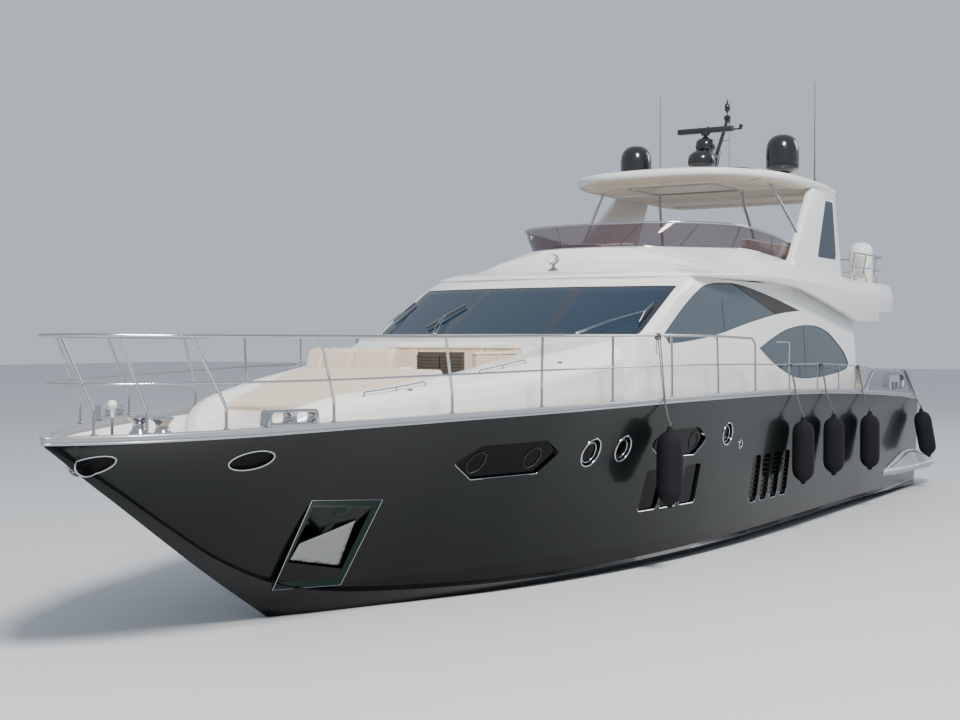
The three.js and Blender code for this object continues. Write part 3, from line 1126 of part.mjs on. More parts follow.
// Rudders on vertical stocks
function rudder() {
  const section = (z, front, aft, t) => [
    [front, 0], [front - 90, t], [aft + 60, t * 0.4], [aft, 0], [aft + 60, -t * 0.4], [front - 90, -t],
  ].map(([dx, dy]) => [RUDDER.x + dx, RUDDER.y + dy, z]);
  const blade = loft([
    section(RUDDER.bladeBottom, 150, -330, 30),
    section(RUDDER.bladeTop - 40, 190, -420, 50),
    section(RUDDER.bladeTop, 180, -400, 50),
  ], [0, 1]);
  const stock = [[RUDDER.stockR, RUDDER.bladeTop - 50], [RUDDER.stockR, RUDDER.stockTop - GAP]];
  return blade.add(turned(stock, RUDDER.x, RUDDER.y, 16));
}
const portRudder = rudder();
piece('rudder_port', portRudder, BRONZE, 0.4, 0.8);
piece('rudder_starboard', mirrored(portRudder), BRONZE, 0.4, 0.8);

export default group;
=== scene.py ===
"""Flybridge motor yacht with a dark hull and white mouldings, afloat; the floor lies at the waterline."""
from math import acos, asin, atan2, copysign, cos, exp, hypot, pi, radians, sin, sqrt, tan

import bmesh
import bpy
import numpy as np
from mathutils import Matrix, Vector


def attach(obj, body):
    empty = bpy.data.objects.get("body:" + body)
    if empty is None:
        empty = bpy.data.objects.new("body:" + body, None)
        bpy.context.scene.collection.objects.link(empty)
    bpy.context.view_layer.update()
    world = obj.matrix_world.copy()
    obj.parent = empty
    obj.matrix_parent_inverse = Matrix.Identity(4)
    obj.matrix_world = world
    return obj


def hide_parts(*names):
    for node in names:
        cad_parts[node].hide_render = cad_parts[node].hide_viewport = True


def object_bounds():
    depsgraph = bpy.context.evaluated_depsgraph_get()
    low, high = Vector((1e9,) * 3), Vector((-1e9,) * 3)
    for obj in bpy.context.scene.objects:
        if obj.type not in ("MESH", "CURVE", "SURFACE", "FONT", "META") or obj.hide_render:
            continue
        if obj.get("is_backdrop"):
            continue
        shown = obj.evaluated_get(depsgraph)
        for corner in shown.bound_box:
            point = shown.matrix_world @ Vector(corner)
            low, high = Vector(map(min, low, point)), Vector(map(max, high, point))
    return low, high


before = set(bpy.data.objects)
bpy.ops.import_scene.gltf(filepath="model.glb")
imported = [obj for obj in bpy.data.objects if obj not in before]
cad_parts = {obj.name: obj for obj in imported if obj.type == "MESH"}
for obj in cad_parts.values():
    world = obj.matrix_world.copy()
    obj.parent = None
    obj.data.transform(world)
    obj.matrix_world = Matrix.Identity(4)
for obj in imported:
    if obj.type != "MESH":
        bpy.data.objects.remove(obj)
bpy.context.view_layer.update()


# Viewpoint
# The camera stands 31 degrees off the port bow, 3.6 m over the waterline, and looks slightly down.
# A 52.5 mm lens over a 36 mm frame fits the picture.
VIEW_BEARING = radians(31.45)
VIEW_DOWN = radians(0.79)
camera_data = bpy.data.cameras.new("viewpoint")
camera_data.lens = 52.5
camera_data.sensor_width = 36
camera_data.clip_end = 400
camera = bpy.data.objects.new("viewpoint", camera_data)
camera.location = (23.83, 12.0, 3.64)
view_direction = Vector((
    -cos(VIEW_BEARING) * cos(VIEW_DOWN),
    -sin(VIEW_BEARING) * cos(VIEW_DOWN),
    -sin(VIEW_DOWN),
))
camera.rotation_euler = view_direction.to_track_quat("-Z", "Y").to_euler()
bpy.context.scene.collection.objects.link(camera)
bpy.context.scene.camera = camera


# Studio
# A pale matt floor at the waterline, a large soft light high over the port bow, a weaker one from
# astern, and a pale surround that the gloss paint can mirror.
class Wire:
    """A shader socket that takes part in ordinary arithmetic."""

    def __init__(self, finish, socket):
        self.finish = finish
        self.socket = socket

    def _math(self, operation, other):
        return self.finish.add("ShaderNodeMath", {"operation": operation}, {0: self, 1: other})

    def __add__(self, other):
        return self._math("ADD", other)

    def __mul__(self, other):
        return self._math("MULTIPLY", other)

    def __gt__(self, other):
        return self._math("GREATER_THAN", other)

    def __lt__(self, other):
        return self._math("LESS_THAN", other)

    def __mod__(self, other):
        return self._math("FLOORED_MODULO", other)


class Finish:
    """A surface finish: one material with a Principled shader, built up node by node, and its slot."""

    def __init__(self, name, slot, colour, roughness, metallic=0.0, **constants):
        self.slot = slot
        self.material = bpy.data.materials.new(name)
        self.material.use_nodes = True
        self.tree = self.material.node_tree
        self.shader = self.tree.nodes["Principled BSDF"]
        self.shader.inputs["Base Color"].default_value = (*colour, 1)
        self.shader.inputs["Roughness"].default_value = roughness
        self.shader.inputs["Metallic"].default_value = metallic
        for socket, value in constants.items():
            self.shader.inputs[socket.replace("_", " ")].default_value = value
        self.material.diffuse_color = (*colour, 1)

    def add(self, kind, settings=None, sockets=None, output=0):
        node = self.tree.nodes.new(kind)
        for key, value in (settings or {}).items():
            setattr(node, key, value)
        for key, value in (sockets or {}).items():
            if isinstance(value, Wire):
                self.tree.links.new(value.socket, node.inputs[key])
            else:
                node.inputs[key].default_value = value
        return Wire(self, node.outputs[output])

    def feed(self, socket, wire):
        self.tree.links.new(wire.socket, self.shader.inputs[socket])

    def place(self, scale=(1, 1, 1), turn=(0, 0, 0)):
        """Object coordinates, stretched and turned."""
        coordinates = self.add("ShaderNodeTexCoord", output="Object")
        return self.add("ShaderNodeMapping", None, {"Vector": coordinates, "Scale": scale, "Rotation": turn})

    def axis(self, letter):
        coordinates = self.add("ShaderNodeTexCoord", output="Object")
        return self.add("ShaderNodeSeparateXYZ", None, {0: coordinates}, letter)

    def noise(self, scale, detail=3.0, vector=None):
        vector = vector or self.place()
        return self.add("ShaderNodeTexNoise", None, {"Vector": vector, "Scale": scale, "Detail": detail})

    def between(self, factor, first, second):
        """Mixes two colours or wires of colours."""
        def colour(value):
            return value if isinstance(value, Wire) else (*value, 1)
        mix = {"data_type": "RGBA"}
        return self.add("ShaderNodeMix", mix, {0: factor, 6: colour(first), 7: colour(second)}, 2)

    def spread(self, wire, low, high):
        """Maps a 0 to 1 wire onto a range."""
        return self.add("ShaderNodeMapRange", None, {"Value": wire, "To Min": low, "To Max": high})

    def bump(self, height, distance, strength=1.0):
        values = {"Height": height, "Distance": distance, "Strength": strength}
        self.feed("Normal", self.add("ShaderNodeBump", None, values))

    def rough(self, cloud, low, high):
        """Roughness between two values, clouded by a wire or by noise of a scale."""
        cloud = cloud if isinstance(cloud, Wire) else self.noise(cloud)
        self.feed("Roughness", self.spread(cloud, low, high))

    def relief(self, scale, distance, strength, detail=3.0):
        """Fine bumps from noise of a scale."""
        self.bump(self.noise(scale, detail), distance, strength)


floor_finish = Finish("studio_floor", None, (0.6, 0.62, 0.64), 0.55)
floor_finish.rough(1.5, 0.5, 0.62)
FLOOR_HALF = 160.0
floor_mesh = bpy.data.meshes.new("floor")
floor_corners = [(x * FLOOR_HALF, y * FLOOR_HALF, 0) for x, y in ((-1, -1), (1, -1), (1, 1), (-1, 1))]
floor_mesh.from_pydata(floor_corners, [], [(0, 1, 2, 3)])
floor_mesh.materials.append(floor_finish.material)
floor = bpy.data.objects.new("floor", floor_mesh)
bpy.context.scene.collection.objects.link(floor)
floor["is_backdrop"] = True

world = bpy.data.worlds.new("surround")
world.use_nodes = True
world.node_tree.nodes["Background"].inputs["Color"].default_value = (0.72, 0.8, 0.9, 1)
world.node_tree.nodes["Background"].inputs["Strength"].default_value = 0.75
bpy.context.scene.world = world


def lamp(name, place, target, size, power, colour=(1, 1, 1)):
    data = bpy.data.lights.new(name, "AREA")
    data.shape = "DISK"
    data.size = size
    data.energy = power
    data.color = colour
    light = bpy.data.objects.new(name, data)
    light.location = place
    light.rotation_euler = (Vector(target) - Vector(place)).to_track_quat("-Z", "Y").to_euler()
    bpy.context.scene.collection.objects.link(light)


lamp("key_light", (22, 20, 32), (0, 0, 3), 9, 26000, (1, 0.96, 0.9))
lamp("stern_light", (-34, 22, 22), (-2, 0, 3), 16, 4000)


# Hull
# A laminated hull in dark metallic gloss with a clear coat, black below 0.42 m, a pale stripe aft that is
# partly a pin stripe and partly a painted highlight of the lit spray-rail ledge, and black bottom paint.
# The bulwark is one moulding with it; the recesses are moulded in.
CAP_HEIGHT = 0.1
BULWARK = 0.14
DECK_Z = 2.15
DECK_BOW_Z = 2.36
DECK_LEVEL_X = 4.32
DECK_RISE_END_X = 13.0
WELL_FRONT_X = 12.8
WELL_AFT_X = -11.36
TRANSOM_FOOT_X = -12.3
TRANSOM_HEAD_X = -11.55
# Columns: x, keel z, chine y, chine z, sheer y, sheer z, hollow of the flare
HULL = np.array([
    (13.3, 2.47, 0.008, 2.485, 0.025, 2.59, 0.0),
    (13.18, 2.39, 0.03, 2.42, 0.2, 2.592, 0.008),
    (12.98, 2.25, 0.058, 2.3, 0.42, 2.596, 0.02),
    (12.7, 2.05, 0.085, 2.12, 0.69, 2.602, 0.035),
    (12.3, 1.78, 0.12, 1.87, 0.96, 2.61, 0.05),
    (11.5, 1.23, 0.18, 1.35, 1.34, 2.625, 0.07),
    (10.8, 0.76, 0.25, 0.92, 1.62, 2.645, 0.08),
    (9.9, 0.19, 0.38, 0.52, 1.93, 2.67, 0.08),
    (9.3, -0.17, 0.56, 0.36, 2.09, 2.68, 0.075),
    (8.6, -0.52, 0.8, 0.26, 2.28, 2.695, 0.065),
    (7.5, -0.85, 1.29, 0.19, 2.58, 2.715, 0.05),
    (6.3, -1.02, 1.78, 0.15, 2.85, 2.735, 0.03),
    (4.8, -1.11, 2.25, 0.14, 3.03, 2.75, 0.01),
    (3.3, -1.15, 2.59, 0.15, 3.16, 2.76, 0.0),
    (1.3, -1.17, 2.88, 0.18, 3.23, 2.755, -0.01),
    (-0.7, -1.18, 3.02, 0.2, 3.25, 2.74, -0.02),
    (-3.7, -1.16, 3.09, 0.22, 3.26, 2.68, -0.025),
    (-6.7, -1.11, 3.09, 0.21, 3.26, 2.57, -0.025),
    (-9.7, -1.04, 3.02, 0.12, 3.2, 2.42, -0.025),
    (-12.3, -0.96, 2.89, 0.02, 3.11, 2.29, -0.02),
])[::-1]


def fair(table, x, column):
    """Fair curve through one column of a table whose first column rises: monotone between its rows."""
    xs, ys = table[:, 0], table[:, column]
    x = min(max(x, xs[0]), xs[-1])
    steps = np.diff(xs)
    slopes = np.diff(ys) / steps
    i = min(int(np.searchsorted(xs, x, side="right")) - 1, len(xs) - 2)

    def tangent(k):
        if k == 0:
            return slopes[0]
        if k == len(xs) - 1:
            return slopes[-1]
        a, b = slopes[k - 1], slopes[k]
        if a * b <= 0:
            return 0.0
        wide, near = 2 * steps[k] + steps[k - 1], steps[k] + 2 * steps[k - 1]
        return (wide + near) / (wide / a + near / b)

    h = steps[i]
    t = (x - xs[i]) / h
    return float(
        ys[i] * (1 + 2 * t) * (1 - t) ** 2 + h * tangent(i) * t * (1 - t) ** 2
        + ys[i + 1] * t * t * (3 - 2 * t) + h * tangent(i + 1) * t * t * (t - 1)
    )


def sheer_y(x):
    return fair(HULL, x, 4)


def sheer_z(x):
    return fair(HULL, x, 5)


def deck_z(x):
    return DECK_Z + (DECK_BOW_Z - DECK_Z) * max(0.0, (x - DECK_LEVEL_X) / (DECK_RISE_END_X - DECK_LEVEL_X))


def half_section(x, inset=0.0, sides=22, bottom=6):
    """Points (y, z) from keel to sheer of the hull's section at x."""
    keel_z, chine_y, chine_z, top_y, top_z, hollow = (fair(HULL, x, c) for c in range(1, 7))
    top_z -= CAP_HEIGHT
    ledge = min(0.045, chine_y * 0.12)
    points = []
    for k in range(bottom):
        t = k / bottom
        points.append((chine_y * t, keel_z + (chine_z - keel_z) * (0.84 * t + 0.16 * t * t)))
    points.append((chine_y, chine_z))
    for k in range(sides + 1):
        f = k / sides
        y = chine_y - ledge + f * (top_y - chine_y + ledge) - hollow * 4 * f * (1 - f)
        points.append((y, chine_z + 0.045 + f * (top_z - chine_z - 0.045)))
    return [(max(y - inset, y * 0.2), z) for y, z in points]


def hull_y(x, z):
    """Half breadth of the topsides at a height."""
    side = half_section(x)[7:]
    return float(np.interp(z, [p[1] for p in side], [p[0] for p in side]))


def transom_x(z):
    t = min(max(z / HULL[0, 5], 0.0), 1.0)
    return TRANSOM_FOOT_X + (TRANSOM_HEAD_X - TRANSOM_FOOT_X) * t


def mesh_of(name, part):
    """A clean mesh with its faces turned outwards, from a vertex and face list."""
    verts, faces = joined([part] if isinstance(part, tuple) else part)
    mesh = bpy.data.meshes.new(name)
    mesh.from_pydata(verts, [], faces)
    work = bmesh.new()
    work.from_mesh(mesh)
    bmesh.ops.remove_doubles(work, verts=work.verts, dist=1e-6)
    bmesh.ops.dissolve_degenerate(work, edges=work.edges, dist=1e-7)
    bmesh.ops.recalc_face_normals(work, faces=work.faces)
    work.to_mesh(mesh)
    work.free()
    return mesh


def new_piece(name, part, finishes, body="yacht", replaces=(), sharp=38.0, ease=0.0):
    """A mesh that rides on a body, shaded smooth up to an angle, its edges eased when asked."""
    mesh = mesh_of(name, part)
    finishes = finishes if isinstance(finishes, list) else [finishes]
    for finish in finishes:
        mesh.materials.append(finish.material)
    piece = bpy.data.objects.new(name, mesh)
    bpy.context.scene.collection.objects.link(piece)
    if ease:
        eased(piece, ease)
    smoothed(piece, sharp)
    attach(piece, body)
    if replaces:
        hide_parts(*([replaces] if isinstance(replaces, str) else replaces))
    return piece


def smoothed(piece, sharp):
    piece.data.shade_smooth()
    piece.data.set_sharp_from_angle(angle=radians(sharp))


def settle(piece):
    """Turns a piece's modifiers into its mesh."""
    bpy.context.view_layer.update()
    result = bpy.data.meshes.new_from_object(piece.evaluated_get(bpy.context.evaluated_depsgraph_get()))
    piece.modifiers.clear()
    old = piece.data
    piece.data = result
    bpy.data.meshes.remove(old)


def eased(piece, width, segments=2, angle=35):
    change = piece.modifiers.new("ease", "BEVEL")
    change.width = width
    change.segments = segments
    change.limit_method = "ANGLE"
    change.angle_limit = radians(angle)
    change.use_clamp_overlap = True
    settle(piece)


def skin(rings, caps=True):
    """Vertices and faces through rings of equal point count."""
    n = len(rings[0])
    verts = [p for ring in rings for p in ring]
    faces = []
    for r in range(len(rings) - 1):
        for k in range(n):
            a, b = r * n + k, r * n + (k + 1) % n
            faces.append((a, b, b + n, a + n))
    if caps:
        faces.append(tuple(range(n))[::-1])
        faces.append(tuple(range((len(rings) - 1) * n, len(rings) * n)))
    return verts, faces


def joined(parts):
    """One vertex and face list from several."""
    verts, faces = [], []
    for part_verts, part_faces in parts:
        base = len(verts)
        verts += [tuple(v) for v in part_verts]
        faces += [tuple(i + base for i in f) for f in part_faces]
    return verts, faces


def mirror(part):
    verts, faces = part
    return [(v[0], -v[1], v[2]) for v in verts], [tuple(reversed(f)) for f in faces]


def sided(part, side):
    """The port part, or its mirror image for side -1."""
    return part if side > 0 else mirror(part)


def both(parts):
    """Parts of the port side and their mirror images."""
    port = joined([parts] if isinstance(parts, tuple) else parts)
    return joined([port, mirror(port)])


def flipped(points):
    """The starboard half of an outline, in reverse order, from its port half."""
    return [(p[0], -p[1], *p[2:]) for p in reversed(points)]


def tool(part):
    item = bpy.data.objects.new("tool", mesh_of("tool", part))
    bpy.context.scene.collection.objects.link(item)
    return item


def combine(piece, tools, operation="DIFFERENCE"):
    """Joins, cuts or crosses a piece with tools, which are objects or parts, and removes the tools."""
    tools = [tool(item) if isinstance(item, tuple) else item for item in tools]
    for item in tools:
        change = piece.modifiers.new("cut", "BOOLEAN")
        change.operation = operation
        change.solver = "MANIFOLD"
        change.object = item
    settle(piece)
    for item in tools:
        bpy.data.objects.remove(item)
    return piece


def prism_y(outline, y0, y1):
    return skin([[(x, y, z) for x, z in outline] for y in (y0, y1)])


def prism_x(outline, x0, x1):
    return skin([[(x, y, z) for y, z in outline] for x in (x0, x1)])


def prism_z(outline, z0, z1):
    return skin([[(x, y, z) for x, y in outline] for z in (z0, z1)])


def oblong(u0, u1, v0, v1):
    return [(u0, v0), (u1, v0), (u1, v1), (u0, v1)]


def box(x0, x1, y0, y1, z0, z1):
    return prism_z(oblong(x0, x1, y0, y1), z0, z1)


def turns(count):
    """Angles of one full turn in equal steps."""
    return np.linspace(0, 2 * pi, count + 1)[:-1]


def oval(cx, cy, rx, ry, sides=40):
    angles = [2 * pi * k / sides for k in range(sides)]
    return [(cx + rx * cos(a), cy + ry * sin(a)) for a in angles]


def rounded(points, radii, steps=5, closed=True):
    """Line or outline with round corners, in two or three dimensions; its point count is fixed."""
    out = []
    n = len(points)
    for i, corner in enumerate(points):
        corner = np.array(corner, float)
        radius = radii[i] if isinstance(radii, (list, tuple)) else radii
        if not closed and i in (0, n - 1):
            out.append(tuple(corner))
            continue
        a = np.array(points[i - 1], float) - corner
        b = np.array(points[(i + 1) % n], float) - corner
        la, lb = np.linalg.norm(a), np.linalg.norm(b)
        a, b = a / max(la, 1e-9), b / max(lb, 1e-9)
        angle = acos(max(-1, min(1, float(a @ b))))
        reach = min(radius / tan(angle / 2) if angle > 0.01 else 0, la * 0.49, lb * 0.49)
        start, end = corner + a * reach, corner + b * reach
        for k in range(steps + 1):
            t = k / steps
            out.append(tuple((1 - t) ** 2 * start + 2 * t * (1 - t) * corner + t * t * end))
    return out


def blend(u, v, start, end, t):
    return u * ((end - t) / (end - start)) + v * ((t - start) / (end - start))


def spline(points, per=8):
    """Points of a smooth curve through the given points."""
    p = [np.array(q, float) for q in points]
    n = len(p)
    out = []
    for i in range(n - 1):
        b, c = p[i], p[i + 1]
        a = p[i - 1] if i else b * 2 - c
        d = p[i + 2] if i + 2 < n else c * 2 - b
        knots = [0.0]
        for u, v in ((a, b), (b, c), (c, d)):
            knots.append(knots[-1] + max(sqrt(float(np.linalg.norm(v - u))), 1e-4))
        k0, k1, k2, k3 = knots
        for s in range(per):
            t = k1 + (k2 - k1) * s / per
            a1, a2, a3 = blend(a, b, k0, k1, t), blend(b, c, k1, k2, t), blend(c, d, k2, k3, t)
            b1, b2 = blend(a1, a2, k0, k2, t), blend(a2, a3, k1, k3, t)
            out.append(tuple(blend(b1, b2, k1, k2, t)))
    return out + [tuple(p[-1])]


def tube(path, radius, sides=10, closed=False, flat=1.0):
    """Round bar along a path; radius is one number or one for each point."""
    p = [np.array(q, float) for q in path]
    n = len(p)
    radii = radius if isinstance(radius, (list, tuple)) else [radius] * n
    rings = []
    normal = None
    for i in range(n):
        before = p[i - 1] if i or closed else p[i]
        after = p[(i + 1) % n] if i + 1 < n or closed else p[i]
        t = after - before
        t /= max(np.linalg.norm(t), 1e-9)
        if normal is None:
            helper = np.array((0, 0, 1.0)) if abs(t[2]) < 0.9 else np.array((1.0, 0, 0))
            normal = np.cross(t, helper)
        normal = normal - t * float(normal @ t)
        normal /= np.linalg.norm(normal)
        other = np.cross(t, normal)
        rings.append([
            tuple(p[i] + radii[i] * (normal * cos(a) + other * sin(a) * flat))
            for a in (2 * pi * k / sides for k in range(sides))
        ])
    if closed:
        return skin(rings + [rings[0]], caps=False)
    return skin(rings)


def on_side(outline, side=1, lift=0.0):
    """An outline in side view laid on the topsides."""
    return [(x, side * (hull_y(x, z) + lift), z) for x, z in outline]


def hull_rings(inset=0.0):
    rings = []
    for x in [*np.arange(13.3, 9.0, -0.07), *np.arange(9.0, -9.7, -0.15)]:
        half = half_section(x, inset)
        rings.append([(x, y, z) for y, z in half] + [(x, -y, z) for y, z in reversed(half[1:])])
    for t in np.linspace(0, 1, 18):
        x = -9.7 + t * (TRANSOM_FOOT_X + 9.7)
        half = [(-9.7 + t * (transom_x(z) + 9.7), y, z) for y, z in half_section(x, inset)]
        rings.append(half + flipped(half[1:]))
    return rings


def deck_band(clear, lower, upper, front, aft, levels=6):
    """Body between two deck levels inside the bulwark, whose walls follow the flare of the bow."""
    rings = []
    for x in np.linspace(front, aft, 110):
        low, high = deck_z(x) + lower, deck_z(x) + upper
        wall = [low + (high - low) * k / (levels - 1) for k in range(levels)]
        if high - low > 1:
            wall = [low + (sheer_z(x) - low) * k / (levels - 2) for k in range(levels - 1)] + [high]
        half = [(x, max(hull_y(x, z) - BULWARK - clear, 0.01), z) for z in wall]
        rings.append(half + flipped(half))
    return skin(rings)


# Outlines in side view, x and z
HEX_WINDOW = [(8.13, 2.0), (7.81, 2.23), (6.62, 2.24), (6.24, 2.05), (6.55, 1.76), (7.7, 1.75)]
MID_WINDOW = [(3.99, 2.03), (3.56, 2.23), (2.42, 2.23), (2.02, 2.02), (2.42, 1.77), (3.52, 1.79)]
PORTS = [(5.5, 2.0, 0.205), (4.69, 2.01, 0.19), (1.24, 2.05, 0.19)]
WIDE_VENTS = [(3.3, 3.82), (2.7, 3.22), (2.1, 2.62)]
NARROW_VENTS = [(-0.42, -0.06), (-0.91, -0.55), (-1.4, -1.04), (-1.89, -1.53)]
ANCHOR_PLATE = [(10.0, 1.64), (8.95, 1.57), (8.89, 0.38), (9.89, 0.43)]
ANCHOR_POCKET = [(9.88, 1.56), (9.02, 1.49), (8.95, 0.61), (9.79, 0.79)]
HAWSES = [(11.19, 2.23, 0.25, 0.12), (12.76, 2.24, 0.17, 0.12)]
RECESS = 0.045
wide_vents = [rounded(oblong(a, b, 0.95, 1.61), 0.06) for a, b in WIDE_VENTS]
narrow_vents = [rounded(oblong(a, b, 0.73, 1.58), 0.1) for a, b in NARROW_VENTS]
window_outlines = [rounded(HEX_WINDOW, 0.05), rounded(MID_WINDOW, 0.12)]
port_outlines = [oval(x, z, r, r) for x, z, r in PORTS]
hawse_outlines = [oval(x, z, a, b) for x, z, a, b in HAWSES]
recess_outlines = window_outlines + port_outlines + wide_vents + narrow_vents + hawse_outlines


def opening_tools(outlines, depth):
    """Cutters for recesses of one depth on both sides."""
    cutters = []
    for side in (1, -1):
        prisms = tool(joined([prism_y(o, side * 0.02, side * 4.2) for o in outlines]))
        cutters.append(combine(prisms, [skin(hull_rings(depth))]))
    return cutters


hull_paint = Finish("hull_gloss_grey", "hull_gelcoat", (0.006, 0.007, 0.007), 0.25, 0.05,
    Coat_Roughness=0.03, Coat_IOR=1.4, Specular_IOR_Level=0.12, Coat_Weight=0.22)
height = hull_paint.axis("Z")
cloud = hull_paint.noise(0.7, 4.0)
grey = hull_paint.between(cloud, (0.0035, 0.0048, 0.0048), (0.0065, 0.0082, 0.0082))
grey = hull_paint.between(hull_paint.noise(900.0, 1.0) * 0.2, grey, (0.012, 0.015, 0.015))
grey = hull_paint.between(height < 0.42, grey, (0.003, 0.003, 0.004))
# Aft of x 2 m a pale stripe from 0.135 to 0.185 m: partly a pin stripe, partly a painted highlight standing
# in for the lit spray-rail ledge.
stripe_and_ledge_highlight = hull_paint.between(hull_paint.axis("X") < 2.0, (0.006, 0.007, 0.007), (0.16, 0.17, 0.18))
grey = hull_paint.between(height < 0.185, grey, stripe_and_ledge_highlight)
grey = hull_paint.between(height < 0.135, grey, (0.004, 0.004, 0.005))
hull_paint.feed("Base Color", grey)
hull_paint.rough(cloud, 0.18, 0.28)
hull_paint.relief(6.0, 0.002, 0.15, 2.0)

# Dark glass of the hull windows and ports; the same black on the floors of the vent and hawse recesses is
# painted shade of the dark openings.
black_glass_and_opening_shade = Finish("hull_window_glass_and_opening_shade", "hull_gelcoat", (0.002, 0.0025, 0.003), 0.05, 0.0,
    Specular_IOR_Level=0.08)
black_glass_and_opening_shade.relief(3.0, 0.001, 0.1)
inner_white = Finish("bulwark_inner_gelcoat", "hull_gelcoat", (0.8, 0.8, 0.78), 0.35)
inner_white.relief(40.0, 0.0005, 0.3)

STEP_INNER, STEP_OUTER, STEP_COUNT, STEP_RUN, STEP_FIRST_X = 1.9, 2.8, 4, 0.3, -11.05
PLATFORM_Z = 0.62
DECK_T = 0.05
SHAFT_Y = 1.35
step_rise = (DECK_Z - DECK_T - PLATFORM_Z) / STEP_COUNT
hull = new_piece("hull_moulding", skin(hull_rings()), [hull_paint, black_glass_and_opening_shade, inner_white],
                 replaces=("hull", "bulwark"))
hull_tools = [deck_band(0, -DECK_T, 1.2, WELL_FRONT_X, WELL_AFT_X), box(-12.9, -9.7, -1.6, 1.6, 0.86, 1.9)]
for k in range(STEP_COUNT):
    top = DECK_Z - DECK_T - step_rise * (k + 1)
    flight = box(-13, STEP_FIRST_X - STEP_RUN * k, STEP_INNER, STEP_OUTER, top, 3.2)
    hull_tools += [flight, mirror(flight)]
hull_tools += opening_tools(recess_outlines, RECESS) + opening_tools([ANCHOR_PLATE], 0.008)
hull_tools += opening_tools([ANCHOR_POCKET], 0.24)
hull_tools.append(prism_y(oval(7.7, -0.33, 0.15, 0.15), -3, 3))
combine(hull, hull_tools)
skeg_side = [(2.6, -1.0), (-8.2, -1.0), (-8.2, -1.4), (-1.5, -1.4)]
combine(hull, [prism_y(rounded(skeg_side, 0.02, 3), -0.07, 0.07)], "UNION")


def inside(outline, x, z):
    """True if a point of the side view lies in an outline."""
    hit = False
    for (ax, az), (bx, bz) in zip(outline, outline[1:] + outline[:1]):
        if (az > z) != (bz > z) and x < (bx - ax) * (z - az) / (bz - az) + ax:
            hit = not hit
    return hit


# Recess floors take the black: glass in the windows and ports, painted shade in the vents and hawse holes.
for face in hull.data.polygons:
    x, y, z = face.center
    face.material_index = 0
    in_well = WELL_AFT_X - 0.001 < x < WELL_FRONT_X + 0.001 and z > deck_z(x) - DECK_T - 0.002
    if in_well and abs(y) < hull_y(x, z) - BULWARK + 0.012:
        face.material_index = 2
    elif 0.7 < z < 2.4 and abs(y) < hull_y(x, z) - RECESS * 0.9 and any(inside(o, x, z)
            for o in recess_outlines):
        face.material_index = 1
smoothed(hull, 25)


# Hull fittings
# Polished rims round ports and hawse holes, thin bright lips on the lower edges of windows and vents,
# louvres in the narrow vents, grilles in the hawse holes; screwed on from outside.
steel = Finish("polished_stainless", "polished_steel", (0.5, 0.51, 0.53), 0.12, 1.0)
steel.rough(25.0, 0.08, 0.18)
steel.relief(60.0, 0.0004, 0.2, 2.0)
rim_parts, lip_parts, louvre_parts, grille_parts, lens_parts = [], [], [], [], []
for side in (1, -1):
    for x, z, r in PORTS:
        rim_parts.append(tube(on_side(oval(x, z, r, r, 48), side, 0.003), 0.013, closed=True))
        rim_parts.append(tube(on_side(oval(x, z, r * 0.72, r * 0.72, 40), side, -0.03), 0.009, closed=True))
    for x, z, a, b in HAWSES:
        rim_parts.append(tube(on_side(oval(x, z, a, b, 48), side, 0.003), 0.012, closed=True))
        for k in range(-7, 8):
            u = k / 8
            half = b * sqrt(1 - u * u)
            rod = [(x + a * u, z - half), (x + a * u, z), (x + a * u, z + half)]
            grille_parts.append(tube(on_side(rod, side, -0.02), 0.004, 6))
        for k in range(-3, 4):
            u = k / 4
            half = a * sqrt(1 - u * u)
            rod = [(x + half * s, z + b * u) for s in (-1, -0.5, 0, 0.5, 1)]
            grille_parts.append(tube(on_side(rod, side, -0.02), 0.004, 6))
    for outline in window_outlines + wide_vents + narrow_vents:
        low = min(z for _, z in outline)
        high = max(z for _, z in outline)
        for k in range(len(outline)):
            pair = [outline[k - 1], outline[k]]
            share = 0.5 if outline in window_outlines else 0.12
            if max(z for _, z in pair) < low + (high - low) * share:
                lip_parts.append(tube(on_side(pair, side, -0.004), 0.007, 6))
    for outline in narrow_vents:
        xs = [x for x, _ in outline]
        low, high = min(z for _, z in outline), max(z for _, z in outline)
        for k in range(1, 10):
            z = low + (high - low) * k / 10
            blade = [(min(xs) + 0.01, z), (max(xs) - 0.01, z)]
            louvre_parts.append(tube(on_side(blade, side, -0.036), 0.01, 4))
    lens_parts.append(tube(on_side(oval(0.62, 1.83, 0.07, 0.07, 28), side, 0.004), 0.01, closed=True))
new_piece("hull_rims", rim_parts, steel)
new_piece("hull_lips", lip_parts + lens_parts, steel)
louvre_black = Finish("louvre_black", "black_plastic", (0.004, 0.004, 0.005), 0.5, 0.0,
    Specular_IOR_Level=0.2)
louvre_black.rough(30.0, 0.35, 0.55)
new_piece("vent_louvres", louvre_parts, louvre_black)
new_piece("hawse_grilles", grille_parts, louvre_black)

# Round dark portlight frames behind the glass of the two long windows
shade_parts = []
for side in (1, -1):
    for x, z in ((7.72, 1.99), (6.72, 2.0), (3.6, 2.01), (2.45, 2.0)):
        shade_parts.append(tube(on_side(oval(x, z, 0.15, 0.15, 8), side, -0.037), 0.008, 6, closed=True))
frame_grey = Finish("portlight_frame", "black_plastic", (0.02, 0.022, 0.025), 0.3)
frame_grey.relief(50.0, 0.0005, 0.2)
new_piece("portlight_frames", shade_parts, frame_grey)


# Anchors
# Mirror-polished pocket plates let into the bow, each with a flat anchor stowed in its box; the steel's
# near-black green colour is a painted reflection.
def shrunk(outline, d, centre=None):
    """An outline whose points lie nearer to its centre by a distance."""
    centre = np.mean(np.array(outline), axis=0) if centre is None else centre
    out = []
    for p in outline:
        v = np.array(p) - centre
        out.append(tuple(centre + v * (1 - d / np.linalg.norm(v))))
    return out


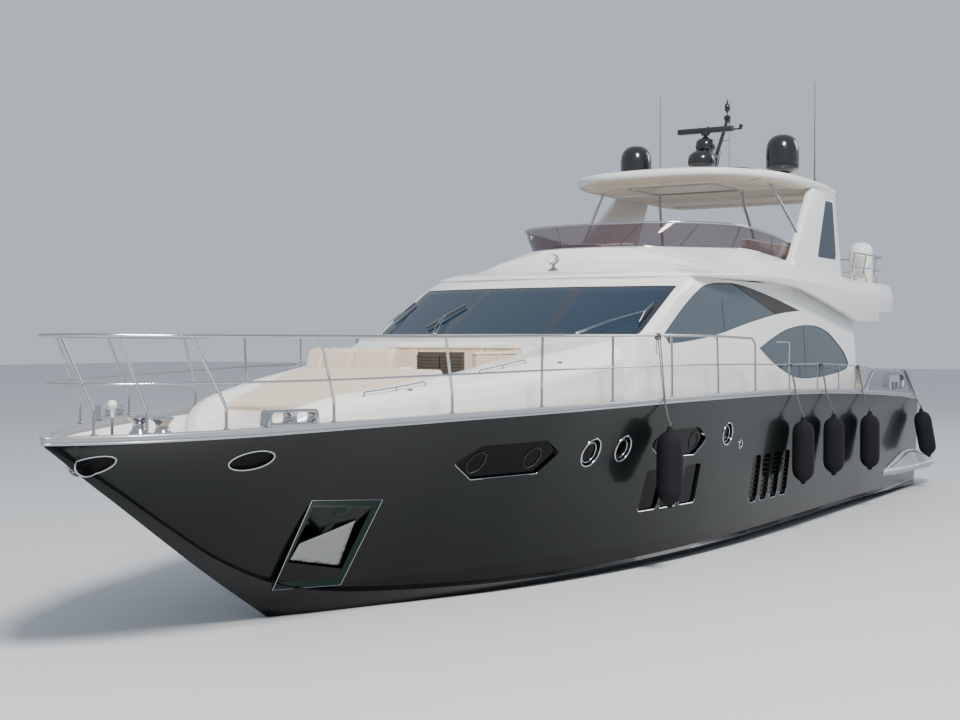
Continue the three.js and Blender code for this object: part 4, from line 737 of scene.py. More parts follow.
def patch(outline, side, deep, shallow, n=10):
    """Plate that follows the topsides between two depths under a four-cornered outline."""
    a, b, c, d = (np.array(p) for p in outline)
    layers = []
    for depth in (shallow, deep):
        rows = []
        for i in range(n + 1):
            left, right = a + (d - a) * i / n, b + (c - b) * i / n
            rows.append([left + (right - left) * j / n for j in range(n + 1)])
        layers.append([[(x, side * (hull_y(x, z) - depth), z) for x, z in row] for row in rows])
    verts, faces = [], []
    for rows in layers:
        base = len(verts)
        verts += [p for row in rows for p in row]
        for i in range(n):
            for j in range(n):
                q = base + i * (n + 1) + j
                faces.append((q, q + 1, q + n + 2, q + n + 1))
    rim = [*range(n + 1), *[i * (n + 1) + n for i in range(1, n + 1)], *[n * (n + 1) + j
        for j in range(n - 1, -1, -1)], *[i * (n + 1) for i in range(n - 1, 0, -1)]]
    top = (n + 1) ** 2
    faces += [(rim[k - 1], rim[k], rim[k] + top, rim[k - 1] + top) for k in range(len(rim))]
    return verts, faces


# Painted reflection: polished steel coloured near-black green, standing in for the dark surroundings it
# mirrors.
mirror_steel_painted_reflection = Finish("mirror_plate_painted_reflection", "polished_steel", (0.02, 0.034, 0.03), 0.06, 1.0)
mirror_steel_painted_reflection.rough(4.0, 0.03, 0.12)
mirror_steel_painted_reflection.relief(9.0, 0.003, 0.25, 2.0)
rippled_steel = Finish("rippled_steel", "polished_steel", (0.3, 0.315, 0.31), 0.2, 1.0)
streaks = rippled_steel.noise(7.0, 6.0, rippled_steel.place((1, 1, 3), (0, 0.6, 0)))
rippled_steel.rough(streaks, 0.1, 0.5)
rippled_steel.bump(streaks, 0.02, 0.8)
for side, name in ((1, "anchor_port"), (-1, "anchor_starboard")):
    rings = [on_side(ANCHOR_PLATE, side, -0.0077), on_side(ANCHOR_PLATE, side, 0.004)]
    inner = [on_side(shrunk(ANCHOR_PLATE, 0.11), side, 0.004), on_side(shrunk(ANCHOR_PLATE, 0.13), side,
        -0.0077)]
    verts = [p for ring in rings + inner for p in ring]
    faces = [(r * 4 + k, r * 4 + (k + 1) % 4, (r + 1) % 4 * 4 + (k + 1) % 4, (r + 1) % 4 * 4 + k)
        for r in range(4) for k in range(4)]
    plate = new_piece(name + "_plate", (verts, faces), mirror_steel_painted_reflection, replaces=name)
    lining = patch(shrunk(ANCHOR_POCKET, 0.004), side, 0.239, 0.228)
    new_piece(name + "_box", lining, mirror_steel_painted_reflection)
    fluke = patch([(9.73, 1.04), (9.12, 1.3), (8.99, 0.65), (9.74, 0.8)], side, 0.12, 0.05)
    shank = patch([(9.5, 1.46), (9.4, 1.46), (9.34, 0.82), (9.46, 0.82)], side, 0.16, 0.075, 4)
    stock = patch([(9.58, 1.58), (9.33, 1.58), (9.36, 1.4), (9.54, 1.4)], side, 0.15, 0.01, 4)
    new_piece(name + "_fluke", fluke, rippled_steel, ease=0.012)
    new_piece(name + "_shank", [shank, stock], mirror_steel_painted_reflection, ease=0.01)
    new_piece(name + "_plate_edge", tube(on_side(ANCHOR_PLATE, side, 0.005), 0.006, 6, closed=True), steel)


# Cap rail
# Silver-painted moulding screwed down over the top of the bulwark, with a round outer edge, a groove
# and a lower lip; polished double fairleads stand on it at the bow, tube rails and humps on the quarters.
cap_silver = Finish("cap_silver", "cap_silver", (0.33, 0.345, 0.37), 0.3, 0.5, Coat_Roughness=0.08,
    Coat_Weight=0.4)
cap_silver.rough(0.8, 0.26, 0.34)
cap_silver.relief(2.0, 0.001, 0.1)
CAP_PROFILE = [
    (-0.15, -0.099), (-0.15, -0.008), (-0.143, 0.0), (0.0, 0.0), (0.014, -0.006), (0.021, -0.018),
    (0.022, -0.036),
    (0.02, -0.052), (0.013, -0.062), (0.004, -0.066), (0.003, -0.074), (0.01, -0.078), (0.012, -0.088),
    (0.008, -0.098), (0.002, -0.0995),
]
cap_rings = []
nose = [13.33 - 0.03 * (1 - cos(t)) for t in np.linspace(0.12, pi / 2, 6)]
for x in [*nose, *np.arange(13.26, 11.0, -0.06), *np.arange(11.0, -11.4, -0.2), -11.44, -11.47, -11.48]:
    taper = sqrt(max(0.0, 1 - ((x - 13.3) / 0.0301) ** 2)) if x > 13.3 else 1.0
    pull = {-11.47: 0.012, -11.48: 0.03}.get(x, 0.0)
    cap_rings.append([
        (x, max(0.0, (sheer_y(x) + d) * taper - (pull if d > -0.1 else -pull)),
        sheer_z(x) + h - (pull if h > -0.05 else 0))
        for d, h in CAP_PROFILE
    ])
new_piece("cap_rail_moulding", both(skin(cap_rings)), cap_silver, replaces="cap_rail", sharp=50)

FAIRLEAD_X = 10.93
fair_y, fair_z = sheer_y(FAIRLEAD_X) - 0.085, sheer_z(FAIRLEAD_X)
frame_side = rounded([(FAIRLEAD_X - 0.33, fair_z - 0.004), (FAIRLEAD_X + 0.33, fair_z - 0.004),
    (FAIRLEAD_X + 0.31, fair_z + 0.19), (FAIRLEAD_X - 0.31, fair_z + 0.19)], [0.01, 0.01, 0.05, 0.05])
for side, name in ((1, "fairlead_port"), (-1, "fairlead_starboard")):
    turn = atan2(sheer_y(FAIRLEAD_X - 0.3) - sheer_y(FAIRLEAD_X + 0.3), 0.6)
    body = new_piece(name, prism_y(frame_side, fair_y - 0.062, fair_y + 0.062), steel)
    holes = []
    for s in (-1, 1):
        cx = FAIRLEAD_X + s * 0.155
        hole = oblong(cx - 0.118, cx + 0.118, fair_z + 0.035, fair_z + 0.155)
        holes.append(prism_y(rounded(hole, 0.045), fair_y - 0.3, fair_y + 0.3))
    combine(body, holes)
    eased(body, 0.014, 3, 40)
    for v in body.data.vertices:
        dx = v.co.x - FAIRLEAD_X
        v.co.y = side * (v.co.y - dx * tan(turn))
    if side < 0:
        body.data.flip_normals()
    smoothed(body, 50)

# Quarter rails and the post that hooks over the boarding gate: x and height over the cap
QUARTER_RAIL = [(0.0, 0.47), (-1.8, 0.47), (-3.7, 0.5), (-6.0, 0.5), (-7.0, 0.48), (-7.48, 0.43)]
GATE_POST = [(-1.79, 0.0), (-1.79, 0.86), (-1.72, 0.885), (-1.13, 0.885)]
quarter_line = spline([(x, sheer_y(x) - 0.07, sheer_z(x) + h) for x, h in QUARTER_RAIL], 6)
gate_line = [(x, sheer_y(x) - 0.07, sheer_z(x) + h) for x, h in GATE_POST]


def quarter_rail_z(x):
    xs = [p[0] for p in quarter_line][::-1]
    return float(np.interp(x, xs, [p[2] for p in quarter_line][::-1]))


quarter_parts = [tube(quarter_line, 0.012), tube(rounded(gate_line, [0, 0.08, 0.08, 0], 4, closed=False),
    0.015, 12)]
for x in (-1.79, -3.45, -4.84, -6.02):
    foot = (x, sheer_y(x) - 0.07, sheer_z(x))
    quarter_parts.append(tube([foot, (x, foot[1], quarter_rail_z(x))], 0.015))
    quarter_parts.append(tube([foot, (x, foot[1], foot[2] + 0.014)], 0.034, 20))
new_piece("quarter_rails", both(quarter_parts), steel)

# Mooring humps: x and height over the cap; a recessed panel with the hole to the bollard
HUMP = [(-6.73, 0.005), (-6.9, 0.13), (-7.1, 0.28), (-7.3, 0.39), (-7.5, 0.445), (-8.6, 0.475),
    (-10.25, 0.515), (-10.6, 0.485), (-10.8, 0.42), (-11.0, 0.25), (-11.16, 0.02)]
hump_table = np.array(HUMP[::-1])
hump_grey = Finish("hump_grey", "cap_silver", (0.17, 0.185, 0.215), 0.3, 0.3, Coat_Roughness=0.1,
    Coat_Weight=0.3)
hump_grey.rough(12.0, 0.24, 0.36)
hump_grey.relief(70.0, 0.0004, 0.2)
hump_rings = []
for x in np.linspace(-6.73, -11.16, 60):
    rise = fair(hump_table, x, 1)
    y, z = sheer_y(x) - 0.01, sheer_z(x) + 0.0005
    corner = [(0.0, 0.0), (0.012, 0.5 * rise), (0.024, rise), (0.112, rise), (0.124, 0.5 * rise), (0.13, 0.0)]
    shaped = rounded(corner, [0, 0, min(0.03, rise * 0.4), min(0.03, rise * 0.4), 0, 0], 5, closed=False)
    hump_rings.append([(x, y - inward, z + up) for inward, up in shaped])
panel = [(-7.95, 0.05), (-8.35, 0.41), (-10.1, 0.455), (-10.85, 0.06)]
panel_outline = rounded([(x, sheer_z(x) + h) for x, h in panel], [0.02, 0.12, 0.14, 0.02], 6)
hole = [(-8.85, 0.07), (-8.8, 0.33), (-9.0, 0.4), (-10.0, 0.4), (-10.15, 0.3), (-10.05, 0.07)]
hole_outline = rounded([(x, sheer_z(-9.5) + h) for x, h in hole], 0.06, 4)
for side, name in ((1, "hump_port"), (-1, "hump_starboard")):
    hump = new_piece(name, sided(skin(hump_rings), side), hump_grey)
    y0 = sheer_y(-9.8)
    combine(hump, [prism_y(panel_outline, side * (y0 - 0.04), side * (y0 + 0.3)),
                   prism_y(hole_outline, side * (y0 - 0.5), side * (y0 + 0.3))])
    eased(hump, 0.006, 2, 50)
    smoothed(hump, 40)
bollard_parts = []
for x in (-7.75, -8.15, -8.6, -9.5, -10.1, -10.4):
    base = sheer_z(x) + fair(hump_table, x, 1) - 0.01
    y = sheer_y(x) - 0.075
    bollard_parts.append(tube([(x, y, base), (x, y, base + 0.045)], [0.014, 0.01], 10))
    bollard_parts.append(tube([(x - 0.03, y, base + 0.045), (x + 0.03, y, base + 0.045)], 0.012, 8))
x = -9.45
for s in (-1, 1):
    cx = x + s * 0.13
    bollard_parts.append(tube([(cx, sheer_y(x) - 0.075, sheer_z(x) + 0.001),
        (cx, sheer_y(x) - 0.075, sheer_z(x) + 0.24)], 0.04, 20))
new_piece("hump_hooks_and_bollards", both(bollard_parts), steel)


# Decks
# Sun-bleached teak strips with dark caulking, glued over the level main deck and the rising foredeck
# up to the white bulwark.
pale_teak = Finish("bleached_teak", "pale_teak", (0.62, 0.52, 0.42), 0.6)
grain = pale_teak.noise(5.0, 6.0, pale_teak.place((0.6, 14, 14)))
plank = pale_teak.axis("Y") % 0.062
wood = pale_teak.between(grain, (0.7, 0.6, 0.5), (0.5, 0.41, 0.33))
wood = pale_teak.between(plank < 0.006, wood, (0.03, 0.028, 0.026))
pale_teak.feed("Base Color", wood)
pale_teak.rough(grain, 0.5, 0.75)
pale_teak.bump(grain * 0.3 + (plank > 0.006), 0.002, 0.5)
gelcoat = Finish("white_gelcoat", "white_gelcoat", (0.83, 0.83, 0.81), 0.22, 0.0, Coat_Roughness=0.05,
    Coat_Weight=0.35)
gelcoat_cloud = gelcoat.noise(0.8, 4.0)
gelcoat.feed("Base Color", gelcoat.between(gelcoat_cloud, (0.85, 0.85, 0.83), (0.79, 0.79, 0.78)))
gelcoat.rough(18.0, 0.18, 0.3)
gelcoat.relief(35.0, 0.0006, 0.25, 2.0)
deck = new_piece("main_deck", deck_band(0.002, -DECK_T + 0.0003, 0.0, DECK_LEVEL_X, WELL_AFT_X + 0.002),
    pale_teak, replaces="deck")
step_room = box(-13, STEP_FIRST_X, STEP_INNER - 0.02, STEP_OUTER + 0.2, 2.0, 3.0)
combine(deck, [step_room, mirror(step_room)])
smoothed(deck, 30)
new_piece("fore_deck", deck_band(0.002, -DECK_T + 0.0003, 0.0, WELL_FRONT_X - 0.002, DECK_LEVEL_X + 0.0003),
    pale_teak, replaces="foredeck")


# Windlass and foredeck gear
# Polished windlass with two warping drums on a steel plate, chain pipes, cleats, and a white bow light
# on a short stem; all bolted through the deck.
def lathe(profile, x=0.0, y=0.0, z=0.0, sides=40):
    rings = [[(x + max(r, 1e-7) * cos(a), y + max(r, 1e-7) * sin(a), z + h)
              for a in (2 * pi * k / sides for k in range(sides))] for r, h in profile]
    return skin(rings)


plate_ends = (11.15, 12.15)
plate = rounded([(plate_ends[0], -0.33), (plate_ends[1], -0.28), (plate_ends[1], 0.28),
    (plate_ends[0], 0.33)], 0.08)
plate_part = skin([[(x, y, deck_z(x) + h) for x, y in plate] for h in (0.0005, 0.025)])
drum_profile = [(0.13, 0.0), (0.13, 0.16), (0.115, 0.2), (0.09, 0.225), (0.078, 0.26), (0.082, 0.3),
    (0.1, 0.335), (0.135, 0.36), (0.14, 0.378), (0.13, 0.39), (0.05, 0.395), (0.045, 0.4), (0.0, 0.402)]
gear = [plate_part]
for y in (-0.19, 0.19):
    gear.append(lathe(drum_profile, 11.7, y, deck_z(11.7) + 0.02))
    gear.append(lathe([(0.075, 0), (0.08, 0.02), (0.06, 0.06), (0.045, 0.06), (0.045, 0.02)], 12.0, y,
        deck_z(12.0) + 0.024, 28))
    chain_x = np.arange(11.8, 12.02, 0.034)
    for k, x in enumerate(chain_x):
        link = [(x + 0.026 * cos(a), y * 0.92 + (0.015 * sin(a) if k % 2 else 0),
            deck_z(11.9) + 0.105 + (0 if k % 2 else 0.015 * sin(a))) for a in (2 * pi * q / 12
            for q in range(12))]
        gear.append(tube(link, 0.0055, 6, closed=True))
new_piece("windlass_set", gear, steel, replaces="windlass", sharp=40)
cleats = []
for x, y in ((12.25, 0.42), (9.35, 1.62), (4.9, 2.62), (-10.8, 2.95)):
    base = sheer_z(x) if x < -10 else deck_z(x)
    y = min(y, hull_y(x, base) - BULWARK - 0.05) if x > -10 else y
    for s in (-0.05, 0.05):
        cleats.append(tube([(x + s, y, base + 0.0005), (x + s, y, base + 0.055)], [0.022, 0.013], 12))
    horn = [(x - 0.16, y, base + 0.068), (x - 0.08, y, base + 0.06), (x + 0.08, y, base + 0.06),
        (x + 0.16, y, base + 0.068)]
    cleats.append(tube(spline(horn, 4), [0.008] + [0.013] * 11 + [0.008], 10))
new_piece("deck_cleats", both(cleats), steel)
light_x, light_y, light_z = 12.2, -0.12, deck_z(12.2)
stem_part = tube([(light_x, light_y, light_z + 0.0005), (light_x, light_y, light_z + 0.42)], 0.018, 12)
new_piece("bow_light_stem", stem_part, steel)
bow_light = lathe([(0.02, 0.41), (0.024, 0.49), (0.045, 0.515), (0.055, 0.55), (0.052, 0.58), (0.035, 0.605),
    (0.0, 0.614)], light_x, light_y, light_z, 32)
new_piece("bow_light", bow_light, gelcoat)


# Foredeck moulding
# White gelcoat moulding with a rounded nose; a sun pad lies in its front recess, a U-shaped lounge in
# the well behind. Columns: x, pad floor z, pad half width, rim z, rim y, flank z, flank y, foot y
COACHROOF = np.array([
    (10.65, 2.372, 0.14, 2.374, 0.2, 2.364, 0.26, 0.3),
    (10.3, 2.56, 0.45, 2.6, 0.6, 2.5, 0.78, 0.86),
    (9.9, 2.66, 0.69, 2.8, 0.86, 2.64, 1.09, 1.2),
    (9.4, 2.7, 0.84, 2.93, 1.01, 2.74, 1.37, 1.52),
    (8.8, 2.78, 1.02, 3.0, 1.22, 2.79, 1.64, 1.7),
    (8.0, 2.88, 1.22, 3.1, 1.42, 2.85, 1.94, 1.98),
    (7.0, 3.0, 1.32, 3.22, 1.58, 2.94, 2.2, 2.24),
    (6.0, 3.12, 1.34, 3.36, 1.76, 3.06, 2.41, 2.45),
    (5.0, 3.4, 1.34, 3.5, 2.06, 3.22, 2.55, 2.59),
    (4.29, 3.62, 1.34, 3.64, 2.36, 3.38, 2.64, 2.66),
])[::-1]
LOUNGE_FRONT, LOUNGE_AFT, LOUNGE_HALF, LOUNGE_FLOOR = 6.95, 5.0, 1.25, 2.7


def coach_section(x):
    pad_z, pad_y, rim_z, rim_y, flank_z, flank_y, foot_y = (fair(COACHROOF, x, c) for c in range(1, 8))
    foot = deck_z(x) + 0.0004
    corners = [
        (foot_y, foot), (flank_y, max(flank_z, foot + 0.004)), ((flank_y + rim_y) / 2 + 0.06,
        flank_z + (rim_z - flank_z) * 0.62),
        (rim_y, rim_z), (pad_y + 0.04, max(rim_z - 0.01, pad_z + 0.001)), (pad_y, pad_z),
    ]
    ease = min(1.0, (10.66 - x) / 0.8)
    return rounded(corners, [0, 0.1 * ease, 0.5 * ease, 0.1 * ease, 0.03 * ease, 0], 5, closed=False)


coach_rings = []
for x in [*np.arange(10.65, 9.4, -0.05), *np.arange(9.4, 4.29, -0.1), 4.29]:
    half = [(x, y, z) for y, z in coach_section(x)]
    coach_rings.append(half + flipped(half))
coach = new_piece("foredeck_moulding", skin(coach_rings), gelcoat, replaces="coachroof")
well = rounded(oblong(LOUNGE_AFT, LOUNGE_FRONT, -LOUNGE_HALF, LOUNGE_HALF), 0.004)
combine(coach, [prism_z(well, LOUNGE_FLOOR, 4.5)])
eased(coach, 0.01, 2, 50)
smoothed(coach, 40)

# Grab rails and small fittings on its shoulders
fitting_parts = []


def surface_z(piece, x, y, start=12.0):
    """Height of a piece's top surface."""
    hit, place, _, _ = piece.ray_cast(Vector((x, y, start)), Vector((0, 0, -1)))
    return place.z if hit else start


for x0, x1 in ((9.15, 8.15), (7.05, 6.05)):
    ys = [fair(COACHROOF, x, 4) + 0.16 for x in np.linspace(x0, x1, 9)]
    line = [(x, y, surface_z(coach, x, y) + 0.055) for x, y in zip(np.linspace(x0, x1, 9), ys)]
    ends = [(line[0][0], line[0][1], line[0][2] - 0.055), *line, (line[-1][0], line[-1][1],
        line[-1][2] - 0.055)]
    fitting_parts.append(tube(rounded(ends, 0.03, 3, closed=False), 0.011, 8))
    middle = line[4]
    fitting_parts.append(tube([(middle[0], middle[1], middle[2] - 0.055), middle], 0.009, 8))
for x in (8.45, 5.55):
    y = fair(COACHROOF, x, 6) - 0.28
    z = surface_z(coach, x, y)
    fitting_parts.append(lathe([(0.045, -0.002), (0.045, 0.006), (0.03, 0.012), (0, 0.014)], x, y, z, 20))
new_piece("foredeck_grab_rails", both(fitting_parts), steel)


# Sun pad and lounge cushions
# Beige vinyl over foam with piped seams, pressed into the recess and held by studs; the backrest is a
# row of upright bolsters, the lounge a U of seat and back cushions.
vinyl = Finish("beige_vinyl", "beige_vinyl", (0.66, 0.54, 0.44), 0.6)
leather = vinyl.noise(14.0, 5.0)
vinyl.feed("Base Color", vinyl.between(leather, (0.7, 0.585, 0.485), (0.61, 0.5, 0.41)))
vinyl.rough(leather, 0.5, 0.7)
vinyl.bump(vinyl.noise(160.0, 4.0) * 0.4 + vinyl.noise(3.0, 3.0), 0.006, 0.5)
seam_finish = Finish("seam_piping", "beige_vinyl", (0.52, 0.42, 0.34), 0.6)
seam_finish.relief(300.0, 0.0006, 0.4)


def cushion(x0, x1, y0, y1, z0, z1, r=0.05, crown=0.025, front=0.012, cells=12):
    """Foam block with round edges, a crowned top and slightly swollen sides."""
    low, high = np.array((x0, y0, z0)), np.array((x1, y1, z1))
    centre, half = (low + high) / 2, (high - low) / 2
    r = min(r, float(half.min()) * 0.98)
    lines = []
    for axis in range(3):
        rho = r / half[axis]
        arc = [-1 + rho * (1 - cos(t)) for t in np.linspace(0, pi / 2, 5)]
        core = list(np.linspace(-1 + rho, 1 - rho, cells + 1))
        lines.append(arc[:-1] + core + [-v for v in reversed(arc[:-1])])
    verts, faces = [], []
    for axis in range(3):
        u, v = [a for a in range(3) if a != axis]
        for sign in (-1, 1):
            base = len(verts)
            for a in lines[u]:
                for b in lines[v]:
                    p = np.zeros(3)
                    p[axis], p[u], p[v] = sign, a, b
                    point = p * half
                    core = np.clip(point, -(half - r), half - r)
                    offset = point - core
                    offset = offset / max(np.linalg.norm(offset), 1e-9) * r
                    point = core + offset
                    w = point / half
                    puff = (1 - w[0] ** 2) * (1 - w[1] ** 2)
                    point[2] += crown * puff * (w[2] > 0) * w[2]
                    point[0] += front * w[0] * (1 - w[1] ** 2) * (1 - w[2] ** 2)
                    point[1] += front * w[1] * (1 - w[0] ** 2) * (1 - w[2] ** 2)
                    verts.append(tuple(centre + point))
            n, m = len(lines[u]), len(lines[v])
            faces += [(base + i * m + j, base + i * m + j + 1, base + (i + 1) * m + j + 1,
                base + (i + 1) * m + j) for i in range(n - 1) for j in range(m - 1)]
    return verts, faces


def piping(x0, x1, y0, y1, z, r=0.05, swell=0.012, radius=0.006):
    """Piped seam round a cushion at a height."""
    ring = rounded(oblong(x0, x1, y0, y1), r, 5)
    cx, cy, hx, hy = (x0 + x1) / 2, (y0 + y1) / 2, (x1 - x0) / 2, (y1 - y0) / 2
    points = []
    for k, (x, y) in enumerate(ring):
        nx, ny = ring[(k + 1) % len(ring)]
        for s in range(4):
            px, py = x + (nx - x) * s / 4, y + (ny - y) * s / 4
            u, v = (px - cx) / hx, (py - cy) / hy
            points.append((px + swell * u * (1 - v * v), py + swell * v * (1 - u * u), z))
    return tube(points, radius, 6, closed=True)


def cushions(name, blocks, node=None, r=0.05, crown=0.025):
    """Several cushions of one set as a padded piece, with their piping."""
    pads = [cushion(*b, r=r, crown=crown) for b in blocks]
    piece = new_piece(name, pads, vinyl, replaces=[node] if node else ())
    seams = [piping(b[0], b[1], b[2], b[3], b[5] - r * 0.75, r) for b in blocks]
    new_piece(name + "_piping", seams, seam_finish)
    return piece


def sun_pad_edge(x):
    return fair(COACHROOF, x, 2) - 0.014


def sun_pad_point(x, v, lift):
    """Point on the pad: v runs from -1 to 1 across, lift is the height over the recess floor."""
    return (x, v * sun_pad_edge(x), fair(COACHROOF, x, 1) + 0.0006 + lift)


PAD_FRONT, PAD_AFT, PAD_R = 9.42, 7.3, 0.05
creases = (9.2, 8.25)
pad_rings = []
for x in sorted({*np.linspace(PAD_AFT, PAD_FRONT, 70), *[c + d for c in creases
        for d in (-0.02, -0.008, 0, 0.008, 0.02)]}, reverse=True):
    end = min(x - PAD_AFT, PAD_FRONT - x)
    t = np.interp(x, (7.3, 8.8, 9.42), (0.275, 0.145, 0.125)) - PAD_R * (1
        - sqrt(max(0.0, 1 - (1 - min(end / PAD_R, 1)) ** 2)))
    groove = sum(0.022 * exp(-((x - c) / 0.014) ** 2) for c in creases)
    ring = []
    for v in [*np.linspace(-1, -0.94, 6), *np.linspace(-0.92, 0.92, 47), *np.linspace(0.94, 1, 6)]:
        side = PAD_R * (1 - sqrt(max(0.0, 1 - (1 - min((1 - abs(v)) * sun_pad_edge(x) / PAD_R, 1)) ** 2)))
        middle = 0.02 * exp(-(v * sun_pad_edge(x) / 0.012) ** 2)
        waves = 0.006 * sin(7 * x + 3 * v) * sin(5 * v + x)
        puff = 0.012 * (1 - v * v) if x < creases[0] else 0.02 * (1 - abs((x - 9.31) / 0.11)) * (1 - v ** 4)
        ring.append(sun_pad_point(x, v, max(0.02, t - side - groove - middle * (x < creases[0]) + puff
            + waves * (end > 0.05))))
    pad_rings.append(ring + [sun_pad_point(x, v, 0.0) for v in (0.985, 0, -0.985)])
sun_pad = new_piece("sun_pad_cushion", skin(pad_rings), vinyl, replaces="sun_pad", sharp=60)

# Upright bolsters of the backrest, and the cushions of the lounge behind it
BACK_FRONT, BACK_AFT = 7.288, 6.952
bolsters = []
back_edges = [-1.25, -0.96, -0.4, 0.33]
for y0, y1 in zip(back_edges, back_edges[1:]):
    n = 14
    rings = []
    for k in range(n + 1):
        u = -1 + 2 * k / n
        y = (y0 + y1) / 2 + u * ((y1 - y0) / 2 - 0.002)
        pinch = 0.02 * (abs(u) ** 10)
        z0 = fair(COACHROOF, BACK_FRONT, 1) + 0.001
        outline = [(BACK_FRONT - pinch, z0), (BACK_FRONT - pinch + 0.01, 3.08),
            (7.13 - pinch * 0.5, 3.5 - pinch), (7.0, 3.535 - pinch), (BACK_AFT + pinch, 3.49 - pinch),
            (BACK_AFT + pinch, z0)]
        rings.append([(x, y, z) for x, z in rounded(outline, [0.02, 0.18, 0.09, 0.05, 0.05, 0.02], 5)])
    bolsters.append(skin(rings))
backrest = new_piece("backrest_bolsters", bolsters, vinyl, replaces="pad_backrest", sharp=60)

seat_half = LOUNGE_HALF - 0.002
seat_aft = LOUNGE_AFT + 0.002
seat_low = LOUNGE_FLOOR + 0.001
seat_base = [
    (seat_aft, seat_aft + 0.55, -seat_half, seat_half, seat_low, seat_low + 0.3),
    (seat_aft + 0.552, 6.5, -seat_half, -seat_half + 0.55, seat_low, seat_low + 0.3),
    (seat_aft + 0.552, 6.3, seat_half - 0.55, seat_half, seat_low, seat_low + 0.3),
]
new_piece("lounge_lockers", [cushion(*b, r=0.02, crown=0, front=0, cells=3) for b in seat_base], gelcoat)
seats = []
seat_ends = np.linspace(-seat_half + 0.56, seat_half - 0.56, 3)
for a, b in zip(seat_ends, seat_ends[1:]):
    seats.append((seat_aft + 0.13, seat_aft + 0.57, a + 0.002, b - 0.002, seat_low + 0.302, seat_low + 0.43))
for x0, x1 in ((seat_aft + 0.002, seat_aft + 0.74), (seat_aft + 0.744, 6.495)):
    seats.append((x0, x1, -seat_half + 0.12, -seat_half + 0.556, seat_low + 0.302, seat_low + 0.43))
for x0, x1 in ((seat_aft + 0.002, seat_aft + 0.64), (seat_aft + 0.644, 6.295)):
    seats.append((x0, x1, seat_half - 0.556, seat_half - 0.12, seat_low + 0.302, seat_low + 0.43))
cushions("lounge_seat_cushions", seats, "lounge_seat", r=0.04, crown=0.02)
back_low = seat_low + 0.302
back_ends = np.linspace(-seat_half, seat_half, 5)
backs = []
for a, b in zip(back_ends, back_ends[1:]):
    backs.append((seat_aft, seat_aft + 0.125, a + 0.002, b - 0.002, back_low, 3.55))
for x0, x1 in ((seat_aft + 0.13, seat_aft + 0.8), (seat_aft + 0.804, 6.495)):
    backs.append((x0, x1, -seat_half, -seat_half + 0.115, back_low, 3.47))
for x0, x1 in ((seat_aft + 0.13, seat_aft + 0.7), (seat_aft + 0.704, 6.295)):
    backs.append((x0, x1, seat_half - 0.115, seat_half, back_low, 3.47))
cushions("lounge_back_cushions", backs, r=0.04, crown=0.01)
throw = new_piece("throw_pillow", cushion(6.98, 7.1, 0.345, 0.6, 3.03, 3.24, 0.05, 0.02, 0.03), gelcoat,
    sharp=70)

# Slatted locker front
wood_dark = Finish("varnished_slats", "dark_wood", (0.1, 0.075, 0.055), 0.35)
slat_grain = wood_dark.noise(6.0, 6.0, wood_dark.place((14, 1, 14)))
wood_dark.feed("Base Color", wood_dark.between(slat_grain, (0.095, 0.075, 0.06), (0.055, 0.043, 0.034)))
wood_dark.rough(slat_grain, 0.3, 0.5)
wood_dark.bump(slat_grain, 0.002, 0.3)
slats = [cushion(6.645, 6.665, 0.42, 1.23, seat_low, 3.475, 0.004, 0, 0, 2)]
for a, b in ((0.425, 0.815), (0.835, 1.225)):
    for z in np.arange(seat_low + 0.02, 3.42, 0.048):
        slats.append(cushion(6.668, 6.7, a, b, z, z + 0.044, 0.004, 0, 0, 2))
new_piece("slatted_front", slats, wood_dark, replaces="slatted_locker")


# Saloon shell
# White gelcoat deckhouse with a raked, rounded front; its tinted panes are bonded into rebates.
# Columns: z, front x on the centreline, corner x, corner y, middle y, aft y
SHELL = [
    (2.1503, 4.28, 3.98, 2.74, 2.8, 2.8), (3.0, 4.28, 3.98, 2.72, 2.79, 2.79),
    (3.69, 4.28, 3.98, 2.66, 2.745, 2.745),
    (3.694, 4.23, 3.56, 2.65, 2.745, 2.745), (4.5, 2.56, 2.08, 2.62, 2.665, 2.665),
    (4.74, 2.02, 1.54, 2.56, 2.62, 2.62),
]
SHELL_AFT_X = -7.45
WALL = 0.09
shell_levels = [2.1503, 2.6, 3.0, 3.4, 3.6, 3.69, 3.694, 3.85, 4.0, 4.15, 4.3, 4.42, 4.5, 4.62, 4.74]
shell_table = np.array(SHELL)


def shell_plan(z, inset):
    """Outline of the shell at a height, port half from the bow to the stern."""
    row = [float(np.interp(z, shell_table[:, 0], shell_table[:, c])) - inset for c in range(1, 6)]
    front, corner, corner_y, middle_y, aft_y = row
    d = front - corner
    bow = [(front, -0.33 * corner_y), (front, 0), (corner + d * 0.9, corner_y * 0.33),
        (corner + d * 0.62, corner_y * 0.64), (corner + d * 0.26, corner_y * 0.88),
        (corner, corner_y * 0.975)]
    bow[0] = (bow[2][0], -bow[2][1])
    curve = spline(bow, 8)[8:]
    side = [(corner - 0.13, corner_y + 0.004), (corner - 0.9, corner_y + (middle_y - corner_y) * 0.6),
        (-1.5, middle_y), (SHELL_AFT_X, aft_y)]
    turn = rounded([curve[-2], (corner - 0.03, corner_y - 0.012), side[0]], [0, 0.08, 0], 6, closed=False)
    dense = [tuple(np.array(side[0]) + (np.array(side[1]) - np.array(side[0])) * t)
        for t in (0.25, 0.5, 0.75)]
    rest = []
    for a, b in zip(side[1:], side[2:]):
        rest += [tuple(np.array(a) + (np.array(b) - np.array(a)) * t) for t in np.linspace(0, 1, 12)[:-1]]
    return curve[:-2] + turn + dense + rest + [side[-1]]


def shell_form(inset, tall=0.0):
    rings = []
    for i, z in enumerate(shell_levels):
        height = z - tall if i == 0 else z + tall if i == len(shell_levels) - 1 else z
        half = [(x, y, height) for x, y in shell_plan(z, inset)]
        rings.append(half + flipped(half[1:]))
    return skin(rings)


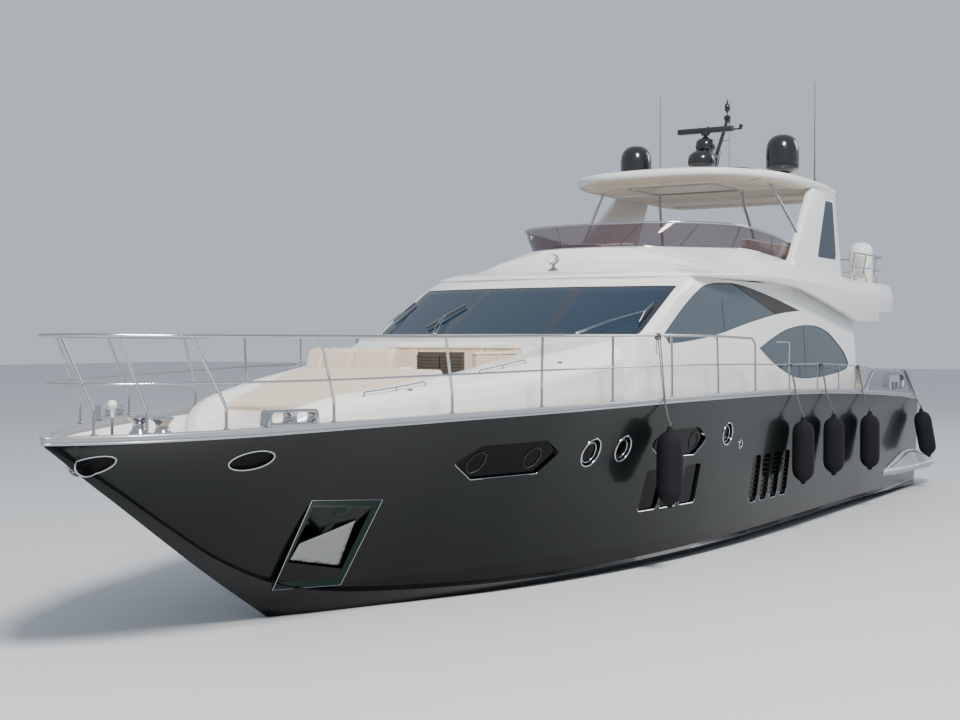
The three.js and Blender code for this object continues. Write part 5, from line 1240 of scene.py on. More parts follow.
FIN = [(2.91, 3.73), (1.96, 4.24), (1.17, 4.57), (0.7, 4.65), (0.19, 4.68), (-0.53, 4.68), (-1.38, 4.6),
    (-2.53, 4.45), (-3.86, 4.25), (-2.53, 4.16), (-0.91, 3.97), (0.72, 3.74), (2.12, 3.62), (2.76, 3.59)]
LEAF = [(-1.34, 3.5), (-2.15, 3.71), (-2.97, 3.87), (-4.1, 3.96), (-4.98, 3.93), (-5.6, 3.81), (-6.08, 3.63),
    (-6.6, 3.39), (-6.89, 3.15), (-6.75, 3.04), (-6.38, 2.98), (-4.82, 2.88), (-3.3, 2.91), (-2.11, 3.19)]
SCREEN = [(-2.54, 3.745), (2.54, 3.745), (2.515, 4.57), (-2.515, 4.57)]


def window_curve(points, corners):
    """Smooth outline that keeps the named corners sharp."""
    out = []
    marks = sorted(corners)
    for a, b in zip(marks, marks[1:] + [marks[0] + len(points)]):
        run = [points[k % len(points)] for k in range(a, b + 1)]
        out += spline(run, 6)[:-1]
    return out


fin_outline = window_curve(FIN, (0, 8, 13))
leaf_outline = window_curve(LEAF, (0, 8))
screen_outline = rounded(SCREEN, 0.05)
shell = new_piece("saloon_moulding", shell_form(0), gelcoat, replaces="saloon_shell")
window_tools = [shell_form(WALL, 0.05), prism_x(screen_outline, 1, 5)]
window_tools += [prism_y(o, -4, 4) for o in (fin_outline, leaf_outline)]
combine(shell, window_tools)
smoothed(shell, 28)

# Panes with their dark printed borders and mullions, and painted shade of the overhang on each fin pane
glass = Finish("tinted_glass", "tinted_glass", (0.012, 0.027, 0.05), 0.03, 0.0, Specular_IOR_Level=0.35,
    Alpha=0.88)
glass.rough(2.0, 0.02, 0.05)
side_glass = Finish("side_glass", "tinted_glass", (0.06, 0.08, 0.1), 0.05, 0.0, IOR=1.5, Alpha=0.9)
side_glass.rough(2.0, 0.03, 0.07)
# Painted shade: a dark brown sheet laid on the fin glass where the upper deck's overhang shades it.
painted_overhang_shade = Finish("painted_overhang_shade_on_glass", "tinted_glass", (0.03, 0.027, 0.024), 0.4, 0.0, Specular_IOR_Level=0.2)
painted_overhang_shade.relief(120.0, 0.0006, 0.3)
print_black = Finish("printed_border", "tinted_glass", (0.012, 0.016, 0.026), 0.06)
print_black.rough(3.0, 0.05, 0.09)


def pane(name, outline, across, node, finish, thick=(0.014, 0.032)):
    """Pane cut out of the shell's own surface; across is the prism through it."""
    piece = new_piece(name, shell_form(thick[0]), finish, replaces=[node] if node else ())
    combine(piece, [shell_form(thick[1], 0.02)])
    combine(piece, [across(outline)], "INTERSECT")
    smoothed(piece, 25)
    return piece


def fitted(outline, gap=0.002):
    centre = np.mean(np.array(outline), axis=0)
    return [tuple(centre + (np.array(p) - centre) * (1 - gap)) for p in outline]


pane("windscreen_glass", fitted(screen_outline), lambda o: prism_x(o, 1, 5), "windscreen", glass)
for side, label in ((1, "port"), (-1, "starboard")):
    across = (lambda o: prism_y(o, 1, 4)) if side > 0 else (lambda o: prism_y(o, -4, -1))
    pane("fin_glass_" + label, fitted(fin_outline), across, "fin_window_" + label, side_glass)
    pane("leaf_glass_" + label, fitted(leaf_outline), across, "leaf_window_" + label, side_glass)
    # Outline of the painted shade cast by the overhang across the top of the fin pane.
    shade = [(-0.14, 4.72), (-1.4, 4.66), (-2.55, 4.51), (-3.88, 4.3), (-3.88, 4.2), (-2.6, 4.12),
        (-1.6, 4.36)]
    pane("fin_painted_shade_" + label, shade, across, None, painted_overhang_shade, (0.006, 0.013))
border_tools = []
# Borders and mullions: left and right edge at the foot, left and right edge at the head
for a, b, c, d in ((-2.545, -2.42, -2.525, -2.4), (-0.9, -0.74, -0.98, -0.82), (0.98, 1.18, 0.76, 0.95),
        (2.42, 2.545, 2.4, 2.525)):
    border_tools.append(prism_x([(a, 3.74), (b, 3.74), (d, 4.575), (c, 4.575)], 1, 5))
border_tools.append(prism_x(oblong(-2.42, 2.42, 4.535, 4.575), 1, 5))
border_tools.append(prism_x(oblong(-2.42, 2.42, 3.74, 3.775), 1, 5))
for k, part in enumerate(border_tools):
    pane("screen_border_" + str(k), part, lambda o: o, None, print_black, (0.0115, 0.0138))
trim_parts = []


def shell_y(x, z):
    """Half breadth of the shell's side."""
    plan = shell_plan(z, 0)
    side = [p for p in plan if p[1] > 2.3][::-1]
    return float(np.interp(x, [p[0] for p in side], [p[1] for p in side]))


for outline in (fin_outline, leaf_outline):
    loop = [(x, shell_y(x, z) - 0.01, z) for x, z in outline]
    trim_parts.append(tube(loop, 0.009, 6, closed=True))
trim_parts.append(tube([(0.28, shell_y(0.28, z) - 0.012, z) for z in (3.83, 4.0, 4.3, 4.66)], 0.004, 6))
trim_parts.append(tube([(-4.0, shell_y(-4.0, z) - 0.012, z) for z in (2.9, 3.2, 3.6, 3.95)], 0.004, 6))
rubber = Finish("black_rubber", "black_plastic", (0.008, 0.008, 0.009), 0.55)
rubber.relief(200.0, 0.0005, 0.4)
new_piece("window_seals", both(trim_parts), rubber)

# Wipers: steel twin arms from spindles under the screen, with black blades
wiper_parts, blade_parts = [], []


def screen_point(y, z, lift):
    """Point on the windscreen at a height, lifted off the glass."""
    plan = shell_plan(z, 0)
    front = [p for p in plan if p[0] > 1.2]
    x = float(np.interp(abs(y), [p[1] for p in front], [p[0] for p in front]))
    return np.array((x + lift * 0.44, y, z + lift * 0.9))


# Columns: foot, arm's end, and both ends of the blade, as places across and up the screen
for foot_y, end, high, low in ((-2.36, (-2.42, 4.12), (-2.41, 4.3), (-2.46, 3.96)),
        (-0.96, (-1.16, 4.03), (-1.0, 4.23), (-1.31, 3.84)), (1.66, (2.4, 4.08), (2.42, 4.22), (2.44, 3.9))):
    base, top = screen_point(foot_y, 3.72, 0.03), screen_point(*end, 0.055)
    high, low = screen_point(*high, 0.03), screen_point(*low, 0.03)
    wiper_parts.append(lathe([(0.035, -0.05), (0.035, 0.01), (0.02, 0.03), (0, 0.035)], base[0], base[1],
        base[2], 20))
    for s in (-0.035, 0.035):
        start = base + np.array((0, s, 0.02))
        middle = (base + top) / 2 + np.array((0.02, s, 0.03))
        wiper_parts.append(tube([start, middle, top + np.array((0, s * 0.4, 0))], 0.006, 6))
    blade_parts.append(tube([low, (low + high) / 2 + np.array((0.004, 0, 0.008)), high], 0.014, 6))
    wiper_parts.append(tube([low + np.array((0.01, 0, 0.02)), top, high + np.array((0.01, 0, 0.02))], 0.006,
        6))
new_piece("wiper_arms", wiper_parts, steel)
new_piece("wiper_blades", blade_parts, rubber)


# Saloon inside
# Seen dimly through the glass: veneered dash with two screens and wheel, helm chair, sofa, sideboard;
# the aft wall is a steel frame with fixed panes and a sliding glass door.
FLOOR = DECK_Z + 0.0005
joinery = Finish("satin_veneer", "interior_joinery", (0.16, 0.1, 0.065), 0.35)
veneer = joinery.noise(4.0, 6.0, joinery.place((1, 10, 10)))
joinery.feed("Base Color", joinery.between(veneer, (0.22, 0.14, 0.09), (0.12, 0.075, 0.05)))
joinery.rough(veneer, 0.28, 0.45)
joinery.bump(veneer, 0.0008, 0.3)
dash_side = [(2.36, FLOOR), (3.8, FLOOR), (3.8, 3.6), (3.6, 3.65), (2.75, 3.62), (2.36, 3.45)]
pod_side = [(1.7, FLOOR), (2.35, FLOOR), (2.35, 3.44), (2.05, 3.45), (1.72, 3.15)]
dash = [prism_y(rounded(dash_side, 0.03, 3), -2.19, 2.19), prism_y(rounded(pod_side, 0.03, 3), -1.5, -0.3)]
new_piece("saloon_dash", dash, joinery, replaces="helm_console", ease=0.01)
display = Finish("dark_display", "black_plastic", (0.004, 0.005, 0.007), 0.08)
display.rough(5.0, 0.06, 0.1)
screens = [cushion(1.76, 1.8, y - 0.22, y + 0.22, 3.2, 3.46, 0.01, 0, 0, 2) for y in (-1.18, -0.62)]
new_piece("dash_displays", screens, display)


def wheel_part(cx, cy, cz, radius, tilt):
    """Steering wheel with three spokes, its axis leaning back."""
    axis = np.array((-cos(tilt), 0, sin(tilt)))
    up = np.array((sin(tilt), 0, cos(tilt)))
    across = np.array((0, 1.0, 0))
    centre = np.array((cx, cy, cz))
    ring = [centre + radius * (up * cos(a) + across * sin(a)) for a in turns(40)]
    parts = [tube(ring, 0.014, 10, closed=True), tube([centre + axis * 0.02, centre - axis * 0.1],
        [0.05, 0.035], 16)]
    for a in (0.0, 2.09, 4.19):
        tip = centre + radius * (up * cos(a) + across * sin(a))
        parts.append(tube([centre, tip], 0.01, 8))
    return parts


new_piece("saloon_wheel", wheel_part(1.62, -0.9, 3.12, 0.19, 0.5), rubber)


def pedestal_chair(name, x, y, z, node):
    stem = lathe([(0.17, 0), (0.17, 0.012), (0.155, 0.02), (0.06, 0.035), (0.055, 0.06), (0.05, 0.49)], x, y,
        z, 32)
    new_piece(name + "_pedestal", stem, steel)
    seat = (x - 0.275, x + 0.275, y - 0.285, y + 0.285, z + 0.49, z + 0.625)
    back = (x - 0.295, x - 0.175, y - 0.265, y + 0.265, z + 0.63, z + 1.24)
    cushions(name, [seat, back], node, r=0.05, crown=0.015)
    arms = [cushion(x - 0.17, x + 0.16, s - 0.03, s + 0.03, z + 0.79, z + 0.84, 0.02, 0, 0, 3)
        for s in (y - 0.255, y + 0.255)]
    posts = [tube([(x - 0.05, s, z + 0.6), (x - 0.05, s, z + 0.8)], 0.012, 8) for s in (y - 0.255, y + 0.255)]
    new_piece(name + "_arms", arms + posts, rubber)


pedestal_chair("helm_chair", 1.05, -0.9, FLOOR, "helm_seat")


def sofa(name, x0, x1, y0, y1, z, back, node, count, along="x"):
    """Sofa on a plinth: seat cushions in a row and back cushions on one side (back is its y or x band)."""
    plinth = cushion(x0 + 0.03, x1 - 0.03, y0 + 0.03, y1 - 0.005, z, z + 0.27, 0.02, 0, 0, 3)
    new_piece(name + "_plinth", plinth, gelcoat)
    blocks = []
    edges = np.linspace(x0, x1, count + 1) if along == "x" else np.linspace(y0, y1, count + 1)
    for a, b in zip(edges, edges[1:]):
        if along == "x":
            blocks.append((a + 0.003, b - 0.003, y0, back[0] - 0.004, z + 0.272, z + 0.42))
            blocks.append((a + 0.003, b - 0.003, back[0], back[1], z + 0.272, z + 0.79))
        else:
            blocks.append((back[1] + 0.004, x1, a + 0.003, b - 0.003, z + 0.272, z + 0.42))
            blocks.append((back[0], back[1], a + 0.003, b - 0.003, z + 0.272, z + 0.79))
    cushions(name, blocks, node, r=0.045, crown=0.02)


sofa("saloon_sofa", -5.6, -2.4, 1.5, 2.52, FLOOR, (2.3, 2.52), "saloon_sofa_port", 4)
cabinet = [cushion(-6.0, -2.2, -2.5, -1.97, FLOOR, 3.15, 0.01, 0, 0, 3), cushion(-6.0, -2.2, -2.5, -1.951,
    3.152, 3.18, 0.008, 0, 0, 3)]
for x in np.linspace(-5.98, -2.9, 5):
    cabinet.append(cushion(x, x + 0.7, -1.968, -1.953, FLOOR + 0.06, 3.1, 0.005, 0, 0, 2))
new_piece("saloon_sideboard", cabinet, joinery, replaces="saloon_cabinet")

AFT_X = (SHELL_AFT_X + 0.004, SHELL_AFT_X + 0.074)
inner = [(DECK_Z + 0.001, 2.708), (3.69, 2.653), (4.736, 2.528)]
wall_outline = [(y, z) for z, y in inner] + [(-y, z) for z, y in reversed(inner)]
aft_wall = new_piece("aft_wall_frame", prism_x(wall_outline, *AFT_X), cap_silver,
    replaces="aft_wall")
holes = [(-0.62, 0.62, DECK_Z + 0.03), (-2.2, -0.82, DECK_Z + 0.26), (0.82, 2.2, DECK_Z + 0.26)]
combine(aft_wall, [prism_x(rounded(oblong(a, b, z, 4.35), 0.02, 3), -8, -7) for a, b, z in holes])
eased(aft_wall, 0.006, 2, 50)
smoothed(aft_wall, 40)
for label, a, b in (("port", 0.815, 2.205), ("starboard", -2.205, -0.815)):
    new_piece("aft_pane_" + label, box(AFT_X[0] + 0.03, AFT_X[0] + 0.042, a, b, DECK_Z + 0.255, 4.355),
        side_glass)
runner = cushion(AFT_X[1] - 0.02, AFT_X[1] + 0.048, -1.9, 0.68, DECK_Z + 0.0008, DECK_Z + 0.0075, 0.003, 0,
    0, 2)
new_piece("door_runner", runner, steel)
door_x = AFT_X[1] + 0.008
door_frame = new_piece("sliding_door_frame", box(door_x, door_x + 0.04, -0.68, 0.68, DECK_Z + 0.0085, 4.41),
    cap_silver, "door", replaces="saloon_door")
combine(door_frame, [prism_x(rounded(oblong(-0.62, 0.62, DECK_Z + 0.08, 4.34), 0.02, 3), -8, -7)])
eased(door_frame, 0.005, 2, 50)
smoothed(door_frame, 40)
new_piece("sliding_door_glass", box(door_x + 0.014, door_x + 0.026, -0.625, 0.625, DECK_Z + 0.075, 4.345),
    side_glass, body="door")
pull = [(door_x - 0.004, 0.6, 3.0), (door_x - 0.03, 0.6, 3.0), (door_x - 0.03, 0.6, 3.35),
    (door_x - 0.004, 0.6, 3.35)]
pull = [(x + 0.078, y, z) for x, y, z in pull]
new_piece("sliding_door_pull", tube(rounded(pull, 0.01, 3, closed=False), 0.008, 8), steel, body="door")


# Upper deck moulding
# One white moulding: brow over the windscreen, coaming, floor and the overhanging wings that end in
# a step. Columns: x, crown z, shoulder y, shoulder z, edge y, edge z, fascia foot z
FLY = np.array([
    (2.03, 4.752, 0.3, 4.751, 0.45, 4.748, 4.742), (1.985, 4.78, 0.8, 4.772, 0.95, 4.752, 4.742),
    (1.86, 4.825, 1.45, 4.81, 1.68, 4.756, 4.742),
    (1.7, 4.865, 1.66, 4.84, 2.18, 4.762, 4.742), (1.46, 4.91, 1.72, 4.88, 2.6, 4.78, 4.742),
    (1.1, 4.975, 1.7, 4.925, 2.74, 4.8, 4.742), (0.8, 5.05, 1.6, 4.975, 2.78, 4.81, 4.743),
    (0.55, 5.21, 1.2, 5.11, 2.8, 4.82, 4.744), (0.4, 5.374, 0.88, 5.35, 2.815, 4.825, 4.745),
    (0.1, 5.385, 1.28, 5.372, 2.84, 4.835, 4.747),
    (-0.35, 5.39, 1.68, 5.375, 2.855, 4.848, 4.749), (-0.9, 5.395, 2.03, 5.385, 2.87, 4.855, 4.755),
    (-1.5, 5.4, 2.29, 5.395, 2.89, 4.86, 4.77),
    (-2.3, 5.36, 2.42, 5.365, 2.905, 4.855, 4.735), (-3.06, 5.31, 2.48, 5.31, 2.92, 4.85, 4.7),
    (-4.83, 5.17, 2.56, 5.17, 2.94, 4.8, 4.47),
    (-6.2, 5.08, 2.65, 5.08, 2.95, 4.74, 4.25), (-7.35, 5.02, 2.74, 5.02, 2.95, 4.7, 4.08),
    (-8.8, 5.0, 2.79, 5.0, 2.94, 4.7, 4.1),
    (-8.85, 5.0, 2.79, 5.0, 2.94, 4.7, 4.29), (-10.08, 4.99, 2.76, 4.99, 2.9, 4.68, 4.33),
    (-10.26, 4.93, 2.7, 4.93, 2.86, 4.66, 4.42),
])[::-1]
FLY_FLOOR = 4.84
FLY_WELL = [(0.25, 0), (0.15, 0.56), (-0.06, 1.06), (-0.48, 1.46), (-1.05, 1.77), (-1.56, 2.07),
    (-2.32, 2.24), (-3.7, 2.34), (-5.0, 2.43), (-7.3, 2.59), (-10.12, 2.64)]
FLY_HATCH = (-9.4, -7.9, -2.05, -1.25)


def fly_section(x):
    crown, shoulder_y, shoulder_z, edge_y, edge_z, foot_z = (fair(FLY, x, c) for c in range(1, 7))
    corners = [
        (edge_y - 0.03, foot_z), (edge_y, edge_z), ((edge_y + shoulder_y) / 2 + 0.025,
        (edge_z + shoulder_z) / 2 + 0.04),
        (shoulder_y, shoulder_z), (shoulder_y * 0.5, (shoulder_z + crown) / 2 + 0.01 * (crown > shoulder_z)),
        (0.0, crown),
    ]
    soft = min(1.0, (2.07 - x) / 0.6)
    return rounded(corners, [0, 0.045 * soft, 0.4 * soft, 0.22 * soft, 0.5 * soft, 0], 6, closed=False)


fly_rings = []
fly_xs = sorted({*np.arange(2.03, 0.2, -0.045), *np.arange(0.2, -8.8, -0.15), -8.8, -8.85,
    *np.arange(-8.95, -10.0, -0.15), -10.08, -10.14, -10.2, -10.24, -10.26}, reverse=True)
for x in fly_xs:
    pull = {-10.2: 0.006, -10.24: 0.02, -10.26: 0.045}.get(x, 0.0)
    half = [(x, y - pull * (y > 0.1), z - pull * 0.6 * (z > 4.7)) for y, z in fly_section(x)]
    fly_rings.append(half + flipped(half[:-1]))
fly = new_piece("upper_deck_moulding", skin(fly_rings), gelcoat, replaces="fly_deck")
well_half = spline([(0.15, -0.56), *FLY_WELL[:9]], 6)[6:] + FLY_WELL[9:]
well_outline = well_half + flipped(well_half[1:])
underside = box(-10.5, 3.0, -2.8, 2.8, 3.9, 4.7403)
hatch = box(FLY_HATCH[0], FLY_HATCH[1], FLY_HATCH[2], FLY_HATCH[3], 4.5, 5.2)
combine(fly, [prism_z(well_outline, FLY_FLOOR, 6.0), underside, hatch])
eased(fly, 0.01, 2, 55)
smoothed(fly, 32)

# Bleached teak laid on the upper deck floor, round the stair hatch
inner_outline = [(x - 0.03 if x > -10 else x + 0.03, y - 0.03) for x, y in well_half]
teak_outline = inner_outline + flipped(inner_outline[1:])
fly_teak = new_piece("upper_deck_teak", prism_z(teak_outline, FLY_FLOOR + 0.0002, FLY_FLOOR + 0.0004),
    pale_teak)
combine(fly_teak, [box(FLY_HATCH[0] - 0.02, FLY_HATCH[1] + 0.02, FLY_HATCH[2] - 0.02, FLY_HATCH[3] + 0.02,
    4.5, 5.2)])

# Searchlight on the brow, on a steel foot; deckhead lights under the overhang
lamp_x, lamp_y = 1.42, -0.14
lamp_z = surface_z(fly, lamp_x, lamp_y)


def at_lamp(dx, dy, dz):
    return (lamp_x + dx, lamp_y + dy, lamp_z + dz)


searchlight = [
    lathe([(0.1, -0.02), (0.1, 0.01), (0.07, 0.03), (0.035, 0.05), (0.03, 0.13)], lamp_x, lamp_y, lamp_z, 28),
    tube([at_lamp(-0.09, 0, 0.19), at_lamp(-0.05, 0, 0.2), at_lamp(0.08, 0, 0.21), at_lamp(0.1, 0, 0.21)],
         [0.05, 0.085, 0.095, 0.085], 28),
    tube([at_lamp(0, -0.11, 0.2), at_lamp(0, -0.07, 0.12), at_lamp(0, 0.07, 0.12), at_lamp(0, 0.11, 0.2)],
    0.012, 8),
]
new_piece("searchlight", searchlight, steel)
lens = Finish("lamp_lens", "white_gelcoat", (0.85, 0.86, 0.86), 0.1, 0.0, IOR=1.45)
lens.relief(60.0, 0.001, 0.5)
spot_parts = [tube([at_lamp(0.098, 0, 0.21), at_lamp(0.106, 0, 0.21)], [0.082, 0.076], 28)]
for x in (-8.2, -9.2):
    for y in (-2.3, -0.9, 0.9, 2.3):
        spot_parts.append(lathe([(0.045, 0.0), (0.045, -0.006), (0.035, -0.01), (0, -0.01)], x, y, 4.7402,
            20))
new_piece("lamp_lenses", spot_parts, lens)


# Upper windshield
# Smoked acrylic that flares outwards, in a steel top rail on thin stanchions, set on the coaming.
# Foot and head points of the port side, bow centre last.
SHIELD_FOOT = [(-4.35, 2.44), (-3.7, 2.428), (-3.06, 2.405), (-2.3, 2.345), (-1.5, 2.18), (-0.98, 1.88),
    (-0.4, 1.57), (0.03, 1.13), (0.23, 0.6), (0.33, 0)]
SHIELD_HEAD = [(-4.55, 2.4, 5.56), (-3.8, 2.39, 5.68), (-3.1, 2.37, 5.75), (-2.3, 2.35, 5.805),
    (-1.6, 2.29, 5.84), (-1.05, 2.12, 5.85), (-0.62, 1.86, 5.85), (-0.3, 1.46, 5.85), (-0.09, 0.9, 5.85),
    (-0.02, 0, 5.85)]
foot_line = spline(SHIELD_FOOT + flipped(SHIELD_FOOT[:-1]), 6)
head_line = spline(SHIELD_HEAD + flipped(SHIELD_HEAD[:-1]), 6)
foot_line = [(x, y, surface_z(fly, x, y)) for x, y in foot_line]
smoked = Finish("smoked_acrylic", "smoked_acrylic", (0.06, 0.034, 0.046), 0.05, 0.0, IOR=1.49, Alpha=0.52)
smoked.rough(3.0, 0.03, 0.08)
shield_rings = []
for low, high in zip(foot_line, head_line):
    low, high = np.array(low), np.array(high)
    low[2] += 0.014
    high = high + (low - high) * 0.05
    inward = np.array((-1.6 - low[0], -low[1], 0.0)) if low[0] > -1.6 else np.array((0, -np.sign(low[1]),
        0.0))
    inward = inward / np.linalg.norm(inward) * 0.012
    bulge = -inward * 1.6
    shield_rings.append([low, (low + high) / 2 + bulge, high, high + inward,
        (low + high) / 2 + bulge + inward, low + inward])
new_piece("windshield_panes", skin([[tuple(p) for p in r] for r in shield_rings]), smoked,
    replaces="fly_windshield")
frame_parts = [tube(head_line, 0.02, 12), tube([(x, y, z + 0.01) for x, y, z in foot_line], 0.011, 8)]
for k in (0, 12, 24, 36, 48, 60, 72, 84, 96, 108):
    low, high = np.array(foot_line[k]), np.array(head_line[k])
    inward = np.array((-1.6 - low[0], -low[1], 0.0)) if low[0] > -1.6 else np.array((0, -np.sign(low[1]),
        0.0))
    inward = inward / np.linalg.norm(inward) * 0.028
    base = low + inward
    base[2] = surface_z(fly, base[0], base[1])
    frame_parts.append(tube([base, base + (0, 0, 0.03), high + inward * 0.6 - (0, 0, 0.02), high], 0.011, 8))
    frame_parts.append(tube([base, base + (0, 0, 0.012)], 0.026, 16))
new_piece("windshield_frame", frame_parts, steel, replaces="fly_frame")


# Upper deck furniture
# Helm with wheel and instruments, two helm seats, an L of sofas beside a teak table, a wet bar and a
# canister; all screwed to the upper deck.
UPPER_Z = FLY_FLOOR + 0.0008
helm_side = [(-0.9, UPPER_Z), (-0.15, UPPER_Z), (-0.15, 5.3), (-0.36, 5.5), (-0.62, 5.495), (-0.88, 5.2)]
new_piece("upper_helm", prism_y(rounded(helm_side, 0.05, 4), -1.1, -0.2), wood_dark,
    replaces="fly_helm", ease=0.02)
new_piece("upper_helm_wheel", wheel_part(-0.86, -0.65, 5.28, 0.19, 0.6), rubber)
gauges = [cushion(-0.78, -0.755, y - 0.17, y + 0.17, 5.32, 5.5, 0.008, 0, 0, 2) for y in (-0.9, -0.4)]
gauges = [([(x - (z - 5.4) * -0.75, y, z) for x, y, z in part[0]], part[1]) for part in gauges]
new_piece("upper_helm_displays", gauges, display)
sofa("upper_helm_seat", -2.3, -1.75, -1.55, -0.25, UPPER_Z, (-2.3, -2.15), "fly_helm_seat", 2, along="y")
plinths = [cushion(-5.37, -2.23, 1.59, 2.175, UPPER_Z, UPPER_Z + 0.27, 0.02, 0, 0, 3),
    cushion(-5.97, -5.4, 0.63, 2.185, UPPER_Z, UPPER_Z + 0.27, 0.02, 0, 0, 3)]
new_piece("upper_sofa_plinth", plinths, gelcoat)
blocks = []
for a, b in zip(np.linspace(-5.38, -2.2, 5), np.linspace(-5.38, -2.2, 5)[1:]):
    blocks.append((a + 0.003, b - 0.003, 1.56, 2.02, UPPER_Z + 0.272, UPPER_Z + 0.42))
    blocks.append((a + 0.003, b - 0.003, 2.035, 2.18, UPPER_Z + 0.272, UPPER_Z + 0.79))
for a, b in ((0.6, 1.38), (1.384, 2.185)):
    blocks.append((-5.84, -5.386, a, b, UPPER_Z + 0.272, UPPER_Z + 0.42))
    blocks.append((-6.0, -5.855, a, b, UPPER_Z + 0.272, UPPER_Z + 0.79))
cushions("upper_sofa", blocks, "fly_sofa", r=0.045, crown=0.02)
teak = Finish("weathered_teak", "teak", (0.34, 0.29, 0.24), 0.55)
teak_grain = teak.noise(5.0, 6.0, teak.place((0.8, 14, 14)))
teak_strip = teak.axis("Y") % 0.055
teak_colour = teak.between(teak_grain, (0.4, 0.34, 0.28), (0.27, 0.23, 0.19))
teak.feed("Base Color", teak.between(teak_strip < 0.005, teak_colour, (0.03, 0.028, 0.026)))
teak.rough(teak_grain, 0.45, 0.7)
teak.bump(teak_grain * 0.3 + (teak_strip > 0.005), 0.002, 0.5)


def table_set(name, x, y, z, height, outline, node):
    foot = lathe([(0.22, 0.0), (0.22, 0.012), (0.2, 0.022), (0.075, 0.05), (0.06, 0.08),
        (0.055, height - 0.09), (0.1, height - 0.055), (0.16, height - 0.04)], x, y, z, 36)
    new_piece(name + "_pedestal", foot, steel)
    top = prism_z(rounded(outline, 0.08, 5), z + height - 0.04, z + height)
    new_piece(name + "_top", top, teak, replaces=node, ease=0.01)


fly_table_outline = [(-5.0, 0.5), (-3.6, 0.5), (-3.5, 0.62), (-3.5, 1.18), (-3.6, 1.3), (-5.0, 1.3),
    (-5.1, 1.18), (-5.1, 0.62)]
table_set("upper_table", -4.3, 0.9, UPPER_Z, 0.71, fly_table_outline, "fly_table")
bar_parts = [cushion(-5.6, -4.0, -2.25, -1.72, UPPER_Z, 5.68, 0.03, 0, 0, 4),
    cushion(-5.62 + 0.02, -4.0, -2.25, -1.7, 5.682, 5.72, 0.012, 0, 0, 4)]
for a in (-5.55, -5.02, -4.49):
    bar_parts.append(cushion(a, a + 0.44, -1.722, -1.708, UPPER_Z + 0.08, 5.6, 0.006, 0, 0, 2))
new_piece("wet_bar", bar_parts, gelcoat, replaces="fly_bar")
tap_part = [(-4.5, -2.05, 5.72), (-4.5, -2.05, 5.98), (-4.5, -1.93, 6.02), (-4.5, -1.9, 5.95)]
new_piece("wet_bar_tap", tube(rounded(tap_part, 0.05, 4, closed=False), 0.012, 10), steel)

# White canister with a domed lid in the aft port corner
canister = lathe([(0.24, 0.0), (0.245, 0.02), (0.272, 0.06), (0.274, 0.08), (0.274, 0.87), (0.28, 0.875),
    (0.28, 0.9), (0.272, 0.905), (0.266, 0.96), (0.24, 1.03), (0.19, 1.09), (0.12, 1.13), (0.04, 1.142),
    (0, 1.143)], -9.4, 2.32, UPPER_Z, 48)
new_piece("domed_canister", canister, gelcoat, replaces="canister")


# Hardtop
# White moulding with a rounded rim, cream lined underneath with sunk panels and an open sun roof; it
# stands on two raking legs with dark windows, a steel strut before each and two bent inner posts.
HARDTOP = [(-2.2, 0.5), (-2.33, 1.22), (-2.7, 1.74), (-3.25, 2.08), (-4.0, 2.32), (-5.5, 2.4), (-7.0, 2.32),
    (-8.0, 2.18), (-8.32, 1.98), (-8.38, 1.5)]
ROOF_EDGE = 7.08
ROOF_TOP = ROOF_EDGE + 0.13
# Rings: distance in from the edge, height over the edge, slope of the aft fall
ROOF_RINGS = [(0.34, -0.19, 0.048), (0.2, -0.175, 0.048), (0.055, -0.14, 0.048), (0.03, -0.128, 0.048),
    (0.008, -0.095, 0.048), (0.0, -0.045, 0.048), (0.006, -0.01, 0.048), (0.026, 0.012, 0.048),
    (0.12, 0.038, 0.046), (0.33, 0.08, 0.04), (0.6, 0.115, 0.018), (0.9, 0.13, 0.0)]
SUN_ROOF = (-4.98, -3.4, 1.0)


def roof_fall(x, slope=0.03):
    return max(0.0, -7.0 - x) * slope


def roof_plan(d):
    half = []
    for x, y in spline([(-2.2, -0.5), *HARDTOP, (-8.38, -1.5)], 7)[7:-7]:
        sign = -1 if x > -5 else 1
        half.append((x + sign * d * (x > -3.3 or x < -7.5), y - d))
    return half + flipped(half)


roof_rings = [[(x, y, ROOF_EDGE + h - roof_fall(x, fall)) for x, y in roof_plan(inset)] for inset, h,
    fall in ROOF_RINGS]
cream = Finish("cream_headliner", "white_gelcoat", (0.74, 0.69, 0.61), 0.5)
cream.rough(12.0, 0.42, 0.58)
cream.relief(90.0, 0.001, 0.3)
roof = new_piece("hardtop_moulding", skin(roof_rings), [gelcoat, cream], replaces="hardtop")
sun_outline = rounded(oblong(SUN_ROOF[0], SUN_ROOF[1], -SUN_ROOF[2], SUN_ROOF[2]), 0.12, 6)
roof_tools = [prism_z(sun_outline, 6.5, 7.6)]
for a, b, c, d in ((-3.15, -2.55, -1.35, 1.35), (-4.9, -3.4, 1.16, 2.05), (-4.9, -3.4, -2.05, -1.16),
        (-6.6, -5.2, -2.0, -0.1), (-6.6, -5.2, 0.1, 2.0), (-7.9, -6.85, -1.8, 1.8)):
    panel_z = ROOF_EDGE - 0.165 - roof_fall((a + b) / 2)
    roof_tools.append(prism_z(rounded(oblong(a, b, c, d), 0.1, 5), 6.5, panel_z))
combine(roof, roof_tools)
eased(roof, 0.008, 2, 50)
for face in roof.data.polygons:
    x, y, z = face.center
    face.material_index = 1 if z < ROOF_EDGE - 0.135 - roof_fall(x) and face.normal.z < -0.3 else 0
smoothed(roof, 32)
rail_parts = []
for h, r in ((-0.188, 0.018), (0.115, 0.02)):
    rail_parts.append(tube([(x, y, ROOF_EDGE + h) for x, y in sun_outline], r, 8, closed=True))
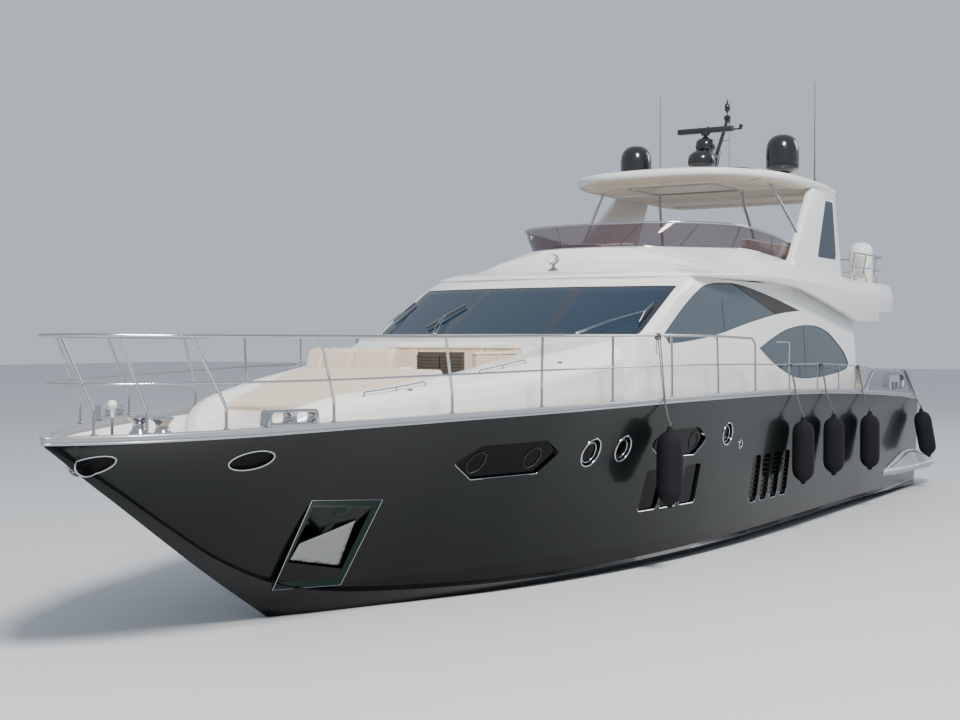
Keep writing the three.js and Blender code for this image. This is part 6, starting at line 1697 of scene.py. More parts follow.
for side in (1, -1):
    post = [(-5.55, side * 1.1, UPPER_Z), (-5.5, side * 1.08, 5.94), (-5.16, side * 0.985, 6.6),
        (-5.1, side * 0.97, 6.905)]
    rail_parts.append(tube(rounded(post, 0.25, 6, closed=False), 0.028, 12))
    rail_parts.append(lathe([(0.07, 0), (0.07, 0.012), (0.03, 0.02)], post[0][0], post[0][1], UPPER_Z, 20))
new_piece("sun_roof_frame_and_posts", rail_parts, cap_silver)
downlights = []
for x in (-2.85, -5.9, -7.3):
    for y in (-1.5, -0.6, 0.6, 1.5):
        if x == -2.85 and abs(y) > 1:
            continue
        downlights.append(lathe([(0.05, 0.006), (0.05, -0.004), (0.035, -0.008), (0, -0.008)], x, y,
            ROOF_EDGE - 0.166 - roof_fall(x), 20))
new_piece("hardtop_downlights", downlights, lens)

LEG = [(-5.67, 6.95), (-7.25, 6.93), (-6.75, 5.03), (-6.3, 4.9), (-3.3, 5.13), (-3.7, 5.38)]
leg_outline = rounded(LEG, [0.05, 0.05, 0.15, 0.1, 0.05, 0.3], 6)


def leg_face(outline, depth):
    """An outline in side view laid on the leaning outer face of a leg."""
    return [(x, 2.69 - (z - 5.0) / 1.95 * 0.33 - depth, z) for x, z in outline]


leg_rings = []
for depth, pull in ((0.0, 0.045), (0.012, 0.018), (0.04, 0.0), (0.11, 0.0), (0.138, 0.018), (0.15, 0.045)):
    leg_rings.append(leg_face(shrunk(leg_outline, pull, np.mean(np.array(LEG), axis=0)), depth))
LEG_WINDOW = [(-6.42, 6.72), (-6.95, 6.72), (-6.56, 5.52), (-6.45, 5.41), (-5.2, 5.41)]
leg_window = rounded(LEG_WINDOW, 0.05, 5)
fly_copy = skin([[(x, y, z + 0.0004) for x, y, z in r] for r in fly_rings])
for side, name in ((1, "hardtop_leg_port"), (-1, "hardtop_leg_starboard")):
    leg = new_piece(name, sided(skin(leg_rings), side), gelcoat)
    window = skin([leg_face(leg_window, -0.05), leg_face(leg_window, 0.012)])
    combine(leg, [fly_copy, sided(window, side)])
    smoothed(leg, 32)
    leg_pane = skin([leg_face(shrunk(leg_window, 0.006), depth) for depth in (0.004, 0.0115)])
    new_piece(name + "_glass", sided(leg_pane, side), glass)
struts = [tube([(-4.34, side * 2.48, 5.85), (-4.2, side * 1.9, 6.96)], 0.028, 14) for side in (1, -1)]
new_piece("hardtop_struts", struts, steel)
roof_panel = cushion(SUN_ROOF[0] + 0.02, -3.72, -0.975, 0.975, ROOF_EDGE - 0.02, ROOF_EDGE + 0.03, 0.012, 0,
    0, 4)
new_piece("sun_roof_panel", roof_panel, cream)
# Oval lamps in the roof's edge on both sides, with upright bars
EDGE_LAMP_X, EDGE_LAMP_Z, EDGE_LAMP_A, EDGE_LAMP_B = -7.72, 6.985, 0.17, 0.045


def on_roof_edge(dx, dz, side, lift):
    return (EDGE_LAMP_X + dx, side * (lift + dx * 0.09), EDGE_LAMP_Z + dz)


edge_parts, grille_edge = [], []
for side in (1, -1):
    ring = [on_roof_edge(EDGE_LAMP_A * cos(a), EDGE_LAMP_B * sin(a), side, 2.232) for a in turns(32)]
    edge_parts.append(tube(ring, 0.012, 8, closed=True))
    for k in range(-5, 6):
        h = EDGE_LAMP_B * sqrt(1 - (k / 6) ** 2)
        bar = [on_roof_edge(EDGE_LAMP_A * k / 6, dz, side, 2.226) for dz in (-h, h)]
        grille_edge.append(tube(bar, 0.008, 6))
new_piece("roof_lamp_rims", edge_parts, steel)
new_piece("roof_lamp_grilles", grille_edge, louvre_black)


# Domes, mast and radar
# Black gloss satellite domes on collars, a black mast with a small dome, light and thin aerials, and a
# radar bar that turns on its pedestal.
black_gloss = Finish("black_gloss", "black_plastic", (0.01, 0.011, 0.013), 0.16, 0.0, Coat_Roughness=0.06,
    Coat_Weight=0.5)
black_gloss.rough(10.0, 0.13, 0.24)
black_gloss.relief(40.0, 0.0006, 0.2)
black_satin = Finish("black_satin", "black_plastic", (0.016, 0.017, 0.019), 0.38)
black_satin.rough(20.0, 0.32, 0.46)
black_satin.relief(150.0, 0.0006, 0.3)
TOP = ROOF_TOP + 0.0004
DOME_X, DOME_Y = -5.5, 1.74
SCANNER_X = -5.4
LIGHT_X = -6.7
WHIP_X, WHIP_Y = -7.2, 1.9
dome_profile = [(0.15, 0.0), (0.15, 0.055), (0.21, 0.075), (0.295, 0.105), (0.33, 0.13), (0.345, 0.155),
    (0.352, 0.2), (0.355, 0.24), (0.35, 0.245), (0.35, 0.255), (0.355, 0.26), (0.355, 0.5), (0.35, 0.58),
    (0.336, 0.66), (0.312, 0.73), (0.275, 0.79), (0.22, 0.84), (0.155, 0.872), (0.09, 0.886), (0.03, 0.889),
    (0.028, 0.894), (0.0, 0.895)]
for side, name in ((1, "dome_port"), (-1, "dome_starboard")):
    new_piece("satellite_" + name, lathe(dome_profile, DOME_X, side * DOME_Y, TOP, 64), black_gloss,
        replaces=name)
    collar = lathe([(0.19, -0.06), (0.19, -0.012), (0.182, -0.0008), (0.155, -0.0008)], DOME_X,
        side * DOME_Y, ROOF_TOP, 40)
    new_piece(name + "_collar", collar, gelcoat)
mast_path = spline([(-5.8, 0, TOP + 0.03), (-6.05, 0, 7.8), (-6.38, 0, 8.25), (LIGHT_X, 0, 8.7)], 8)
mast_parts = [
    tube(mast_path, [0.066 - 0.02 * k / (len(mast_path) - 1) for k in range(len(mast_path))], 18),
    cushion(-6.1, -5.02, -0.2, 0.2, TOP, TOP + 0.06, 0.02, 0, 0, 4),
    tube([(-6.05, 0, 7.78), (-5.75, 0, 7.82), (-5.45, 0, 7.9)], [0.055, 0.06, 0.075], 14),
    tube([(-5.95, 0.0, TOP + 0.05), (-6.3, 0, 8.1)], 0.028, 12),
    tube([(-6.52, -0.42, 8.47), (-6.52, 0.42, 8.47)], 0.02, 10),
]
for y in (-0.4, 0.4):
    mast_parts.append(lathe([(0.03, 0), (0.045, 0.02), (0.045, 0.07), (0.02, 0.09), (0, 0.09)], -6.52, y,
        8.485, 20))
mast_parts.append(lathe([(0.11, 0.04), (0.105, 0.1), (0.12, 0.17), (0.2, 0.215), (0.265, 0.26),
    (0.295, 0.31), (0.302, 0.36), (0.302, 0.43), (0.288, 0.5), (0.25, 0.555), (0.18, 0.605), (0.1, 0.632),
    (0.0, 0.642)], -5.18, 0, TOP, 48))
mast_parts.append(lathe([(0.06, -0.03), (0.18, -0.03), (0.205, -0.01), (0.222, 0.06), (0.215, 0.14),
    (0.195, 0.2), (0.15, 0.235), (0.095, 0.255), (0.07, 0.28), (0.05, 0.297), (0.03, 0.3), (0.03, 0.3195)],
    SCANNER_X, 0, 7.88, 40))
mast_parts.append(lathe([(0.045, -0.08), (0.06, -0.04), (0.06, 0.02), (0.078, 0.03), (0.078, 0.1),
    (0.05, 0.12), (0.028, 0.13), (0.02, 0.16), (0.018, 0.48)], LIGHT_X, 0, 8.7, 24))
new_piece("mast_and_small_dome", mast_parts, black_gloss, replaces="mast", sharp=45)
aerial_parts = [tube([(-6.42, 0.16, 7.18), (-6.42, 0.16, 8.55)], [0.008, 0.004], 6),
    tube([(-6.62, 0.1, 8.6), (-6.62, 0.1, 9.15)], [0.006, 0.003], 6), tube([(-6.38, 0.0, 8.2),
    (-6.42, 0.16, 8.2)], 0.008, 6)]
new_piece("thin_aerials", aerial_parts, black_satin)
light_part = lathe([(0.02, -0.19), (0.045, -0.17), (0.062, -0.13), (0.062, -0.05), (0.045, -0.01),
    (0.02, 0.01), (0, 0.01)], LIGHT_X, 0, 9.095, 24)
new_piece("masthead_light", light_part, black_gloss)
scan_z = 8.2
scanner = [lathe([(0.08, 0.0), (0.098, 0.022), (0.1, 0.05), (0.1, 0.078)], SCANNER_X, 0, scan_z, 40)]
bar_outline = rounded([(-0.066, 0.055), (0.066, 0.055), (0.072, 0.11), (0.055, 0.172), (-0.055, 0.172),
    (-0.072, 0.11)], 0.02, 4)
bar = []
for y, scale in ((-0.65, 0.82), (-0.645, 0.93), (-0.63, 1.0), (0.63, 1.0), (0.645, 0.93), (0.65, 0.82)):
    bar.append([(SCANNER_X + x * scale, y, scan_z + 0.12 + (z - 0.12) * scale) for x, z in bar_outline])
scanner.append(skin(bar))
new_piece("radar_bar", scanner, black_satin, body="scanner", replaces="radar_scanner")
WHIP_Z = ROOF_EDGE + 0.09
for side, name in ((1, "whip_port"), (-1, "whip_starboard")):
    whip = lathe([(0.03, 0.0), (0.03, 0.1), (0.024, 0.125), (0.014, 0.16), (0.0125, 0.6), (0.01, 0.61),
        (0.0095, 1.4), (0.0075, 1.41), (0.006, 2.33)], WHIP_X, side * WHIP_Y, WHIP_Z, 16)
    new_piece(name + "_aerial", whip, black_satin, replaces=name)
    pad = lathe([(0.05, -0.045), (0.048, -0.006), (0.035, -0.0006)], WHIP_X, side * WHIP_Y, WHIP_Z, 24)
    new_piece(name + "_pad", pad, gelcoat)


# Rails
# Polished tube rails: pulpit and side rail on raked stanchions with welded foot plates, and the
# upper deck's aft rail with bowed stanchions and a net at its forward end.
TOP_RAIL = [(13.2, 0, 3.7), (13.17, 0.2, 3.7), (12.98, 0.44, 3.7), (12.74, 0.67, 3.697),
    (12.17, 1.09, 3.692), (10.7, 1.76, 3.69), (8.76, 2.26, 3.69), (6.95, 2.68, 3.705), (5.24, 2.92, 3.715),
    (3.45, 3.07, 3.725), (1.7, 3.13, 3.72), (0.13, 3.165, 3.68), (0.02, 3.165, 3.6)]
MID_RAIL = [(13.08, 0, 3.16), (13.07, 0.14, 3.16), (13.01, 0.32, 3.16), (12.62, 0.7, 3.16),
    (11.87, 1.15, 3.16), (10.56, 1.77, 3.17), (8.66, 2.25, 3.2), (6.93, 2.68, 3.23), (5.24, 2.92, 3.245),
    (3.45, 3.07, 3.25), (1.7, 3.13, 3.24), (0.0, 3.165, 3.22)]
# Stanchions: x of the foot and how far forward the head leans; the two foremost stand to port only
PORT_STANCHIONS = [(12.95, 0.24), (12.52, 0.29)]
STANCHIONS = [(11.7, 0.47), (10.37, 0.33), (8.54, 0.21), (6.92, 0.02), (5.235, 0), (3.45, 0), (1.7, 0),
    (0.0, 0)]


def across_bow(line):
    return line[::-1] + [(x, -y, z) for x, y, z in line[1:]]


top_line = spline(TOP_RAIL[:-2], 6)[:-1] + rounded([TOP_RAIL[-3], TOP_RAIL[-2], TOP_RAIL[-1]], 0.06, 5,
    closed=False)[1:]
mid_line = spline(MID_RAIL, 6)


def rail_at(x):
    line = spline(TOP_RAIL[:-2], 6)[::-1]
    xs = [p[0] for p in line]
    return np.array((x, np.interp(x, xs, [p[1] for p in line]), np.interp(x, xs, [p[2] for p in line])))


rail_parts = [tube(across_bow(top_line), 0.022, 14), tube(across_bow(mid_line), 0.014, 10)]
port_parts, post_parts = [], []
for x, lean in PORT_STANCHIONS + STANCHIONS:
    parts = port_parts if x > 12 else post_parts
    foot = np.array((x, sheer_y(x) - 0.07, sheer_z(x) + 0.0004))
    knee = foot + (0, 0, 0.26)
    head = rail_at(x + lean) if x > 0.1 else np.array((0.0, 3.165, 3.6))
    parts.append(tube(rounded([tuple(foot), tuple(knee), tuple(head)], [0, 0.25, 0], 5, closed=False), 0.019,
        12))
    parts.append(tube([foot, foot + (0, 0, 0.012)], 0.042, 24))
    parts.append(tube([foot + (0, 0, 0.012), foot + (0, 0, 0.03)], [0.028, 0.022], 16))
new_piece("bow_and_side_rails", rail_parts + port_parts + [both(post_parts)], steel, replaces="bow_rail")
AFT_RAIL = [(-7.65, 2.68), (-9.3, 2.715), (-9.9, 2.68), (-10.14, 2.4), (-10.165, 1.5), (-10.165, 0)]


def aft_loop(z, out):
    half = spline([(x - (out if x < -9.5 else 0), y + (out if y > 2 else 0), z) for x, y in AFT_RAIL], 6)
    return half + flipped(half[:-1])


aft_parts = [tube(aft_loop(5.63, 0.0), 0.019, 14), tube(aft_loop(5.32, -0.03), 0.01, 10)]
for x, y in ((-7.65, 2.68), (-8.5, 2.7), (-9.3, 2.715), (-10.14, 2.4), (-10.165, 1.5), (-10.165, 0)):
    for s in ((1, -1) if y else (1,)):
        base = np.array((x, s * y, 0.0))
        base[2] = surface_z(fly, base[0], base[1])
        inward = np.array((0.05, 0, 0)) if abs(x) > 10 else np.array((0, -s * 0.05, 0))
        bow = [base, base + (0, 0, 0.1), np.array((x, s * y, 5.22)) + inward,
            np.array((x, s * y, 5.45)) + inward * 0.4, np.array((x, s * y, 5.625))]
        aft_parts.append(tube(spline([tuple(p) for p in bow], 5), 0.014, 12))
        aft_parts.append(tube([base, base + (0, 0, 0.012)], 0.036, 20))
new_piece("upper_aft_rail", aft_parts, steel, replaces="fly_aft_rail")
net_parts = []
x0, x1, z0, z1, cells = -7.68, -8.46, 5.08, 5.58, 7
for s in (1, -1):
    for k in range(-cells, cells + 1):
        for slope in (1, -1):
            pts = []
            for t in np.linspace(0, 1, 15):
                u = k / cells + t * slope if slope > 0 else (k + cells) / cells - t
                if 0 <= u <= 1:
                    pts.append((x0 + (x1 - x0) * u, s * (2.675 + 0.01 * sin(9 * t)), z0 + (z1 - z0) * t))
            if len(pts) > 2:
                net_parts.append(tube(pts, 0.004, 5))
rope_grey = Finish("braided_rope", "black_plastic", (0.1, 0.1, 0.105), 0.8)
twist = rope_grey.add("ShaderNodeTexWave", {"wave_type": "BANDS"}, {"Vector": rope_grey.place((1, 1, 1),
    (0.6, 0.6, 0)), "Scale": 60.0, "Distortion": 1.0}, 1)
rope_grey.feed("Base Color", rope_grey.between(twist, (0.13, 0.13, 0.135), (0.05, 0.05, 0.052)))
rope_grey.bump(twist, 0.002, 0.6)
new_piece("rail_net", net_parts, rope_grey)


# Fenders
# Five black fenders in knitted covers along the port side, each with a moulded eye top and bottom and
# hung on a doubled line that is hitched to the rail above it; the aftmost is pushed outboard by the platform.
# Columns: x, top z, bottom z, how far the bottom hangs outboard, x of the hitch
FENDERS = [(3.9, 2.25, 1.06, 0, 3.9), (-1.83, 2.13, 0.94, 0, -1.83), (-3.67, 2.12, 0.95, 0, -3.67),
           (-6.2, 2.06, 0.86, 0, -6.2), (-10.95, 1.92, 0.79, 0.2, -10.2)]
cover = Finish("knitted_cover", "fender_cover", (0.005, 0.0055, 0.008), 0.8, 0.0, Specular_IOR_Level=0.25)
knit = cover.add("ShaderNodeTexWave", {"wave_type": "BANDS", "bands_direction": "Z"},
    {"Vector": cover.place(), "Scale": 55.0, "Distortion": 0.6}, 1)
cover.feed("Base Color", cover.between(cover.noise(6.0), (0.0065, 0.007, 0.01), (0.003, 0.0035, 0.005)))
cover.bump(knit * 0.5 + cover.noise(400.0) * 0.5, 0.003, 0.5)
for number, (x, top, bottom, lean, tied) in enumerate(FENDERS, 1):
    r = 0.205
    tall = top - bottom
    tilt = asin(lean / tall)
    chine = (fair(HULL, x, 2), fair(HULL, x, 3))
    sides = []
    for z in (top, bottom):
        t = min(max((z - chine[1]) / (sheer_z(x) - CAP_HEIGHT - chine[1]), 0), 1)
        sides.append(chine[0] + t * (sheer_y(x) - chine[0]))
    y = max(sides) + r + 0.026
    profile = [(0.0, 0.0), (0.028, 0.002), (0.04, 0.012), (0.046, 0.035), (0.06, 0.055), (0.105, 0.085),
        (0.15, 0.125), (0.182, 0.175), (0.199, 0.235), (0.204, 0.3), (0.205, 0.42), (0.205, tall - 0.32),
        (0.2035, tall - 0.25), (0.196, tall - 0.18), (0.178, tall - 0.115), (0.146, tall - 0.065),
        (0.098, tall - 0.03), (0.062, tall - 0.012), (0.05, tall + 0.01), (0.045, tall + 0.045),
        (0.03, tall + 0.066), (0.0, tall + 0.07)]
    profile = [(rr * (1 + 0.006 * sin(17 * h + number)), h) for rr, h in profile]
    points, faces = lathe(profile, x, y, bottom, 48)
    points = [(px, y + (py - y) * cos(tilt) + (top - pz) * sin(tilt), top - (top - pz) * cos(tilt)
        + (py - y) * sin(tilt)) for px, py, pz in points]
    body = new_piece("fender_%d_body" % number, (points, faces), cover, replaces="fender_%d" % number,
        sharp=60)
    eye = [(x + 0.03 * cos(a), y, top + 0.072 + 0.03 * sin(a)) for a in turns(20)]
    low_eye = [(x + 0.018 * cos(a), y + lean, bottom + 0.026 + 0.014 * sin(a)) for a in turns(16)]
    new_piece("fender_%d_eyes" % number, [tube(eye, 0.011, 8, closed=True),
        tube(low_eye, 0.005, 6, closed=True)], rubber)
    over = sheer_y(x) + 0.022 + 0.012
    if x > 0:
        head = rail_at(x)
        hitch_r = 0.019
    elif x > -6.7:
        head = (x, sheer_y(x) - 0.07, quarter_rail_z(x))
        hitch_r = 0.012
    else:
        head = (tied, sheer_y(tied) - 0.03, sheer_z(tied) + fair(hump_table, tied, 1) + 0.008)
        hitch_r = 0.0
    strands = []
    for s in (-1, 1):
        line = [(x + s * 0.006, y, top + 0.085), (x + s * 0.018, over + 0.006, sheer_z(x) - 0.06),
            (x + s * 0.02, over - 0.002, sheer_z(x) + 0.012), (head[0] + s * 0.045, head[1] + hitch_r * 0.8,
            head[2])]
        strands.append(tube(rounded(line, [0, 0.05, 0.03, 0], 4, closed=False), 0.009, 8))
    knot = [(x + 0.019 * cos(a), y + 0.017 * sin(a), top + 0.075 + 0.06 * a / 19)
        for a in np.linspace(0, 19, 50)]
    strands.append(tube(knot, 0.01, 6))
    if hitch_r:
        coil = [(x - 0.05 + 0.1 * a / 31, head[1] + (hitch_r + 0.009) * cos(a),
            head[2] + (hitch_r + 0.009) * sin(a)) for a in np.linspace(0, 31, 100)]
        strands.append(tube(coil, 0.01, 6))
        lump = [(x + 0.03 * sin(2 * a), head[1] + (hitch_r + 0.02) * cos(a),
            head[2] - 0.02 + (hitch_r + 0.022) * sin(a)) for a in turns(32)]
        strands.append(tube(lump, 0.013, 8, closed=True))
        tail = [(x + 0.03, head[1], head[2] - 0.025), (x + 0.045, head[1] - 0.01, head[2] - 0.16),
            (x + 0.04, head[1] - 0.005, head[2] - 0.3)]
        strands.append(tube(spline(tail, 5), 0.008, 6))
    else:
        loop = [(tied + 0.04 * cos(a), head[1] - 0.05 + 0.045 * sin(a), head[2] - 0.004) for a in turns(20)]
        strands.append(tube(loop, 0.01, 6, closed=True))
    new_piece("fender_%d_lanyard" % number, strands, rope_grey)


# Stern
# Teak-topped swim platform with a bright edge wrapped round the quarters, the transom door over the
# tender garage on its hinges, the cockpit sofa and table and the stair to the upper deck.
platform_half = [(-9.1, 2.96), (-9.8, 3.08), (-12.5, 3.2), (-13.12, 3.06), (-13.3, 2.7), (-13.34, 1.4),
    (-13.35, 0)]
smooth_half = rounded(platform_half, [0, 0.5, 0.5, 0.3, 0.3, 0.5, 0], 6, closed=False)
platform_outline = smooth_half + flipped(smooth_half[:-1])
platform_grey = Finish("platform_moulding", "teak", (0.36, 0.37, 0.39), 0.32, 0.2)
platform_grey.rough(15.0, 0.26, 0.4)
platform_grey.relief(60.0, 0.0006, 0.2)
fairing_edge = Finish("bright_edge_strip", "polished_steel", (0.85, 0.86, 0.87), 0.3, 0.4)
fairing_edge.rough(20.0, 0.24, 0.4)
hull_plug = [[(x, y + copysign(0.001, y), z) for x, y, z in ring] for ring in hull_rings(-0.001)]
hull_plug[-1] = [(x - 0.001, y, z) for x, y, z in hull_plug[-1]]
platform = new_piece("swim_platform_moulding", prism_z(platform_outline, PLATFORM_Z - 0.17,
    PLATFORM_Z - 0.012), platform_grey, replaces="swim_platform")
combine(platform, [skin(hull_plug)])
eased(platform, 0.015, 3, 50)
smoothed(platform, 40)
board = new_piece("swim_platform_teak", prism_z([(x + 0.05 if x < -13 else x,
    y - copysign(0.06, y) if abs(y) > 0.1 else y) for x, y in platform_outline], PLATFORM_Z - 0.0118,
    PLATFORM_Z), teak)
combine(board, [skin(hull_plug)])
eased(board, 0.004, 2, 50)
smoothed(board, 40)
edge_line = [(x, y, PLATFORM_Z - 0.035) for x, y in smooth_half if x < -13.0]
edge_line = edge_line + flipped(edge_line[:-1])

# Fairing along each quarter: x, y of its outer edge, y and z of its ridge against the hull; a bright
# strip caps its edge and a dark grab line is let into its top
FAIRING = [(-8.7, 3.075, 3.0, 0.64), (-9.1, 3.135, 3.03, 0.72), (-9.5, 3.19, 3.05, 0.8),
    (-10.0, 3.24, 3.055, 0.91), (-10.5, 3.28, 3.06, 1.0), (-11.0, 3.295, 3.05, 1.005),
    (-11.6, 3.3, 3.04, 0.96), (-12.3, 3.3, 3.0, 0.8), (-12.75, 3.245, 2.97, 0.71), (-13.1, 3.15, 2.95, 0.64)]
fairing_table = np.array(FAIRING)


def fairing_at(x):
    return [float(np.interp(-x, -fairing_table[:, 0], fairing_table[:, c])) for c in (1, 2, 3)]


fairing_rings = []
for x in np.linspace(FAIRING[0][0], FAIRING[-1][0], 45):
    outer, ridge_y, ridge_z = fairing_at(x)
    corner = [(2.7, 0.5), (outer - 0.03, 0.5), (outer, 0.545), (outer, 0.6), (outer - 0.015, 0.63),
              ((outer + ridge_y) / 2 + 0.015, (0.63 + ridge_z) / 2 + 0.012), (ridge_y, ridge_z), (2.7, 0.62)]
    fairing_rings.append([(x, y, z) for y, z in rounded(corner, [0, 0.02, 0.02, 0.02, 0.015, 0.08, 0.03, 0],
        3)])
for side, name in ((1, "fairing_port"), (-1, "fairing_starboard")):
    wing = new_piece(name, sided(skin(fairing_rings), side), platform_grey)
    combine(wing, [skin(hull_plug)])
    smoothed(wing, 40)
strip_line, grab_line = [], []
for x in np.linspace(-8.72, -13.08, 50):
    outer, ridge_y, ridge_z = fairing_at(x)
    strip_line.append((x, outer - 0.004, 0.615))
    share = (x + 8.72) / -4.36
    if 0.1 < share < 0.93:
        across = 0.35 + 0.4 * sin(pi * (share - 0.1) / 0.83)
        grab_line.append((x, outer + (ridge_y - outer) * across, 0.63 + (ridge_z - 0.63) * across + 0.016))
new_piece("platform_edge_strip", [tube(edge_line, 0.014, 8), both(tube(strip_line, 0.022, 10))], fairing_edge)
new_piece("fairing_grab_lines", both(tube(grab_line, 0.014, 8)), rubber)

door_thick = 0.06
door_side = [(transom_x(z) + d, z) for z, d in ((0.87, 0.002), (1.89, 0.002), (1.89, 0.002 + door_thick),
    (0.87, 0.002 + door_thick))]
garage_paint = Finish("transom_gloss_grey", "hull_gelcoat", (0.012, 0.014, 0.015), 0.2, 0.3,
    Coat_Roughness=0.03, Coat_Weight=0.8)
garage_paint.rough(3.0, 0.16, 0.26)
garage_paint.relief(6.0, 0.002, 0.15)
new_piece("transom_door", prism_y(door_side, -1.59, 1.59), garage_paint, body="garage",
    replaces="garage_door", ease=0.008)
hinge_x, hinge_z = transom_x(1.89), 1.89
hinge_r = hypot(transom_x(1.9) - hinge_x, 0.01) - 0.0004
barrels = [tube([(hinge_x, y - 0.09, hinge_z), (hinge_x, y + 0.09, hinge_z)], hinge_r, 16)
    for y in (-1.2, 0, 1.2)]
new_piece("transom_door_hinges", barrels, steel, body="garage")
grip = [(transom_x(1.05) - 0.001, -0.12, 1.05), (transom_x(1.05) - 0.035, -0.12, 1.05),
    (transom_x(1.05) - 0.035, 0.12, 1.05), (transom_x(1.05) - 0.001, 0.12, 1.05)]
new_piece("transom_door_grip", tube(rounded(grip, 0.015, 4, closed=False), 0.009, 10), steel, body="garage")

sofa("cockpit_sofa", -11.3, -10.6, -1.8, 1.8, FLOOR, (-11.3, -11.14), "cockpit_sofa", 4, along="y")
cockpit_outline = [(-10.3, -0.8), (-9.4, -0.8), (-9.3, -0.7), (-9.3, 0.7), (-9.4, 0.8), (-10.3, 0.8),
    (-10.4, 0.7), (-10.4, -0.7)]
table_set("cockpit_table", -9.85, 0.0, FLOOR, 0.735, cockpit_outline, "cockpit_table")
STAIR_COUNT, STAIR_START, STAIR_RUN = 9, -9.2, 0.165
stair_rise = (FLY_FLOOR - DECK_Z) / (STAIR_COUNT + 1)
treads = [cushion(STAIR_START + STAIR_RUN * k - 0.02, STAIR_START + STAIR_RUN * k + 0.22, -1.994, -1.306,
    DECK_Z + stair_rise * (k + 1) - 0.04, DECK_Z + stair_rise * (k + 1), 0.008, 0, 0, 3)
    for k in range(STAIR_COUNT)]
new_piece("stair_treads", treads, teak)
stair_end = STAIR_START + STAIR_RUN * STAIR_COUNT
string = [(STAIR_START - 0.04, FLOOR), (STAIR_START + 0.14, FLOOR), (stair_end + 0.1, FLY_FLOOR - 0.12),
    (stair_end - 0.08, FLY_FLOOR - 0.12)]
strings = [prism_y(string, a, a + 0.035) for a in (-2.03, -1.305)]
new_piece("stair_strings", strings, gelcoat, replaces="fly_stair", ease=0.006)
hand = [(STAIR_START + 0.05, -1.29, DECK_Z + 0.9), (stair_end - 0.25, -1.29, FLY_FLOOR - 0.35)]
hand_parts = [tube(hand, 0.016, 10)]
for t in (0.02, 0.35, 0.68, 0.98):
    top = np.array(hand[0]) + (np.array(hand[1]) - np.array(hand[0])) * t
    low_z = FLOOR + (FLY_FLOOR - 0.12 - FLOOR) * max(0.0, (top[0] - STAIR_START
        - 0.14)) / (STAIR_RUN * STAIR_COUNT - 0.04) + 0.02
    hand_parts.append(tube([(top[0], -1.29, low_z), tuple(top)], 0.01, 8))
new_piece("stair_handrail", hand_parts, steel)
mats = []
for k in range(STEP_COUNT):
    top = DECK_Z - DECK_T - step_rise * (k + 1)
    x0 = STEP_FIRST_X - STEP_RUN * (k + 1) + 0.02
    if k < STEP_COUNT - 1:
        mats.append(cushion(max(x0, transom_x(top) + 0.05), STEP_FIRST_X - STEP_RUN * k - 0.02,
            STEP_INNER + 0.05, STEP_OUTER - 0.05, top + 0.0004, top + 0.012, 0.004, 0, 0, 3))
new_piece("stern_step_teak", both(mats), teak)


# Running gear
# Four-bladed bronze propellers on steel shafts, carried by two-armed brackets under the bottom, and
# bronze spade rudders on stocks that turn in the hull.
bronze = Finish("propeller_bronze", "bronze", (0.55, 0.36, 0.16), 0.3, 1.0)
bronze_cloud = bronze.noise(8.0, 5.0)
bronze.feed("Base Color", bronze.between(bronze_cloud, (0.6, 0.4, 0.18), (0.42, 0.28, 0.14)))
bronze.rough(bronze_cloud, 0.22, 0.42)
bronze.relief(60.0, 0.0008, 0.3)
PROP = np.array((-9.4, SHAFT_Y, -1.4))
slope = atan2(0.78, 4.2)
shaft_axis = np.array((cos(slope), 0, sin(slope)))
SHAFT_LENGTH, SHAFT_R = 4.8, 0.044
RUDDER_X = -10.45


def shaft_point(d):
    return PROP + shaft_axis * d


def propeller_parts():
    hub = tube([shaft_point(d) for d in (-0.1, -0.085, -0.06, 0.0, 0.09, 0.125)],
        [0.02, 0.055, 0.075, 0.09, 0.085, 0.06], 32)
    blades = []
    centre = PROP + shaft_axis * 0.02
    for k in range(4):
        a = k * pi / 2 + 0.4
        radial = np.array((0, cos(a), 0)) + np.array((-shaft_axis[2], 0, shaft_axis[0])) * sin(a)
        tangent = np.cross(shaft_axis, radial)
        table = np.array([(0.06, 0.075, 0.9, 0.016), (0.18, 0.13, 0.7, 0.013), (0.29, 0.135, 0.52, 0.01),
            (0.37, 0.095, 0.42, 0.008), (0.398, 0.045, 0.38, 0.006)])
        rings = []
        for r in [*np.linspace(0.06, 0.37, 14), 0.382, 0.392, 0.398]:
            w, pitch, t = (fair(table, r, c) for c in (1, 2, 3))
            chord = tangent * cos(pitch) + shaft_axis * sin(pitch)
            normal = np.cross(radial, chord)
            ring = []
            for q in range(20):
                b = 2 * pi * q / 20
                c = cos(b)
                ring.append(tuple(centre + radial * r + chord * w * c + normal * t * sin(b) * sqrt(max(0.0,
                    1 - c * c * 0.6))))
            rings.append(ring)
        blades.append(skin(rings))
    return hub, blades


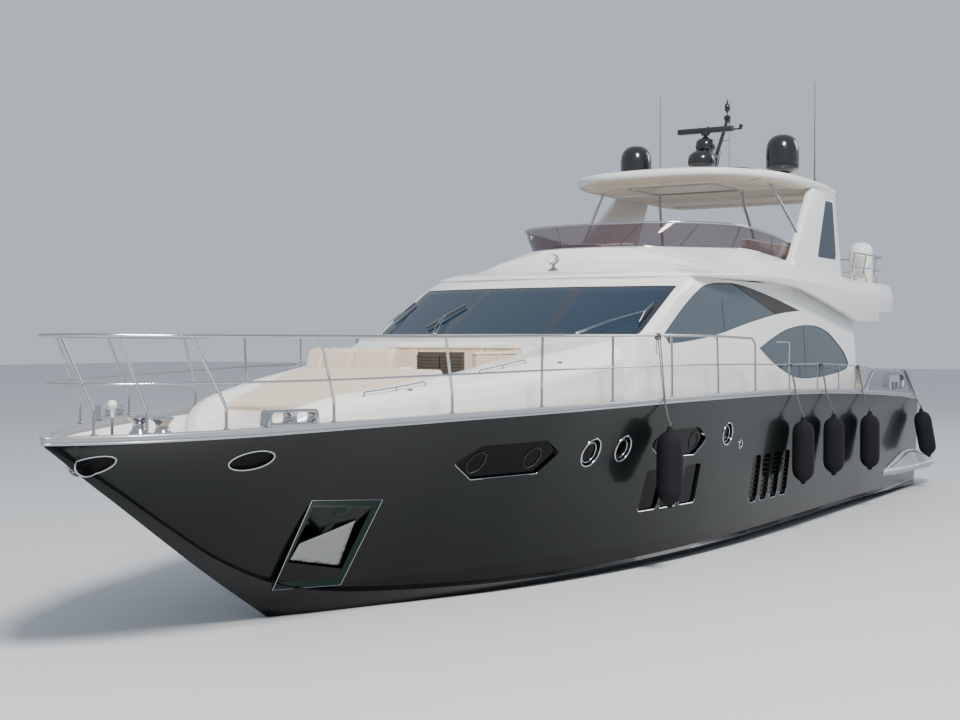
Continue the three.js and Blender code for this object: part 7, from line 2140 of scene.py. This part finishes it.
hub, blades = propeller_parts()
shaft = tube([shaft_point(0.11), shaft_point(SHAFT_LENGTH - 0.0004)], SHAFT_R, 24)
bottom = tool(skin([[(x, y, z - 0.0004) for x, y, z in ring] for ring in hull_rings()]))
bottom.name = "hull_bottom_form"
for side, label, body in ((1, "port", "propeller_p"), (-1, "starboard", "propeller_s")):
    new_piece("propeller_%s_wheel" % label, sided(joined([hub, *blades]), side), bronze, body=body,
        replaces="propeller_" + label, sharp=50)
    new_piece("propeller_%s_shaft" % label, sided(shaft, side), steel, body=body)
    arms = []
    for dy, z in ((0.48, -0.34), (-0.48, -0.7)):
        start, end = shaft_point(0.425), np.array((PROP[0] + 0.62, SHAFT_Y + dy, z))
        arms.append(sided(tube([start, end], 0.04, 20, flat=0.55), side))
    sleeve = tube([shaft_point(d) for d in (0.33, 0.35, 0.5, 0.52)], [0.085, 0.095, 0.095, 0.085], 32)
    bracket = new_piece("shaft_bracket_%s_casting" % label, sided(sleeve, side), bronze,
        replaces="shaft_bracket_" + label)
    combine(bracket, arms, "UNION")
    combine(bracket, [sided(tube([shaft_point(0.2), shaft_point(0.7)], SHAFT_R + 0.006, 32), side)])
    form = bottom.copy()
    form.data = bottom.data.copy()
    bpy.context.scene.collection.objects.link(form)
    combine(bracket, [form])
    smoothed(bracket, 40)
    blade_rings = []
    for z, front, aft, t in ((-1.76, 0.135, -0.315, 0.02), (-1.755, 0.146, -0.326, 0.026),
            (-1.74, 0.15, -0.33, 0.03), (-1.25, 0.172, -0.378, 0.041), (-0.76, 0.19, -0.42, 0.05),
            (-0.735, 0.186, -0.41, 0.048), (-0.725, 0.18, -0.4, 0.04), (-0.72, 0.17, -0.385, 0.03)):
        ring = []
        for q in range(32):
            b = 2 * pi * q / 32
            u = (1 - cos(b)) / 2
            half = t * 2.6 * sqrt(u) * (1 - u) ** 0.9
            ring.append((RUDDER_X + front + (aft - front) * u, SHAFT_Y + copysign(half,
                sin(b)) * (abs(sin(b)) > 1e-6), z))
        blade_rings.append(ring)
    stock = tube([(RUDDER_X, SHAFT_Y, -0.8), (RUDDER_X, SHAFT_Y, -0.4005)], 0.054, 32)
    new_piece("rudder_%s_blade" % label, sided(joined([skin(blade_rings), stock]), side), bronze,
        body="rudder_" + label[0], replaces="rudder_" + label, sharp=50)
bores = [tube([shaft_point(0.25), shaft_point(SHAFT_LENGTH)], SHAFT_R + 0.006, 32),
         tube([(RUDDER_X, SHAFT_Y, -1.2), (RUDDER_X, SHAFT_Y, -0.4)], 0.062, 32)]
combine(hull, [sided(bore, side) for bore in bores for side in (1, -1)])
smoothed(hull, 25)
bpy.data.objects.remove(bottom)


low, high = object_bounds()
